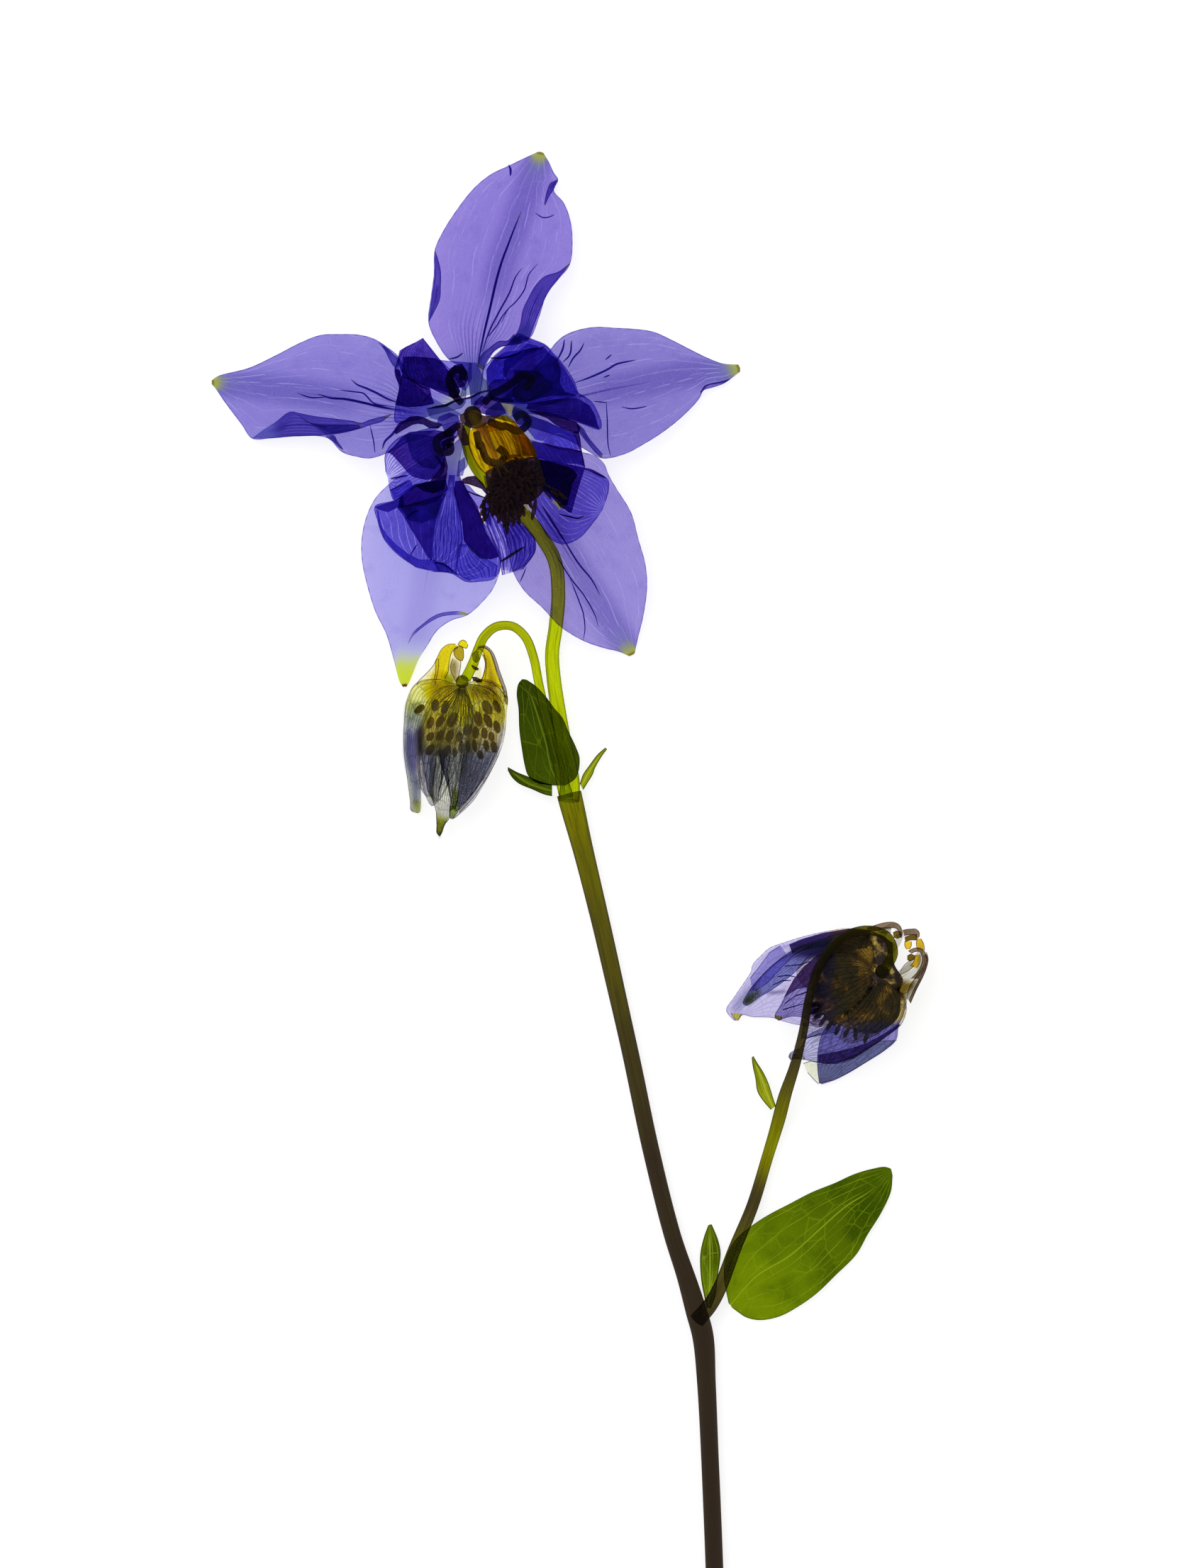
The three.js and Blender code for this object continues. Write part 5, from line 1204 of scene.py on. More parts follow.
petals = {
    "petal_upper_left": dict(spur=(132, [[-12.9, 55.7], [-13.5, 57.0], [-13.0, 58.3],
                                         [-12.0, 58.2], [-12.0, 57.2]]), lobes=[
        dict(left=[[-12.1, 53.9], [-15.0, 53.2], [-17.8, 52.4], [-19.5, 52.3], [-19.5, 54.2],
                   [-19.1, 56.2], [-19.6, 58.0], [-19.1, 59.7], [-18.6, 60.6], [-17.4, 61.2]],
             right=[[-11.6, 54.6], [-11.6, 56.4], [-12.6, 57.6], [-13.6, 58.5], [-14.4, 59.3],
                    [-15.2, 60.3], [-16.4, 61.8]],
             rib=[[-11.8, 54.2], [-14.4, 55.8], [-16.4, 58.2], [-16.9, 61.5]],
             lift=[LEVEL_1, 3.7, 3.8, 4.2])], facets=[
        (0.5, [[-12.4, 55.3], [-14.5, 55.9], [-15.7, 56.2], [-16.9, 56.7], [-18.8, 57.9],
               [-19.3, 59.2], [-19.0, 60.4], [-17.6, 61.1], [-16.5, 61.7]],
         [[-12.2, 55.8], [-13.3, 57.9], [-14.4, 59.3], [-15.2, 60.2], [-16.4, 61.7]]),
        (0.8, [[-18.8, 58.0], [-18.6, 59.7], [-17.4, 59.7], [-16.0, 59.6], [-15.0, 59.5],
               [-14.4, 59.2], [-13.3, 57.8], [-12.2, 55.9]],
         [[-18.7, 57.8], [-17.9, 57.2], [-16.9, 56.7], [-15.7, 56.2], [-14.4, 55.6], [-13.0, 55.0],
          [-12.4, 55.1]]),
        (1.0, [[-15.7, 56.2], [-16.9, 56.7], [-18.7, 57.8], [-19.0, 56.6], [-19.1, 56.0],
               [-19.4, 54.7], [-19.5, 54.3]],
         [[-15.6, 56.1], [-15.4, 55.2], [-15.1, 54.4], [-16.5, 54.1], [-18.0, 54.0],
          [-19.4, 54.2]]),
        (1.2, [[-19.6, 58.4], [-19.4, 57.3], [-19.0, 56.4]],
         [[-19.0, 58.2], [-18.7, 57.2], [-18.9, 56.4]]),
        (0.02, [[-14.4, 59.3], [-13.6, 59.2], [-12.2, 59.1], [-10.9, 59.0], [-10.9, 57.2]],
         [[-14.4, 59.2], [-13.3, 58.0], [-12.6, 57.0], [-12.2, 56.2], [-11.6, 55.8]]),
        (1.2, [[-13.4, 57.9], [-12.9, 58.7], [-12.0, 58.9], [-11.4, 58.0]],
         [[-13.2, 56.8], [-12.6, 56.1], [-11.7, 56.3], [-11.3, 57.2]]),
        (CLAW, [[-12.3, 55.1], [-12.0, 56.1], [-11.4, 57.0], [-11.3, 58.2], [-11.2, 59.0]],
         [[-9.0, 55.9], [-8.6, 56.4], [-9.6, 57.3], [-10.1, 58.4], [-10.4, 59.0]]),
        (CLAW, [[-16.0, 53.9], [-14.4, 54.1], [-13.0, 54.6], [-12.0, 54.9], [-11.0, 55.1],
                [-10.0, 55.6], [-9.0, 55.8]],
         [[-15.6, 52.8], [-14.2, 52.4], [-13.0, 53.0], [-12.0, 53.1], [-11.2, 53.5], [-10.2, 53.7],
          [-9.0, 55.0]])],
        ridges=[(1.7, 0.26, [[-15.8, 53.8], [-14.9, 54.0], [-13.8, 54.2], [-13.0, 54.6],
                             [-12.0, 54.9]]),
                (1.3, 0.22, [[-12.4, 54.8], [-11.0, 55.1], [-10.0, 55.6], [-8.8, 55.9]]),
                (1.3, 0.14, [[-18.6, 57.4], [-17.6, 57.0], [-16.6, 56.3], [-15.8, 56.0]]),
                (0.5, 0.16, [[-16.3, 54.6], [-15.9, 55.1], [-15.5, 55.6]])]),
    "petal_upper_right": dict(spur=(48, [[-8.0, 55.9], [-6.4, 56.9], [-5.2, 57.8],
                                         [-4.2, 57.2], [-5.0, 56.2]]), lobes=[
        dict(left=[[-10.1, 54.4], [-9.9, 56.6], [-9.6, 58.4], [-9.0, 59.1], [-8.4, 59.8],
                   [-7.6, 60.5], [-6.6, 61.4], [-5.7, 62.3], [-4.4, 61.8], [-2.7, 61.1], [-2.1, 60.6]],
             right=[[-9.5, 53.9], [-5.8, 53.4], [-2.2, 53.0], [0.9, 52.3], [3.5, 51.5], [3.7, 52.1],
                    [3.1, 53.8], [2.4, 54.8], [1.2, 55.5], [0.6, 57.0], [-0.6, 58.8], [-1.3, 59.7]],
             rib=[[-9.8, 54.2], [-6.2, 55.4], [-3.4, 56.8], [-1.7, 60.1]],
             lift=[LEVEL_1, 3.7, 3.8, 4.1])], facets=[
        (0.2, [[-9.2, 55.8], [-9.3, 58.2], [-8.5, 59.5], [-7.0, 60.9], [-5.6, 62.1], [-4.4, 61.7],
               [-2.8, 61.1], [-2.2, 60.6]],
         [[-8.9, 54.9], [-5.8, 54.4], [-2.0, 54.3], [1.1, 55.4], [0.4, 56.9], [-0.8, 58.8],
          [-1.4, 59.6]]),
        (0.02, [[-9.2, 57.0], [-9.2, 58.3], [-8.4, 59.4], [-7.2, 60.2], [-5.6, 60.4], [-4.6, 61.2],
                [-3.4, 60.9]],
         [[-8.8, 56.6], [-7.4, 57.0], [-6.6, 58.4], [-5.2, 59.6], [-3.6, 60.3]]),
        (0.6, [[-7.2, 59.3], [-6.0, 59.9], [-5.0, 60.3], [-3.6, 60.5], [-2.7, 60.7], [-2.2, 60.0],
               [-1.3, 59.4], [-0.9, 58.2], [-1.0, 56.6], [-0.4, 55.7], [0.8, 55.4]],
         [[-7.3, 59.0], [-7.4, 57.8], [-7.0, 57.0], [-6.2, 57.0], [-6.2, 55.4], [-5.2, 54.5],
          [-3.8, 54.9], [-2.0, 55.3], [0.7, 55.3]]),
        (0.55, [[-6.3, 58.2], [-4.9, 58.2], [-3.4, 58.0], [-2.8, 57.3], [-1.8, 56.8], [-1.9, 56.1]],
         [[-6.1, 57.4], [-5.6, 56.6], [-6.4, 55.6], [-6.0, 54.7], [-5.0, 54.5], [-4.2, 54.8],
          [-3.0, 55.3], [-2.0, 56.0]]),
        (0.6, [[-8.9, 55.2], [-9.1, 56.4], [-8.4, 57.1], [-7.2, 57.2], [-6.1, 56.9]],
         [[-8.8, 54.9], [-7.6, 54.8], [-6.8, 54.8], [-6.2, 55.2], [-6.1, 56.2]]),
        (1.0, [[-8.9, 55.3], [-7.6, 55.0], [-6.2, 54.9]], [[-8.8, 54.8], [-7.6, 54.5], [-6.2, 54.5]]),
        (0.75, [[-4.6, 54.4], [-1.6, 54.9], [1.0, 55.0], [2.3, 54.2], [2.9, 53.2], [3.2, 52.2],
                [3.4, 51.6]],
         [[-4.8, 53.8], [-2.0, 53.3], [0.9, 52.4], [2.3, 51.9], [3.4, 51.5]]),
        (1.3, [[-4.6, 53.7], [-3.2, 53.5], [-1.9, 53.3], [-0.6, 52.9], [0.9, 52.3], [1.3, 51.6]],
         [[-4.4, 53.5], [-2.4, 52.7], [-1.4, 51.9], [-0.2, 51.4], [0.5, 51.1], [1.1, 51.0]]),
        (0.6, [[-10.6, 54.6], [-9.8, 55.3], [-8.8, 55.0], [-7.8, 54.6], [-7.5, 54.2]],
         [[-10.8, 53.9], [-9.8, 53.3], [-8.8, 53.0], [-7.6, 53.1], [-7.0, 53.3]])],
        ridges=[(1.5, 0.2, [[-8.9, 59.5], [-7.4, 59.5], [-6.0, 59.9], [-5.0, 60.4]]),
                (1.3, 0.2, [[-5.2, 60.3], [-4.2, 60.5], [-3.2, 60.6], [-2.7, 60.8]])]),
    "petal_lower_right": dict(spur=(340, [[-7.1, 52.0], [-5.6, 51.5], [-4.6, 52.5],
                                          [-5.3, 53.4], [-6.2, 52.9]]), lobes=[
        dict(left=[[-6.4, 54.0], [-5.4, 53.6], [-4.0, 53.0], [-1.4, 51.9], [0.5, 51.1], [1.2, 49.6],
                   [1.6, 48.2], [1.9, 47.1], [3.2, 46.6], [4.4, 45.9], [4.5, 44.8], [4.2, 43.6]],
             right=[[-6.4, 53.4], [-5.6, 51.6], [-4.6, 50.0], [-3.9, 48.0], [-3.9, 45.0],
                    [-3.9, 42.4], [-3.1, 40.6], [-2.1, 39.2], [-0.6, 38.6], [1.2, 39.3], [3.2, 41.6]],
             rib=[[-6.4, 53.7], [-3.8, 50.6], [-1.8, 47.4], [0.6, 44.8], [3.8, 42.5]],
             lift=[LEVEL_1, 3.8, 3.9, 4.0])], facets=[
        (0.1, [[-5.3, 53.2], [-3.9, 52.9], [-2.5, 52.5], [-1.2, 51.8], [0.2, 51.2], [0.7, 50.8]],
         [[-5.2, 52.6], [-4.6, 51.4], [-3.8, 50.4], [-2.9, 50.2], [-2.1, 50.9], [-1.2, 51.1],
          [0.0, 50.9], [0.7, 50.7]]),
        (0.55, [[-4.2, 50.2], [-2.9, 50.0], [-1.5, 49.5], [0.3, 49.2], [1.4, 49.1]],
         [[-3.8, 48.4], [-2.5, 48.0], [-0.5, 47.7], [1.0, 47.6], [1.7, 47.4]]),
        (0.85, [[-3.9, 48.4], [-3.8, 46.5], [-2.9, 44.6], [-2.0, 43.9], [-0.9, 43.0], [-0.1, 42.2]],
         [[-3.0, 48.1], [-0.5, 47.7], [1.8, 47.2], [1.5, 46.2], [1.1, 45.0], [0.7, 43.6],
          [0.3, 42.1]]),
        (1.45, [[-3.8, 48.2], [-3.6, 46.0], [-2.7, 44.7], [-1.6, 43.9], [-0.6, 43.0]],
         [[-2.2, 47.9], [0.2, 47.2], [1.0, 46.4], [0.4, 45.4], [0.1, 44.2], [-0.2, 42.9]]),
        (1.0, [[0.4, 51.2], [0.8, 50.5], [0.95, 49.9], [1.3, 49.2], [1.5, 48.2], [1.6, 47.4]],
         [[1.1, 51.3], [1.3, 50.4], [1.45, 49.1], [1.7, 48.0], [1.85, 47.2]]),
        (0.02, [[-2.9, 50.1], [-2.1, 50.9], [-1.2, 51.0], [0.0, 50.9], [0.7, 50.7]],
         [[-2.2, 49.8], [-1.4, 49.5], [0.2, 49.3], [1.3, 49.2]]),
        (CLAW, [[-6.2, 54.1], [-5.4, 53.8], [-4.9, 53.0], [-4.6, 51.8]],
         [[-6.4, 53.4], [-6.0, 52.4], [-5.4, 51.6], [-4.9, 51.2]])],
        ridges=[(1.2, 0.2, [[-3.0, 42.9], [-1.8, 41.0], [-0.5, 38.9]]),
                (1.7, 0.14, [[-1.2, 42.0], [0.0, 41.7], [1.1, 41.5], [1.7, 41.8]]),
                (1.1, 0.2, [[-3.0, 50.0], [-1.5, 49.5], [0.3, 49.2], [1.5, 49.0]]),
                (0.9, 0.3, [[1.6, 47.1], [2.4, 46.9], [3.4, 46.4], [4.2, 46.0]])]),
    "petal_lower_left": dict(spur=(282, [[-9.9, 49.9], [-9.2, 48.2], [-7.8, 47.9],
                                         [-7.2, 48.9], [-8.0, 49.6]]), lobes=[
        dict(left=[[-11.8, 50.6], [-11.5, 48.8], [-11.4, 47.4], [-12.4, 46.4], [-11.9, 45.4],
                   [-10.6, 43.2], [-9.8, 41.6], [-8.7, 39.2], [-7.6, 36.9], [-8.3, 34.8],
                   [-10.0, 34.4], [-11.6, 34.4], [-13.2, 35.3], [-15.2, 35.5]],
             right=[[-12.2, 50.6], [-13.4, 49.5], [-13.9, 48.4], [-13.7, 46.6], [-15.0, 45.8],
                    [-17.6, 45.1], [-19.6, 43.6], [-21.8, 42.9], [-21.5, 41.2], [-20.8, 39.2],
                    [-19.2, 37.4], [-17.2, 36.0]],
             rib=[[-12.0, 50.6], [-12.8, 47.8], [-13.2, 45.2], [-14.0, 41.6], [-14.8, 38.4],
                  [-16.0, 35.7]],
             lift=[LEVEL_1, 3.65, 3.75, 4.0]),
        dict(left=[[-8.0, 45.6], [-7.3, 43.6], [-7.1, 41.6], [-5.5, 40.9], [-3.9, 39.4],
                   [-3.7, 38.0], [-4.7, 36.4], [-6.2, 35.5]],
             right=[[-9.6, 46.4], [-9.3, 44.6], [-9.4, 43.0], [-9.6, 41.6], [-8.8, 39.6],
                    [-7.7, 37.3], [-7.4, 35.7]],
             rib=[[-8.8, 46.0], [-8.3, 44.4], [-8.1, 42.6], [-7.0, 39.0], [-6.8, 35.6]],
             lift=[LEVEL_1, 4.5, 4.8, LEVEL_2])], facets=[
        (0.02, [[-21.6, 42.5], [-21.4, 41.0], [-20.8, 39.3], [-19.6, 37.9], [-18.4, 36.9],
                [-16.9, 35.9], [-15.0, 35.6], [-13.0, 35.4], [-12.3, 35.0]],
         [[-21.4, 42.4], [-21.1, 40.7], [-20.4, 39.6], [-19.3, 38.5], [-18.0, 37.5], [-16.8, 36.9],
          [-15.2, 36.9], [-13.6, 36.2], [-12.4, 35.2]]),
        (0.62, [[-19.3, 42.7], [-18.7, 42.0], [-17.8, 40.4], [-16.8, 38.8], [-15.9, 37.2],
                [-15.5, 36.8]],
         [[-13.7, 44.4], [-14.4, 43.2], [-15.1, 41.2], [-15.4, 39.2], [-15.4, 37.4],
          [-15.3, 36.8]]),
        (VEINED + 0.4, [[-13.5, 46.4], [-13.6, 45.2], [-14.3, 43.4], [-15.1, 41.2], [-15.4, 39.2],
                        [-15.4, 37.4], [-15.1, 36.4], [-14.6, 35.6]],
         [[-12.8, 46.4], [-12.9, 45.2], [-12.5, 43.2], [-12.1, 41.2], [-11.9, 39.2], [-12.2, 37.6],
          [-12.6, 36.2], [-12.6, 35.2]]),
        (1.0, [[-12.8, 45.7], [-12.9, 44.4], [-12.4, 42.5], [-12.0, 41.0], [-11.8, 39.0],
               [-11.0, 37.9], [-10.0, 37.0]],
         [[-12.0, 45.8], [-11.0, 44.0], [-10.2, 42.8], [-9.8, 41.5], [-9.3, 40.0], [-8.5, 38.6],
          [-7.8, 37.2], [-8.8, 36.9]]),
        (0.5, [[-21.8, 42.8], [-20.6, 43.2], [-19.5, 43.5], [-18.6, 44.2]],
         [[-21.4, 42.5], [-20.3, 42.2], [-19.3, 42.7], [-18.5, 42.8]]),
        (1.0, [[-19.0, 43.8], [-18.0, 44.6], [-17.4, 45.3], [-15.6, 45.6], [-13.8, 45.9]],
         [[-19.2, 42.7], [-18.4, 42.8], [-16.0, 43.0], [-14.6, 43.6], [-13.6, 44.8]]),
        (1.3, [[-17.4, 45.3], [-15.6, 45.7], [-14.4, 47.2], [-14.0, 48.6], [-13.8, 48.2]],
         [[-16.4, 44.6], [-15.2, 44.3], [-14.0, 44.8], [-13.7, 46.2], [-13.6, 47.4]]),
        (0.4, [[-18.9, 42.7], [-18.0, 41.3], [-16.4, 41.0], [-14.9, 41.6]],
         [[-18.4, 43.0], [-16.4, 43.2], [-15.0, 43.4], [-14.1, 43.8]]),
        (1.8, [[-12.0, 45.9], [-11.4, 46.2], [-10.5, 46.3], [-9.6, 45.4], [-9.0, 44.3]],
         [[-11.9, 45.4], [-11.2, 45.3], [-10.6, 45.1], [-9.8, 44.8], [-9.2, 44.1]]),
        (CLAW, [[-12.4, 47.9], [-12.5, 47.0], [-12.6, 46.2]],
         [[-11.7, 48.4], [-11.6, 47.4], [-11.9, 46.3]]),
        (0.02, [[-11.9, 45.4], [-11.2, 45.2], [-10.5, 44.4], [-9.6, 43.9], [-8.6, 43.8]],
         [[-12.0, 44.6], [-10.9, 43.6], [-10.1, 42.6], [-9.6, 41.4], [-8.8, 40.6]]),
        (VEINED + 0.45, [[-9.6, 42.8], [-9.2, 40.6], [-8.4, 38.4], [-7.8, 36.9], [-7.5, 35.1]],
         [[-6.9, 42.0], [-5.2, 41.0], [-3.8, 39.3], [-3.8, 37.6], [-5.1, 35.8]]),
        (VEINED + 0.02, [[-12.4, 38.6], [-12.6, 37.2], [-12.6, 36.0], [-12.2, 35.0], [-11.2, 34.5]],
         [[-11.2, 38.6], [-10.2, 37.6], [-9.0, 36.8], [-8.0, 36.2], [-8.2, 35.0]])],
        ridges=[(1.8, 0.14, [[-11.7, 44.7], [-10.6, 44.2], [-9.3, 43.8]]),
                (1.8, 0.30, [[-7.7, 36.6], [-6.6, 37.3], [-5.0, 38.3]]),
                (0.9, 0.2, [[-15.2, 36.5], [-14.2, 36.4], [-13.4, 35.9], [-12.9, 35.4]]),
                (1.0, 0.12, [[-17.8, 37.3], [-17.4, 38.0], [-17.0, 38.6]]),
                (1.3, 0.12, [[-18.4, 41.4], [-17.4, 42.2], [-16.8, 42.4]])]),
    "petal_left": dict(spur=(214, [[-13.4, 51.3], [-14.9, 50.5], [-14.6, 49.2],
                                   [-13.4, 49.2], [-13.4, 50.1]]), lobes=[
        dict(left=[[-12.2, 52.1], [-13.4, 49.8], [-14.2, 47.4], [-15.6, 45.8], [-17.6, 44.8],
                   [-19.6, 43.5], [-20.2, 45.0]],
             right=[[-12.0, 52.6], [-14.6, 51.9], [-17.0, 51.3], [-19.2, 50.5], [-20.6, 48.8],
                    [-20.6, 46.8]],
             rib=[[-12.1, 52.4], [-16.2, 48.6], [-20.3, 46.0]],
             lift=[4.2, LEVEL_2, 4.7, 4.9])], facets=[
        (0.7, [[-20.4, 48.9], [-19.6, 49.6], [-18.9, 50.5], [-17.9, 51.2], [-16.4, 51.3],
               [-15.0, 51.4], [-13.4, 51.2], [-12.6, 50.6]],
         [[-19.9, 48.7], [-18.9, 47.6], [-18.0, 46.5], [-17.4, 46.1], [-16.0, 45.8], [-14.4, 46.0],
          [-13.8, 47.4], [-14.2, 48.8], [-13.9, 49.6], [-12.9, 50.3]]),
        (1.35, [[-19.6, 51.2], [-18.8, 52.2], [-17.9, 52.9], [-17.0, 53.0], [-16.2, 52.8],
                [-15.4, 52.4], [-14.2, 52.1]],
         [[-19.4, 50.9], [-18.4, 51.5], [-17.5, 52.0], [-16.9, 52.1], [-16.3, 52.0], [-15.7, 51.6],
          [-14.6, 51.6]]),
        (0.1, [[-20.0, 44.7], [-19.0, 45.1], [-17.8, 45.8]],
         [[-19.6, 43.6], [-18.6, 44.2], [-17.4, 45.0]]),
        (0.35, [[-14.6, 52.9], [-13.4, 53.4], [-12.4, 53.0], [-12.2, 52.0], [-12.5, 50.6]],
         [[-14.8, 52.2], [-14.2, 51.8], [-13.8, 50.8], [-13.2, 50.4]]),
        (1.55, [[-14.2, 49.2], [-14.3, 50.1], [-13.6, 50.5], [-12.9, 50.5]],
         [[-13.9, 49.2], [-13.4, 49.4], [-13.0, 49.8], [-12.8, 50.3]]),
        (0.3, [[-18.4, 50.9], [-16.6, 50.9], [-14.6, 50.6], [-14.0, 49.8]],
         [[-17.6, 48.2], [-16.4, 47.2], [-15.0, 47.0], [-14.2, 48.0]])],
        ridges=[(1.2, 0.18, [[-20.0, 45.9], [-19.0, 46.1], [-18.0, 46.3]]),
                (1.1, 0.12, [[-20.1, 44.6], [-19.0, 45.1], [-17.9, 45.8]]),
                (1.2, 0.2, [[-15.0, 48.6], [-14.6, 48.1], [-14.2, 47.2]])]),
}
for name, shape in petals.items():
    hosts = [blade(rows=100, columns=44, **lobe) for lobe in shape["lobes"]]
    shells = [film(*host) for host in hosts]
    for place, (tone, left, right) in enumerate(shape["facets"]):
        facet = strip(left, right, [0], columns=14, fold=tone, straight=True)
        shells.append(film(*lie_on(facet, hosts[0], FACET_GAP + FACET_STEP * place), half=FACET_HALF))
    for tone, width, points in shape["ridges"]:
        ridge = crease(points, width, fold=tone)
        shells.append(film(*lie_on(ridge, hosts[0], RIDGE_GAP), half=RIDGE_HALF))
    shells.append(spur(*shape["spur"]))
    piece("film_" + name, shells, petal_indigo, "petal_indigo", name)

# %% [markdown]
# ## Stamens and pistil
# Filaments run from the receptacle to an oval field of anthers. Where they lie side by
# side they make an amber fan, drawn as three fibrous films with threads over them. The
# anthers are a dense dark mass with a spiky fringe.

# %% Stamens
ANTHER_FIELD = np.array([-6.6, 44.4])
GOLDEN_TURN = np.pi * (3 - np.sqrt(5))
KNOT_RADIUS, FILAMENT_RADIUS = 0.14, 0.09
stamen_rng = np.random.default_rng(7)


def sunflower(number):
    """Seed k of a disk that is filled evenly: sqrt((k + 1/2) / number) of its radius out
    from the middle, and k golden turns round it."""
    k = np.arange(number)
    return np.sqrt((k + 0.5) / number), k * GOLDEN_TURN


def fan(outline_left, outline_right, level, rows=50, columns=24, rough=0.05):
    """A film between two outlines, all at one level."""
    return film(*strip(outline_left, outline_right, [level], rows=rows, columns=columns,
                       fold=0.0, rough=rough), half=THIN)


def threads(starts, ends, sag, radius):
    """Slim tubes from starts to ends that pass by the middle between them plus sag."""
    shells = []
    for start, end, low in zip(starts, ends, sag):
        middle = (start + end) / 2 + low
        shells.append(tube([start, middle, end], [radius, radius, radius * 0.8], count=9, sides=5))
    return shells


count = 84
share, turn = sunflower(count)
field = np.stack([
    ANTHER_FIELD[0] + 0.3 + 2.7 * share * np.cos(turn) + 0.9 * share * np.sin(turn),
    ANTHER_FIELD[1] + 0.5 + 3.0 * share * np.sin(turn),
    7.4 - 0.5 * share**2 + stamen_rng.uniform(0, 0.3, count)], axis=-1)
aims = np.stack([np.cos(turn) * share + stamen_rng.normal(0, 0.4, count),
                 np.sin(turn) * share - 0.5 + stamen_rng.normal(0, 0.4, count),
                 stamen_rng.normal(0, 0.08, count)], axis=-1)
fringe = np.array([
    [-9.6, 43.0, 6.9], [-9.7, 42.1, 6.9], [-9.5, 41.4, 6.9], [-8.6, 42.6, 6.9], [-8.3, 42.2, 6.9],
    [-7.8, 41.4, 6.9], [-7.2, 41.0, 6.9], [-6.9, 40.5, 6.9], [-6.2, 41.1, 6.9], [-5.6, 41.2, 6.9],
    [-5.1, 42.2, 6.9], [-4.3, 43.0, 6.9], [-1.2, 43.2, 6.9], [-0.7, 43.9, 6.9], [-1.6, 44.2, 6.9],
    [-0.9, 42.9, 6.9]])
fringe_aims = np.hstack([fringe[:, :2] - ANTHER_FIELD - [0.6, 3.0], np.zeros((len(fringe), 1))])
sizes = np.stack([stamen_rng.uniform(0.50, 0.80, count), stamen_rng.uniform(0.24, 0.34, count),
                  np.full(count, 0.22)], axis=-1)
dark_shells = [
    beads(field, aims, sizes, sides=10, rings=6),
    beads(fringe, fringe_aims, (0.62, 0.23, 0.2), sides=10, rings=6),
    beads([[-9.5, 42.3, 6.8], [-8.6, 42.7, 6.8], [-7.0, 40.8, 6.8], [-3.9, 42.4, 6.8]],
          [[0.1, -1, 0], [0.05, -1, 0], [0.1, -1, 0], [-0.2, -1, 0]], (1.25, 0.26, 0.2),
          sides=12, rings=8),
    fan([[-8.9, 46.9], [-9.3, 46.6], [-9.2, 45.4], [-9.0, 44.2], [-9.2, 43.2], [-8.5, 42.2],
         [-7.9, 41.3], [-7.2, 40.8]],
        [[-4.4, 48.3], [-3.5, 48.2], [-2.9, 46.6], [-2.6, 45.0], [-3.4, 43.8], [-4.8, 42.8],
         [-5.4, 41.5], [-6.2, 41.0]], 7.05),
    fan([[-8.4, 47.4], [-8.8, 45.6], [-8.6, 43.6], [-7.8, 42.2]],
        [[-5.2, 48.2], [-3.6, 46.6], [-3.6, 44.6], [-5.0, 43.0]], 6.85),
    fan([[-12.2, 53.0], [-12.1, 52.3], [-11.2, 51.6], [-10.0, 51.5], [-9.0, 52.1], [-7.8, 52.8]],
        [[-12.0, 53.1], [-11.1, 53.5], [-10.2, 53.2], [-9.4, 52.9], [-8.5, 52.9], [-7.4, 53.1]], 7.1),
    fan([[-12.3, 52.2], [-12.5, 51.2], [-12.3, 50.4], [-11.9, 49.6]],
        [[-11.9, 52.2], [-11.5, 51.2], [-11.2, 50.4], [-11.1, 49.6]], 6.6),
]
knots = threads(
    np.array([[-7.5, 46.5, 7.1], [-6.0, 46.5, 7.1], [-4.5, 46.8, 7.1], [-8.4, 45.0, 7.1],
              [-6.6, 43.5, 7.0], [-5.0, 44.0, 7.0], [-3.4, 45.6, 7.0], [-7.8, 43.6, 7.0]]),
    np.array([[-9.2, 41.4, 6.9], [-7.4, 41.0, 6.9], [-2.0, 43.6, 6.9], [-9.6, 43.0, 6.8],
              [-6.8, 40.4, 6.9], [-4.2, 42.6, 6.9], [-0.8, 44.2, 6.8], [-9.6, 42.0, 6.9]]),
    np.zeros((8, 3)), KNOT_RADIUS)
piece("flower_anthers", dark_shells + knots, anther_black, "anther_brown", "stamens")

amber_right = [[-6.2, 52.4], [-5.4, 51.4], [-4.5, 50.4], [-3.8, 49.2], [-3.5, 48.4]]
amber_shells = [
    fan([[-9.6, 51.9], [-10.8, 51.5], [-11.4, 50.7], [-11.25, 49.5], [-10.75, 48.2], [-10.1, 47.1],
         [-9.2, 46.3]], [[-9.0, 52.2], [-7.3, 53.0], *amber_right], 6.75, rows=70, columns=40),
    fan([[-6.4, 52.4], [-6.5, 51.0], [-6.1, 49.6], [-5.8, 48.4]], amber_right, 7.0),
    fan([[-6.0, 52.0], [-5.7, 50.8], [-5.4, 49.6], [-5.1, 48.5]], amber_right, 7.05),
    fan([[-5.9, 52.0], [-5.3, 50.8], [-5.0, 49.6], [-4.7, 48.5]], amber_right, 7.1),
    fan([[-8.2, 47.9], [-7.0, 48.5], [-5.4, 48.6]], [[-8.0, 46.6], [-6.6, 47.0], [-5.2, 47.4]], 6.95),
    fan([[-9.6, 51.8], [-8.6, 51.9], [-7.6, 51.4]], [[-10.4, 51.3], [-9.6, 51.0], [-8.4, 51.2]], 6.95),
]
number = 15
spread = np.linspace(-1, 1, number)
starts = np.stack([-8.6 + 1.6 * spread, 52.2 - 0.4 * spread**2, 6.9 + 0.1 * np.sin(7 * spread)], axis=-1)
ends = np.stack([-6.3 + 2.6 * spread + stamen_rng.normal(0, 0.25, number),
                 47.6 + 0.8 * spread + stamen_rng.normal(0, 0.6, number),
                 7.15 + 0.1 * np.cos(9 * spread)], axis=-1)
bend = np.stack([0.5 * spread, 0.5 + 0 * spread, 0.15 + 0 * spread], axis=-1)
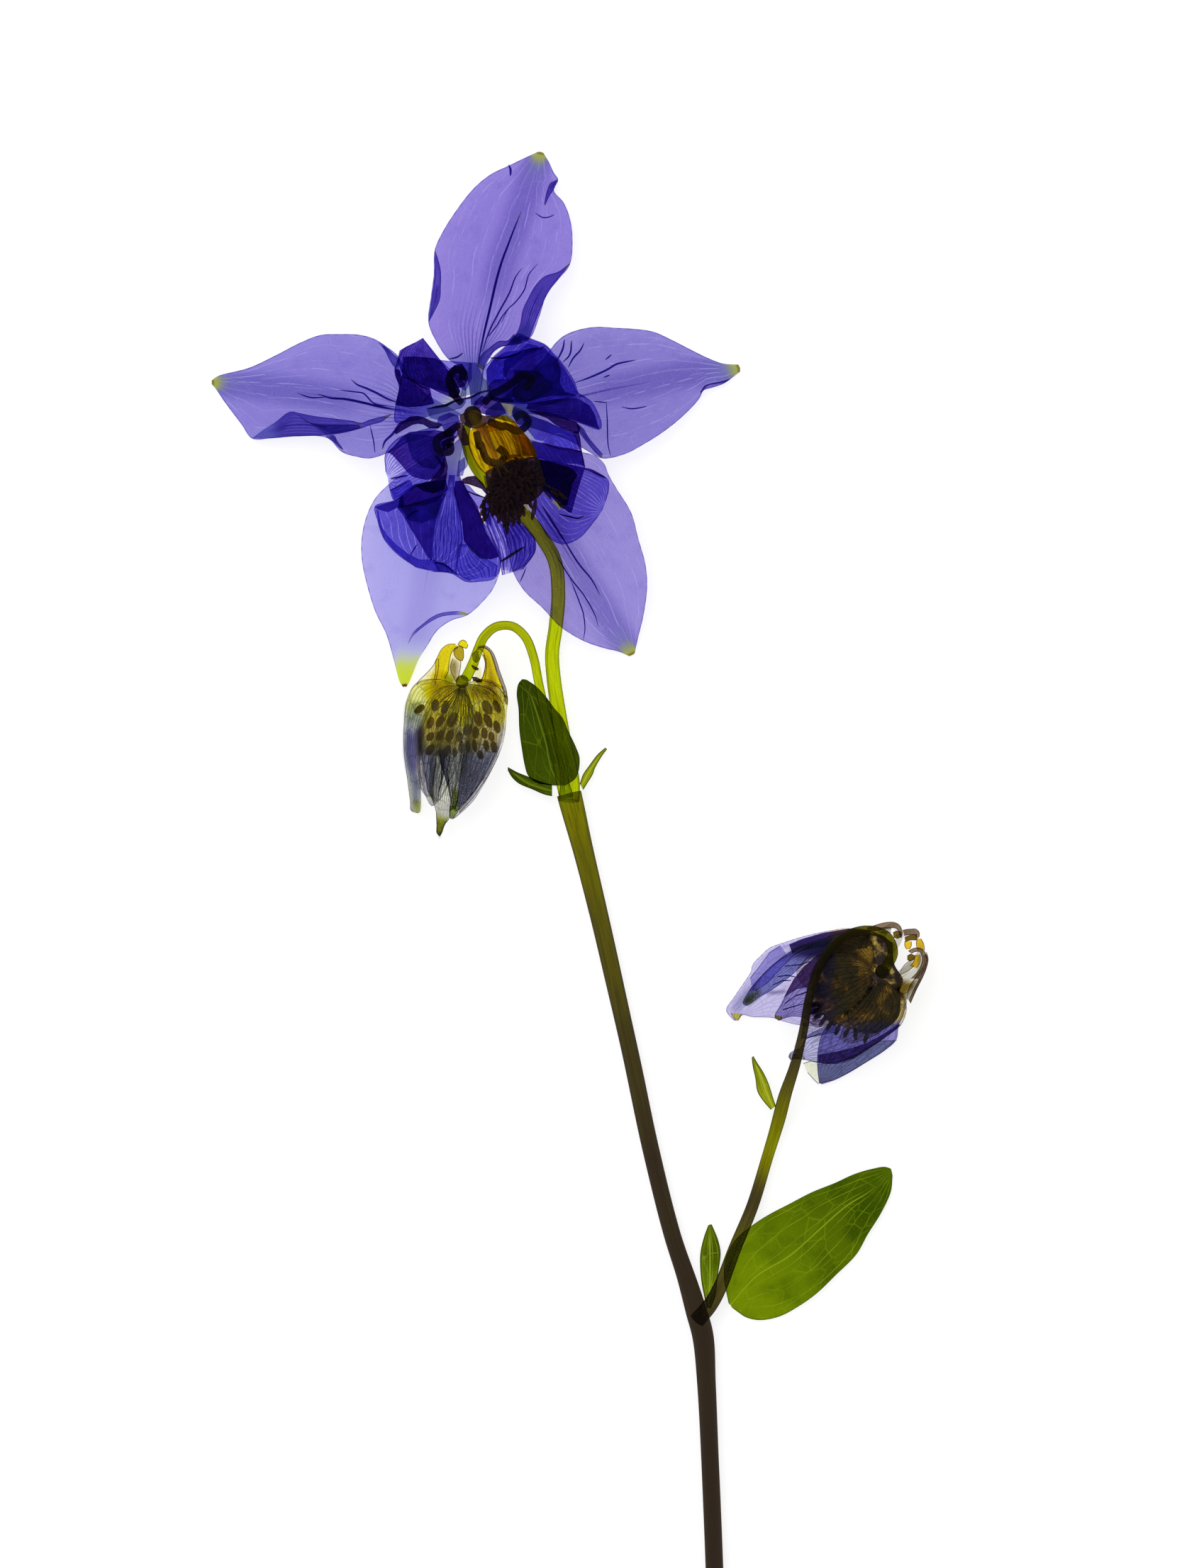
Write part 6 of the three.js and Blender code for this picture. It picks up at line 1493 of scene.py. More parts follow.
amber_shells += threads(starts, ends, bend, FILAMENT_RADIUS)
piece("flower_filaments", amber_shells, filament_amber, "stamen_ochre")

scraps = [
    fan([[-7.6, 54.3], [-7.1, 53.6], [-6.8, 52.9]], [[-6.1, 54.1], [-6.3, 53.5], [-6.5, 52.8]], 7.6,
        rows=24, columns=12),
    fan([[-1.9, 43.2], [-1.5, 42.8], [-1.0, 42.3]], [[-1.7, 43.5], [-1.3, 43.1], [-0.9, 42.5]], 7.9,
        rows=24, columns=10),
    fan([[-5.1, 42.9], [-4.6, 42.2]], [[-4.8, 43.0], [-4.1, 42.4]], 7.9, rows=16, columns=8),
]
piece("flower_membranes", scraps, membrane_cream, "stamen_ochre")

# %% [markdown]
# The pistil stands in the middle of the stamens: five pale green carpels side by side,
# which taper to five styles that lean out over the amber fan.

# %% Pistil
CARPELS = 5
pistil_shells = []
for k in range(CARPELS):
    angle = k * 2 * np.pi / CARPELS
    side, rise = 0.32 * np.cos(angle), 0.26 * np.sin(angle)
    x, y = FLOWER
    pistil_shells.append(tube(
        [[x + side, y + rise, 7.4], [x + 0.3 + side, y - 0.6 + rise, 8.2],
         [x + 1.1 + side, y - 2.2, 8.5 + rise], [x + 2.0 + side * 1.6, y - 4.4 + rise, 8.7 + rise],
         [x + 2.9 + side * 3.4, y - 6.6 + 2.0 * rise, 8.85 + rise * 0.9]],
        [0.34, 0.4, 0.38, 0.26, 0.12], count=48, sides=10))
piece("flower_pistil", pistil_shells, carpel_green, "pistil_green", "pistil")

# %% [markdown]
# ## The closed bud
# Pressed flat, the bud is an egg of half its width. A sepal of it is a strip drawn by its
# two outlines and laid on the egg: its height is the egg's own half-depth at that place,
# upwards for the sepals on top and downwards for those below.

# %% The egg and its sepals
BUD_AXIS = np.array([-0.215, -0.977])
BUD_LENGTH = 16.6
BUD_HALF_WIDTH = 5.75
BUD_HALF_DEPTH = 2.7
SHOULDER = levels([0.28, 0.8, 0.96, 1.0, 0.97, 0.88, 0.74, 0.54, 0.22])
PATCH_HALF = 0.03
EGG_PATCH_GAP, EGG_PATCH_STEP = 0.03, 0.02


def on_egg(parts, way, scale):
    """Height = middle + way x scale x half-depth x shoulder(along) x
    sqrt(1 - across squared)."""
    middle, lay, mark = parts
    gap = middle[..., :2] - BUD
    along = gap @ BUD_AXIS / BUD_LENGTH
    across = gap @ np.array([-BUD_AXIS[1], BUD_AXIS[0]])
    shoulder = SHOULDER(along)
    share = across / (BUD_HALF_WIDTH * 1.06 * np.maximum(shoulder, 0.25))
    round_ = np.sqrt(np.clip(1 - share**2, 0.0, 1))
    out = middle.copy()
    out[..., 2] = BUD_MIDDLE + way * scale * BUD_HALF_DEPTH * shoulder * round_ + (
        0.05 * relief(middle[..., 0], middle[..., 1], 2.5))
    return out, lay, mark


bud_sepals = {
    "bud_sepal_5": (bud_day, -1, 0.86,
        [[-12.2, 22.8], [-14.8, 23.5], [-17.1, 23.1], [-18.2, 21.3], [-18.6, 18.3], [-18.6, 15.2],
         [-18.2, 12.1], [-17.9, 9.8], [-17.8, 8.8], [-17.5, 8.5]],
        [[-12.1, 22.5], [-14.4, 21.0], [-15.9, 18.3], [-16.6, 16.0], [-16.8, 13.7], [-16.7, 11.4],
         [-16.7, 9.2], [-16.8, 8.5], [-17.1, 8.4]]),
    "bud_sepal_4": (bud_dusk, 1, 0.93,
        [[-12.2, 22.8], [-14.4, 22.5], [-15.9, 21.0], [-16.5, 18.3], [-16.9, 15.2], [-16.9, 12.9],
         [-16.6, 11.1], [-16.1, 10.3], [-15.7, 9.5], [-15.4, 9.2]],
        [[-11.8, 22.8], [-10.8, 19.8], [-11.1, 16.7], [-12.1, 14.4], [-13.3, 12.1], [-14.4, 10.0],
         [-15.2, 9.2]]),
    "bud_sepal_1": (bud_day, -1, 1.0,
        [[-12.2, 22.7], [-14.4, 19.8], [-15.4, 16.7], [-15.7, 13.7], [-15.6, 10.6], [-15.0, 8.6],
         [-14.9, 7.2], [-14.9, 6.2], [-14.7, 5.9]],
        [[-11.6, 22.7], [-10.8, 19.8], [-10.8, 16.7], [-11.8, 13.7], [-13.0, 10.6], [-13.4, 9.1],
         [-13.5, 7.7], [-14.0, 7.1], [-14.4, 6.2], [-14.5, 5.8]]),
    "bud_sepal_3": (bud_dusk, 1, 1.0,
        [[-12.1, 22.8], [-13.0, 20.5], [-14.2, 17.5], [-14.7, 14.7], [-14.2, 13.7], [-13.7, 11.7],
         [-13.3, 9.8], [-13.4, 8.6], [-13.4, 7.8]],
        [[-11.6, 23.0], [-9.6, 23.5], [-7.8, 22.8], [-6.9, 21.6], [-7.0, 19.8], [-7.3, 16.7],
         [-8.1, 14.4], [-9.5, 11.7], [-10.8, 9.7], [-12.4, 8.2], [-13.1, 7.7]]),
    "bud_sepal_2": (bud_dusk, -1, 0.93,
        [[-11.8, 22.8], [-11.4, 19.8], [-11.8, 16.7], [-12.5, 13.7], [-13.0, 10.6], [-13.1, 9.1]],
        [[-11.4, 23.0], [-9.0, 22.5], [-7.3, 20.4], [-7.3, 18.3], [-7.8, 15.8], [-8.7, 13.7],
         [-10.2, 11.4], [-12.1, 9.1], [-12.8, 8.5]]),
}
BLUE_GREY, SAGE, VIOLET, LIME = 1, 2, 3, 4
bud_patches = {
    "bud_sepal_5": [
        (BLUE_GREY + SOFT, [[-18.7, 20.0], [-18.9, 17.5], [-18.9, 15.0], [-18.6, 13.0],
                            [-18.3, 11.4]],
         [[-17.0, 19.8], [-17.3, 17.5], [-17.5, 15.0], [-17.2, 13.0], [-16.8, 11.4]]),
        (VIOLET + SOFT, [[-18.6, 18.6], [-18.8, 17.0], [-18.8, 15.0], [-18.4, 13.0], [-17.9, 11.4]],
         [[-16.2, 19.0], [-16.4, 17.0], [-16.4, 15.0], [-16.6, 13.0], [-16.7, 11.4]]),
        (BLUE_GREY + SOFT, [[-18.5, 13.4], [-18.2, 11.4], [-18.0, 10.0], [-17.9, 8.6]],
         [[-16.2, 13.0], [-16.3, 11.4], [-16.5, 10.0], [-16.5, 8.6]]),
        (SAGE + SOFT, [[-18.5, 21.6], [-18.8, 20.2], [-18.9, 18.0]],
         [[-15.8, 21.2], [-16.0, 20.0], [-15.8, 17.8]]),
        (LIME + SOFT, [[-18.0, 10.0], [-17.9, 9.0], [-17.6, 8.2]],
         [[-16.4, 10.4], [-16.3, 9.2], [-16.5, 8.0]])],
    "bud_sepal_4": [
        (GREY + FADE, [[-16.8, 14.5], [-16.75, 13.0], [-16.5, 11.6], [-16.3, 10.8], [-15.9, 10.2]],
         [[-16.6, 14.4], [-16.2, 13.0], [-15.9, 11.8], [-15.8, 11.0], [-15.5, 10.3]]),
        (SLATE + FADE, [[-16.4, 17.4], [-16.6, 15.6], [-16.5, 14.4], [-16.2, 13.0], [-15.9, 11.8],
                        [-15.8, 11.0], [-15.4, 10.0]],
         [[-14.4, 17.4], [-14.7, 15.6], [-14.9, 14.4], [-15.0, 13.2], [-15.2, 12.0], [-15.3, 11.0],
          [-15.2, 9.8]]),
        (GREY + FADE, [[-14.7, 15.8], [-15.0, 13.2], [-15.2, 12.0], [-15.3, 11.0], [-15.2, 9.6]],
         [[-14.3, 15.6], [-14.2, 13.2], [-14.3, 12.0], [-14.5, 10.8], [-14.7, 9.8]]),
        (SLATE + FADE, [[-14.8, 16.6], [-14.5, 15.2], [-14.3, 13.2], [-14.4, 12.0], [-14.6, 11.0]],
         [[-13.6, 16.6], [-13.8, 15.2], [-14.0, 13.2], [-14.1, 12.2], [-14.5, 11.0]]),
        (NIGHT + SOFT, [[-17.5, 19.4], [-17.6, 16.6], [-17.2, 13.6]],
         [[-15.8, 19.0], [-15.8, 16.6], [-16.1, 13.6]]),
        (GREEN + SOFT, [[-16.2, 11.0], [-15.9, 10.0], [-15.4, 9.2]],
         [[-14.9, 11.0], [-14.8, 10.2], [-15.0, 9.2]])],
    "bud_sepal_1": [
        (LIME + FADE, [[-15.0, 8.8], [-14.9, 7.2], [-14.9, 6.3], [-14.6, 5.8]],
         [[-13.5, 8.2], [-13.9, 7.2], [-14.2, 6.4], [-14.5, 5.8]]),
        (LIME + FADE, [[-14.95, 8.0], [-14.9, 7.0], [-14.9, 6.2], [-14.6, 5.8]],
         [[-13.6, 7.7], [-14.0, 7.0], [-14.2, 6.3], [-14.5, 5.8]]),
        (NIGHT + SOFT, [[-15.1, 6.6], [-15.0, 6.0], [-14.8, 5.4]],
         [[-14.0, 6.4], [-14.1, 6.0], [-14.3, 5.4]])],
    "bud_sepal_3": [
        (SLATE + FADE, [[-14.6, 17.2], [-14.6, 15.4], [-14.4, 13.9], [-13.9, 12.4], [-13.4, 10.9],
                        [-13.25, 9.6], [-13.4, 8.6]],
         [[-13.0, 17.2], [-13.2, 15.4], [-13.5, 13.9], [-13.5, 12.4], [-13.45, 11.0], [-13.2, 9.6],
          [-13.2, 8.6]]),
        (GREY + FADE, [[-13.2, 16.8], [-13.4, 14.6], [-13.5, 12.4], [-13.45, 11.0], [-13.2, 9.6],
                       [-13.1, 8.8]],
         [[-11.4, 16.8], [-11.8, 14.6], [-12.15, 12.4], [-12.3, 11.0], [-12.5, 9.8], [-12.8, 8.8]]),
        (GREEN + FADE, [[-13.2, 11.6], [-13.1, 10.4], [-13.2, 8.8]],
         [[-12.2, 11.6], [-12.4, 10.4], [-12.7, 8.8]]),
        (SLATE + FADE, [[-11.4, 17.6], [-11.7, 15.6], [-12.0, 14.2], [-12.2, 12.6], [-12.35, 11.4],
                        [-12.4, 10.2], [-12.7, 9.2]],
         [[-7.6, 17.6], [-7.9, 15.6], [-8.5, 14.4], [-9.3, 13.0], [-10.2, 11.5], [-11.2, 10.1],
          [-12.2, 9.1]]),
        (GREY + SOFT, [[-12.6, 15.0], [-12.7, 12.4], [-12.6, 9.6]],
         [[-8.6, 15.0], [-9.4, 12.6], [-11.4, 9.4]]),
        (GREY + FADE, [[-8.3, 16.4], [-8.5, 14.8], [-9.2, 13.2], [-10.2, 11.5], [-11.2, 10.1],
                       [-12.4, 8.8]],
         [[-7.6, 16.4], [-7.9, 14.8], [-8.6, 13.4], [-9.6, 11.7], [-10.8, 10.0], [-12.3, 8.4]]),
        (GREEN + HARD, [[-13.35, 9.3], [-13.4, 8.4], [-13.4, 7.8]],
         [[-12.2, 9.2], [-12.5, 8.5], [-13.0, 7.8]]),
        (BROWN + HARD, [[-10.4, 23.2], [-9.6, 23.4], [-8.6, 23.1], [-7.7, 22.4], [-7.0, 21.4]],
         [[-10.2, 22.8], [-9.6, 22.5], [-8.8, 22.2], [-8.0, 21.6], [-7.4, 20.6]]),
        (BROWN + SOFT, [[-16.2, 21.4], [-16.9, 19.2], [-16.8, 17.0], [-16.2, 14.4]],
         [[-13.0, 21.2], [-12.4, 19.2], [-11.8, 17.6], [-11.8, 14.6]]),
        (BROWN + SOFT, [[-10.8, 21.4], [-11.1, 19.2], [-12.0, 17.6], [-12.2, 14.6]],
         [[-7.0, 21.8], [-6.9, 19.4], [-7.2, 17.0], [-8.0, 14.4]]),
        (GREEN + SOFT, [[-11.0, 22.9], [-9.4, 22.5], [-7.8, 21.9]],
         [[-10.8, 21.7], [-9.0, 21.4], [-7.6, 20.6]]),
        (GREEN + SOFT, [[-14.6, 24.2], [-13.6, 24.6], [-12.6, 23.8]],
         [[-14.4, 22.8], [-13.4, 22.6], [-12.4, 22.6]])],
}
for name, (finish, way, scale, left, right) in bud_sepals.items():
    parts = strip(left, right, [0], rows=84, columns=30, fold=0.0, rough=0)
    shells = [film(*on_egg(parts, way, scale))]
    for place, (code, left, right) in enumerate(bud_patches.get(name, [])):
        patch = strip(left, right, [0], rows=30, columns=12, fold=code, rough=0,
                      straight=code % 1 < 0.5)
        shells.append(film(*on_egg(patch, way, scale + EGG_PATCH_GAP + EGG_PATCH_STEP * place),
                           half=PATCH_HALF))
    piece("film_" + name, shells, finish, "bud_sepal_grey", name)

# %% [markdown]
# Inside the egg lie the young petals. Their blades are short; their spurs stick out
# behind, flattened like amber ribbons, and curl in towards the stalk with an olive knob
# at the end.

# %% The petals of the closed bud
BUD_PETALS = [
    ("bud_petal_1", -10, 1, [[-12.4, 20.6], [-12.8, 22.4], [-13.0, 24.4], [-13.1, 25.9],
                             [-12.8, 27.1], [-12.1, 27.5], [-11.8, 26.9]], 0.34),
    ("bud_petal_2", 66, 1, [[-9.6, 19.8], [-9.0, 22.2], [-8.7, 23.8], [-8.9, 25.4], [-9.5, 26.6],
                            [-10.3, 26.9], [-10.6, 26.2], [-10.2, 25.7]], 0.62),
    ("bud_petal_3", 147, -1, [[-10.8, 20.2], [-10.4, 22.4], [-10.2, 24.2], [-10.5, 25.3],
                              [-11.0, 25.0]], 0.42),
    ("bud_petal_4", -147, -1, [[-13.4, 20.2], [-13.6, 22.6], [-13.5, 24.4], [-13.0, 25.3],
                               [-12.6, 24.8]], 0.42),
    ("bud_petal_5", -66, 1, [[-14.6, 19.8], [-14.9, 22.4], [-14.8, 23.9], [-14.3, 25.4],
                             [-13.8, 26.5], [-13.1, 26.9], [-12.6, 26.4], [-12.7, 25.8]], 0.62),
]
spur_patches = {
    "bud_petal_5": [
        (CLEAR + HARD, [[-17.2, 22.8], [-16.9, 23.3], [-16.0, 24.2], [-15.3, 25.0], [-14.9, 25.8]],
         [[-15.0, 22.8], [-14.9, 23.4], [-14.7, 24.2], [-14.6, 25.0], [-14.6, 25.8]]),
        (GOLD + HARD, [[-15.2, 23.4], [-15.0, 24.4], [-15.0, 25.4], [-14.7, 26.2], [-14.3, 26.9],
                       [-13.6, 27.4], [-12.8, 27.45]],
         [[-13.9, 23.5], [-13.5, 24.4], [-13.45, 25.2], [-13.3, 26.0], [-13.1, 26.5], [-12.8, 26.8],
          [-12.4, 27.0]]),
        (OCHRE + HARD, [[-12.5, 27.2], [-12.9, 26.9], [-12.95, 26.3], [-12.7, 25.8], [-12.2, 25.5]],
         [[-12.3, 27.25], [-11.9, 27.0], [-11.8, 26.4], [-11.8, 25.9], [-11.95, 25.5]])],
    "bud_petal_1": [
        (MAUVE + SOFT, [[-13.7, 26.0], [-13.8, 24.6], [-13.3, 22.8]],
         [[-12.0, 26.0], [-12.0, 24.4], [-12.2, 22.8]]),
        (CLEAR + HARD, [[-13.1, 25.8], [-13.35, 24.8], [-13.2, 24.1], [-12.9, 23.5], [-12.7, 23.1]],
         [[-12.1, 25.6], [-12.15, 24.8], [-12.3, 24.1], [-12.4, 23.5], [-12.6, 23.1]]),
        (GOLD + HARD, [[-12.5, 27.3], [-12.3, 27.7], [-11.9, 27.9], [-11.5, 27.7]],
         [[-12.3, 27.2], [-11.9, 27.0], [-11.5, 26.9], [-11.3, 27.3]])],
    "bud_petal_2": [
        (GOLD + HARD, [[-10.5, 26.6], [-10.0, 26.8], [-9.6, 26.4], [-9.45, 25.4], [-9.5, 24.6],
                       [-9.7, 23.8], [-9.9, 23.0]],
         [[-10.3, 27.0], [-9.6, 27.05], [-8.9, 26.6], [-8.5, 25.6], [-8.2, 24.6], [-7.8, 23.4],
          [-7.3, 22.4]]),
        (GOLD + HARD, [[-9.75, 26.2], [-9.5, 25.6], [-9.45, 24.8], [-9.6, 24.0], [-9.9, 23.4]],
         [[-9.6, 26.3], [-9.25, 25.6], [-9.2, 24.8], [-9.3, 24.0], [-9.4, 23.4]]),
        (OCHRE + SOFT, [[-10.4, 26.4], [-9.8, 26.1], [-9.5, 25.0], [-9.5, 24.0], [-9.9, 22.4],
                        [-10.4, 21.0]],
         [[-10.2, 27.0], [-9.0, 26.5], [-8.5, 25.5], [-8.2, 24.4], [-7.7, 23.2], [-7.2, 21.8]]),
        (MAUVE + HARD, [[-10.3, 26.9], [-9.6, 27.0], [-8.9, 26.5], [-8.5, 25.6], [-8.2, 24.6],
                        [-7.8, 23.4], [-7.4, 22.0], [-7.1, 20.6]],
         [[-10.2, 27.15], [-9.4, 27.25], [-8.6, 26.6], [-8.1, 25.5], [-7.8, 24.5], [-7.4, 23.4],
          [-6.95, 22.0], [-6.9, 20.6]]),
        (MAUVE + HARD, [[-10.9, 26.2], [-10.6, 26.6], [-10.2, 26.6]],
         [[-10.8, 25.6], [-10.4, 25.3], [-10.0, 25.8]])],
    "bud_petal_3": [
        (NIGHT + HARD, [[-11.0, 25.1], [-10.6, 24.95], [-10.1, 24.65]],
         [[-10.9, 24.8], [-10.6, 24.5], [-10.2, 24.45]]),
        (NIGHT + HARD, [[-10.9, 23.75], [-10.4, 23.7], [-9.8, 23.4]],
         [[-10.8, 23.3], [-10.3, 23.1], [-9.8, 23.1]])],
    "bud_petal_4": [
        (GOLD + SOFT, [[-16.2, 24.4], [-14.0, 24.8], [-12.4, 23.6]],
         [[-16.0, 21.2], [-14.0, 20.6], [-12.6, 21.6]]),
        (GOLD + SOFT, [[-16.9, 23.4], [-16.8, 22.0], [-16.0, 19.8]],
         [[-12.8, 24.4], [-12.4, 22.0], [-13.0, 19.4]]),
        (GOLD + SOFT, [[-14.0, 23.2], [-13.5, 21.4], [-12.9, 19.2], [-12.3, 16.6]],
         [[-9.8, 23.2], [-10.3, 21.2], [-10.9, 19.0], [-11.6, 16.6]]),
        (OCHRE + SOFT, [[-12.0, 23.0], [-9.6, 23.1], [-7.8, 22.4], [-7.0, 21.4]],
         [[-11.4, 20.8], [-9.6, 20.6], [-8.2, 20.0], [-7.4, 19.4]])],
}
YOUNG_DEPTH = 0.6
BUD_PATCH_LEVEL, SPUR_PATCH_STEP, SPUR_PATCH_HALF = BUD_MIDDLE + 0.3, 0.1, 0.04
bud_blade_width = levels([8, 16, 25, 26, 24, 12])
for name, middle_turn, way, route, width in BUD_PETALS:
    t = np.linspace(0, 1, 44)[:, None]
    s = np.linspace(-1, 1, 18)[None]
    along = 0.14 + 0.64 * t + 0 * s
    around = np.radians(middle_turn + s * bud_blade_width(t))
    reach = YOUNG_DEPTH * SHOULDER(along)
    across = BUD_HALF_WIDTH * reach * np.sin(around)
    middle = np.dstack([
        BUD[0] + BUD_AXIS[0] * along * BUD_LENGTH - BUD_AXIS[1] * across,
        BUD[1] + BUD_AXIS[1] * along * BUD_LENGTH + BUD_AXIS[0] * across,
        BUD_MIDDLE + BUD_HALF_DEPTH * reach * np.cos(around)])
    half_width = 2.4 + 0 * along
    rim = np.minimum((1 - np.abs(s)) * half_width, 10.6 * np.minimum(t, 1 - t) + 0 * s) + 0.2
    lay = np.dstack([s * half_width, along * BUD_LENGTH, rim])
    mark = np.dstack([s + 0 * t, t + 0 * s, 0 * along])
    level = BUD_MIDDLE + YOUNG_DEPTH * BUD_HALF_DEPTH * np.cos(np.radians(middle_turn))
    heights = np.linspace(level, BUD_MIDDLE + 0.25 * way, len(route))
    course = [[x, y, z] for (x, y), z in zip(route, heights)]
    shells = [film(middle, lay, mark, half=THIN),
              tube(course, [0.5 * width, width, width, 0.9 * width, 0.75 * width, 0.5 * width],
                   count=60, sides=12, flat=0.35, fold=CLEAR + SOFT)]
    for place, (code, left, right) in enumerate(spur_patches[name]):
        patch = strip(left, right, [BUD_PATCH_LEVEL + SPUR_PATCH_STEP * place], rows=30, fold=code)
        shells.append(film(*patch, half=SPUR_PATCH_HALF))
    piece("film_" + name, shells, bud_gold, "bud_petal_ochre", name)

# %% [markdown]
# The anthers of a young bud lie in rows round the receptacle like the seeds of a cone, and
# each points outwards. A row is given by its anthers: place, long and wide half-axis, and
# the angle of the long one.

# %% The anthers of the closed bud
BUD_THREADS, BUD_THREAD_RADIUS = 14, 0.05
bud_anthers = np.array([
    [-16.8, 20.1, 0.80, 0.46, 40], [-15.05, 20.55, 0.78, 0.52, 80], [-13.95, 20.3, 0.90, 0.48, 75],
    [-9.2, 20.3, 1.00, 0.60, 118], [-8.1, 20.4, 0.90, 0.45, 115], [-15.6, 18.55, 0.80, 0.48, 70],
    [-14.5, 18.7, 0.82, 0.48, 60], [-13.1, 18.9, 1.05, 0.62, 65], [-11.4, 17.8, 0.75, 0.58, 60],
    [-10.2, 19.0, 1.00, 0.55, 100], [-9.1, 18.8, 1.00, 0.48, 115], [-8.1, 18.1, 0.85, 0.45, 105],
    [-15.6, 17.0, 0.62, 0.44, 60], [-14.5, 17.1, 0.75, 0.46, 55], [-13.4, 17.1, 0.85, 0.52, 70],
    [-12.3, 17.0, 0.70, 0.42, 85], [-10.5, 17.5, 0.80, 0.46, 90], [-9.5, 17.4, 0.75, 0.42, 95],
    [-8.7, 17.0, 0.65, 0.40, 100], [-15.6, 15.55, 0.82, 0.50, 55], [-14.55, 15.2, 0.50, 0.38, 70],
    [-13.7, 15.45, 0.80, 0.46, 65], [-12.85, 15.25, 0.62, 0.34, 90], [-12.1, 15.85, 0.85, 0.38, 88],
    [-11.35, 15.9, 0.80, 0.34, 90], [-10.6, 16.0, 0.80, 0.33, 95], [-9.95, 14.95, 0.60, 0.40, 100],
    [-9.3, 16.0, 0.75, 0.38, 100], [-8.45, 15.85, 0.75, 0.42, 100]])
order = np.arange(len(bud_anthers))
turns = np.radians(bud_anthers[:, 4])
outward = np.stack([np.cos(turns), np.sin(turns), 0 * turns], axis=-1)
centres = np.column_stack([bud_anthers[:, :2], BUD_MIDDLE + 0.3 * np.cos(order * 2.4)])
sizes = np.column_stack([bud_anthers[:, 2:4], np.full(len(order), 0.26)])
bud_shells = [beads(centres, outward, sizes, sides=16, rings=10)]
axis_angle = np.degrees(np.arctan2(BUD_AXIS[1], BUD_AXIS[0]))
starts = np.tile([BUD[0], BUD[1] - 0.4, BUD_MIDDLE], (BUD_THREADS, 1))
angles = np.radians(axis_angle + np.linspace(-40, 40, BUD_THREADS))
ends = np.stack([BUD[0] + 5.0 * np.cos(angles) * 0.86, BUD[1] + 5.0 * np.sin(angles),
                 np.full(BUD_THREADS, BUD_MIDDLE)], axis=-1)
bud_shells += threads(starts, ends, np.zeros((BUD_THREADS, 3)), BUD_THREAD_RADIUS)
piece("bud_anthers", bud_shells, anther_bud, "anther_brown", "bud_stamens")

# %% [markdown]
# ## The half-open bud
# This bud lies on its side. Two sepals are below, three are on top, and five petals with
# hooked spurs are between them, round a dark ball of anthers.

# %% Sepals of the half-open bud
PATCH_GAP, PATCH_STEP = 0.15, 0.07
half_sepals = {
    "half_sepal_1": (half_lilac, dict(
        left=[[34.4, -8.2], [34.0, -5.0], [31.6, -4.6], [28.6, -5.0], [26.1, -5.6], [24.2, -6.2],
              [22.6, -6.8], [21.7, -7.6], [20.7, -8.7], [20.5, -9.5], [19.8, -10.6], [18.5, -12.5],
              [17.7, -13.8], [18.2, -14.6], [18.6, -15.0]],
        right=[[34.2, -9.6], [32.4, -10.6], [29.7, -12.8], [27.7, -15.5], [25.9, -15.5],
               [24.2, -15.1], [22.9, -14.7], [20.7, -14.6], [19.5, -14.4], [19.0, -15.0]],
        rib=[[34.3, -8.9], [31.0, -7.9], [26.2, -9.6], [22.2, -12.2], [18.8, -15.0]],
        lift=[1.4, 0.6, 0.5, 0.5])),
    "half_sepal_2": (half_slate, dict(
        left=[[34.4, -8.2], [33.6, -5.4], [30.8, -5.0], [27.7, -5.9], [25.5, -6.7], [23.2, -8.3],
              [21.3, -10.2], [20.2, -11.6], [19.6, -12.8], [19.6, -13.1]],
        right=[[34.4, -9.0], [32.4, -8.0], [29.6, -7.2], [28.3, -7.2], [26.4, -8.5], [24.5, -10.2],
               [22.6, -11.6], [21.3, -12.4], [20.4, -13.1], [19.9, -13.3]],
        rib=[[34.4, -8.6], [31.6, -6.6], [28.4, -6.6], [24.4, -8.9], [21.6, -11.2], [19.75, -13.2]],
        lift=[5.6, 5.6, 5.0, 2.6])),
    "half_sepal_3": (half_violet, dict(
        left=[[34.2, -9.0], [32.4, -7.6], [30.0, -7.2], [28.0, -7.4], [26.4, -8.9], [25.3, -10.2],
              [24.5, -11.6], [23.7, -13.2], [23.1, -14.4], [23.4, -14.7]],
        right=[[34.2, -9.9], [33.2, -11.9], [30.8, -14.1], [28.8, -15.4], [27.7, -15.6],
               [26.4, -14.6], [25.0, -14.45], [24.1, -14.7], [23.5, -14.95]],
        rib=[[34.2, -9.5], [30.6, -10.8], [27.4, -12.2], [25.2, -13.6], [23.5, -14.8]],
        lift=[5.6, 5.8, 5.4, 4.0])),
    "half_sepal_4": (half_pale, dict(
        left=[[34.6, -10.3], [33.2, -12.2], [30.8, -14.4], [28.6, -15.6], [26.7, -16.7],
              [26.1, -17.9], [24.9, -18.6], [24.7, -19.1]],
        right=[[35.6, -10.3], [37.8, -12.8], [37.4, -15.1], [35.6, -16.7], [34.0, -17.8],
               [31.8, -19.3], [30.0, -19.8], [28.0, -19.7], [26.1, -19.3], [24.9, -19.4]],
        rib=[[35.1, -10.4], [34.6, -13.2], [32.2, -16.2], [28.6, -18.0], [24.8, -19.2]],
        lift=[5.6, 5.6, 5.0, 3.2, 1.5])),
    "half_sepal_5": (half_deep, dict(
        left=[[34.9, -10.7], [33.2, -13.2], [30.8, -15.1], [29.1, -15.6], [28.4, -16.8],
              [28.0, -18.9], [28.0, -20.4], [28.2, -22.1]],
        right=[[35.9, -10.7], [38.0, -12.5], [37.8, -14.1], [37.2, -15.5], [36.9, -17.2],
               [35.6, -18.4], [33.4, -19.8], [31.6, -20.9], [30.0, -21.7], [28.5, -22.2]],
        rib=[[35.4, -10.8], [34.8, -14.4], [32.4, -17.8], [28.35, -22.1]],
        lift=[1.4, 0.6, 0.5, 0.5])),
}
